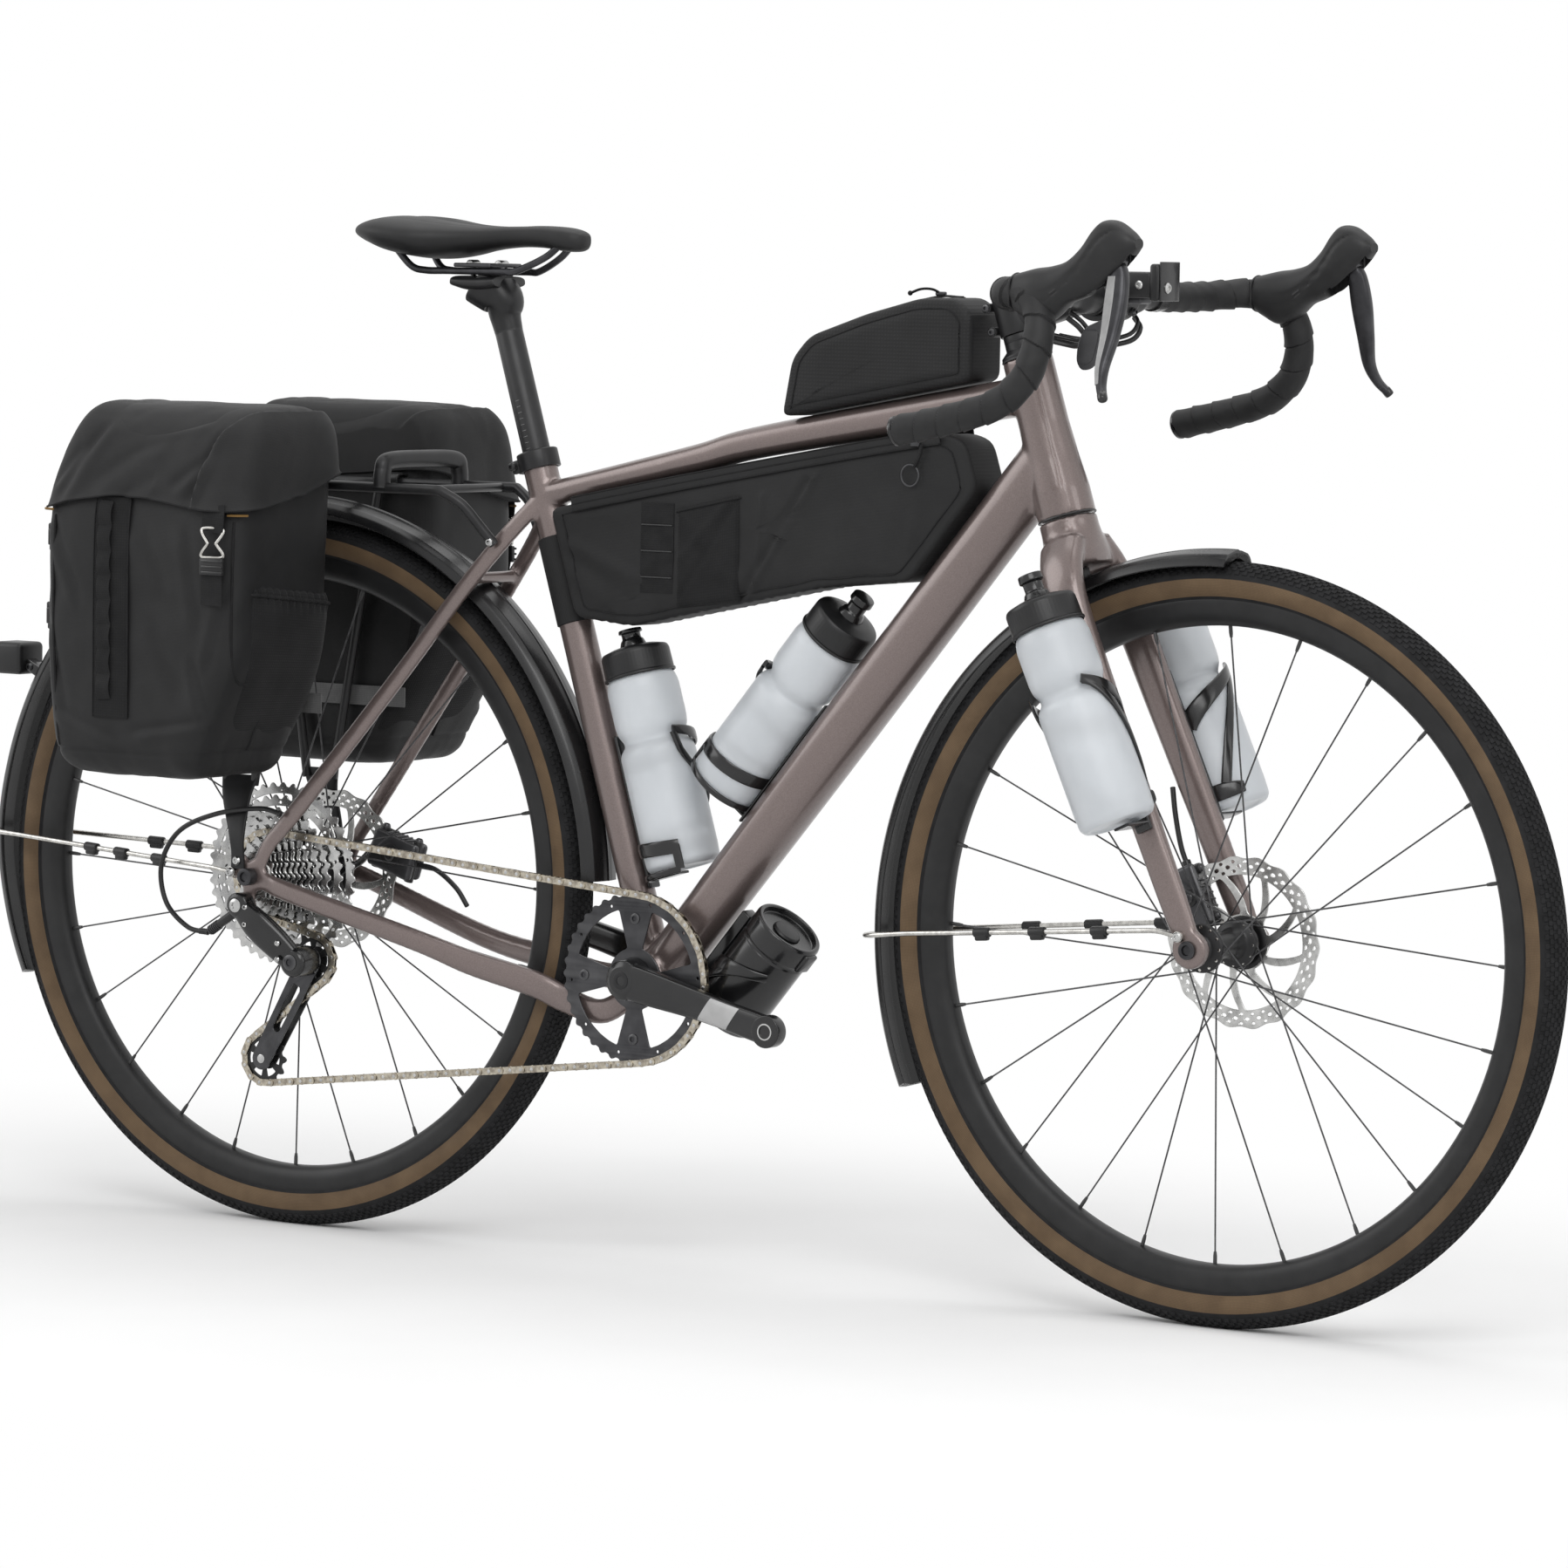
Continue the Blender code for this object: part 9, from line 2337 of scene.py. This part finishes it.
def make_stage(settings):
    """A pale floor, soft overhead and side lights, and the camera at the photograph's angle."""
    points = np.array([(-1.0, -1.0, 0.0), (1.0, -1.0, 0.0), (1.0, 1.0, 0.0), (-1.0, 1.0, 0.0)]) * FLOOR_REACH
    mesh = bpy.data.meshes.new("floor")
    mesh.from_pydata(points.tolist(), [], [(0, 1, 2, 3)])
    mesh.materials.append(faded_floor())
    floor = bpy.data.objects.new("floor", mesh)
    bpy.context.scene.collection.objects.link(floor)
    rows = (
        ("key_light", (2.2, -3.2, 3.4), (3.0, 2.4), settings.key_power, (0.0, 0.0, 0.5)),
        ("fill_light", (-3.4, -2.2, 2.4), (2.6, 2.6), settings.key_power * 0.45, (0.0, 0.0, 0.5)),
        ("top_light", (0.0, 0.6, 3.8), (3.4, 3.0), settings.key_power * 0.55, (0.0, 0.0, 0.4)),
        ("front_light", (4.4, -0.6, 1.8), (1.6, 2.2), settings.key_power * 0.25, (0.2, 0.0, 0.6)),
    )
    for name, where, size, power, target in rows:
        lamp = bpy.data.lights.new(name, "AREA")
        lamp.shape = "RECTANGLE"
        lamp.size, lamp.size_y = size
        lamp.energy = power
        thing = bpy.data.objects.new(name, lamp)
        thing.location = where
        thing.rotation_euler = (Vector(target) - Vector(where)).to_track_quat("-Z", "Y").to_euler()
        bpy.context.scene.collection.objects.link(thing)
    world = bpy.data.worlds.new("studio")
    bpy.context.scene.world = world
    world.use_nodes = True
    tree = world.node_tree
    back = tree.nodes["Background"]
    back.inputs["Color"].default_value = (1.0, 1.0, 1.0, 1.0)
    back.inputs["Strength"].default_value = settings.room_light
    bright = tree.nodes.new("ShaderNodeBackground")
    bright.inputs["Color"].default_value = (1.0, 1.0, 1.0, 1.0)
    bright.inputs["Strength"].default_value = 1.0
    path = tree.nodes.new("ShaderNodeLightPath")
    mix = tree.nodes.new("ShaderNodeMixShader")
    first, second = tree.nodes.new("ShaderNodeMath"), tree.nodes.new("ShaderNodeMath")
    first.operation = second.operation = "MAXIMUM"
    tree.links.new(path.outputs["Is Camera Ray"], first.inputs[0])
    tree.links.new(path.outputs["Is Glossy Ray"], first.inputs[1])
    tree.links.new(first.outputs[0], second.inputs[0])
    tree.links.new(path.outputs["Is Transmission Ray"], second.inputs[1])
    tree.links.new(second.outputs[0], mix.inputs["Fac"])
    tree.links.new(back.outputs[0], mix.inputs[1])
    tree.links.new(bright.outputs[0], mix.inputs[2])
    tree.links.new(mix.outputs[0], tree.nodes["World Output"].inputs["Surface"])
    camera = bpy.data.cameras.new("photo_camera")
    camera.lens = CAMERA_LENS
    camera.sensor_width = 36.0
    camera.clip_end = 100.0
    level, roll = math.cos(CAMERA_ELEVATION), CAMERA_ROLL
    back_way = np.array(
        [math.sin(CAMERA_AZIMUTH) * level, -math.cos(CAMERA_AZIMUTH) * level, math.sin(CAMERA_ELEVATION)])
    right = unit(np.cross(-back_way, UP))
    rise = np.cross(right, -back_way)
    columns = (
        right * math.cos(roll) + rise * math.sin(roll), rise * math.cos(roll) - right * math.sin(roll),
        back_way)
    thing = bpy.data.objects.new("photo_camera", camera)
    turned_way = [[*row, where] for row, where in zip(np.stack(columns, 1).tolist(), CAMERA_PLACE)]
    thing.matrix_world = Matrix(turned_way + [[0.0, 0.0, 0.0, 1.0]])
    bpy.context.scene.collection.objects.link(thing)
    bpy.context.scene.camera = thing
    bpy.context.scene.view_settings.view_transform = "Standard"


# The add-on: settings, one operator for each group of pieces, and their panel
class GravelBikeSettings(bpy.types.PropertyGroup):
    """Colours and sizes that the operators read."""

    paint: FloatVectorProperty(
        name="Frame paint", description="Colour of frame and fork", default=(0.185, 0.145, 0.136), size=3,
        min=0.0, max=1.0, subtype="COLOR")
    sidewall: FloatVectorProperty(
        name="Sidewall", description="Colour of the tyres' side bands", default=(0.135, 0.088, 0.048), size=3,
        min=0.0, max=1.0, subtype="COLOR")
    bottle: FloatVectorProperty(
        name="Bottle", description="Colour of the frosted bottles", default=(0.66, 0.69, 0.72), size=3,
        min=0.0, max=1.0, subtype="COLOR")
    fabric: FloatVectorProperty(
        name="Fabric", description="Colour of the bags", default=(0.0068, 0.0068, 0.0072), size=3, min=0.0,
        max=1.0, subtype="COLOR")
    weld: FloatProperty(
        name="Weld step", description="Step of the skin grown over the frame's tubes", default=0.00235,
        min=0.001, max=0.01, unit="LENGTH", subtype="DISTANCE")
    key_power: FloatProperty(
        name="Key light", description="Power of the main light in watts", default=90.0, min=0.0, max=2000.0,
        subtype="POWER")
    room_light: FloatProperty(
        name="Room light", description="Strength of the surroundings", default=0.55, min=0.0, max=5.0,
        subtype="FACTOR")


class GRAVEL_OT_wheels(bpy.types.Operator):
    """Build tyres, rims, hubs with spokes and rotors"""

    bl_idname = "gravel.wheels"
    bl_label = "Wheels"

    def execute(self, context):
        make_wheels()
        return {"FINISHED"}


class GRAVEL_OT_frame(bpy.types.Operator):
    """Build the main frame, seat clamp, bracket cups and axles"""

    bl_idname = "gravel.frame"
    bl_label = "Frame"

    def execute(self, context):
        make_frame()
        return {"FINISHED"}


class GRAVEL_OT_fork(bpy.types.Operator):
    """Build the fork and headset"""

    bl_idname = "gravel.fork"
    bl_label = "Fork"

    def execute(self, context):
        make_fork()
        return {"FINISHED"}


class GRAVEL_OT_cockpit(bpy.types.Operator):
    """Build stem, bar, tape, hoods, levers, light mount and hoses"""

    bl_idname = "gravel.cockpit"
    bl_label = "Cockpit"

    def execute(self, context):
        make_cockpit()
        return {"FINISHED"}


class GRAVEL_OT_brakes(bpy.types.Operator):
    """Build both brake calipers with their hoses"""

    bl_idname = "gravel.brakes"
    bl_label = "Brakes"

    def execute(self, context):
        make_brakes()
        return {"FINISHED"}


class GRAVEL_OT_drive(bpy.types.Operator):
    """Build cranks, chainring, cassette, chain and derailleur"""

    bl_idname = "gravel.drive"
    bl_label = "Drive"

    def execute(self, context):
        make_drive()
        return {"FINISHED"}


class GRAVEL_OT_seat(bpy.types.Operator):
    """Build the saddle, its rails and the seatpost"""

    bl_idname = "gravel.seat"
    bl_label = "Seat"

    def execute(self, context):
        make_seat()
        return {"FINISHED"}


class GRAVEL_OT_fenders(bpy.types.Operator):
    """Build fenders, stays and the reflector block"""

    bl_idname = "gravel.fenders"
    bl_label = "Fenders"

    def execute(self, context):
        make_fenders()
        return {"FINISHED"}


class GRAVEL_OT_rack(bpy.types.Operator):
    """Build the rear rack"""

    bl_idname = "gravel.rack"
    bl_label = "Rack"

    def execute(self, context):
        make_rack()
        return {"FINISHED"}


class GRAVEL_OT_panniers(bpy.types.Operator):
    """Build both panniers with their straps and pockets"""

    bl_idname = "gravel.panniers"
    bl_label = "Panniers"

    def execute(self, context):
        make_panniers()
        return {"FINISHED"}


class GRAVEL_OT_bags(bpy.types.Operator):
    """Build the frame bag and the top tube bag"""

    bl_idname = "gravel.bags"
    bl_label = "Frame bags"

    def execute(self, context):
        make_bags()
        return {"FINISHED"}


class GRAVEL_OT_bottles(bpy.types.Operator):
    """Build bottles, the keg and their cages"""

    bl_idname = "gravel.bottles"
    bl_label = "Bottles"

    def execute(self, context):
        make_bottles()
        return {"FINISHED"}


class GRAVEL_OT_stage(bpy.types.Operator):
    """Set the floor, lights, surroundings and camera"""

    bl_idname = "gravel.stage"
    bl_label = "Stage"

    def execute(self, context):
        make_stage(context.scene.gravel_bike)
        return {"FINISHED"}


OPERATORS = (
    GRAVEL_OT_wheels, GRAVEL_OT_frame, GRAVEL_OT_fork, GRAVEL_OT_cockpit, GRAVEL_OT_brakes, GRAVEL_OT_drive,
    GRAVEL_OT_seat, GRAVEL_OT_fenders, GRAVEL_OT_rack, GRAVEL_OT_panniers, GRAVEL_OT_bags, GRAVEL_OT_bottles,
    GRAVEL_OT_stage,)


class GRAVEL_PT_panel(bpy.types.Panel):
    """Lists the settings and the operators"""

    bl_label = "Gravel bike"
    bl_idname = "GRAVEL_PT_panel"
    bl_space_type = "VIEW_3D"
    bl_region_type = "UI"
    bl_category = "Gravel bike"

    def draw(self, context):
        settings = context.scene.gravel_bike
        for name in ("paint", "sidewall", "bottle", "fabric", "weld", "key_power", "room_light"):
            self.layout.prop(settings, name)
        for operator in OPERATORS:
            self.layout.operator(operator.bl_idname)


def register():
    for kind in (GravelBikeSettings, *OPERATORS, GRAVEL_PT_panel):
        bpy.utils.register_class(kind)
    bpy.types.Scene.gravel_bike = PointerProperty(type=GravelBikeSettings)


def unregister():
    del bpy.types.Scene.gravel_bike
    for kind in reversed((GravelBikeSettings, *OPERATORS, GRAVEL_PT_panel)):
        bpy.utils.unregister_class(kind)


def main():
    register()
    for operator in OPERATORS:
        group, name = operator.bl_idname.split(".")
        getattr(getattr(bpy.ops, group), name)()


if __name__ == "__main__":
    main()
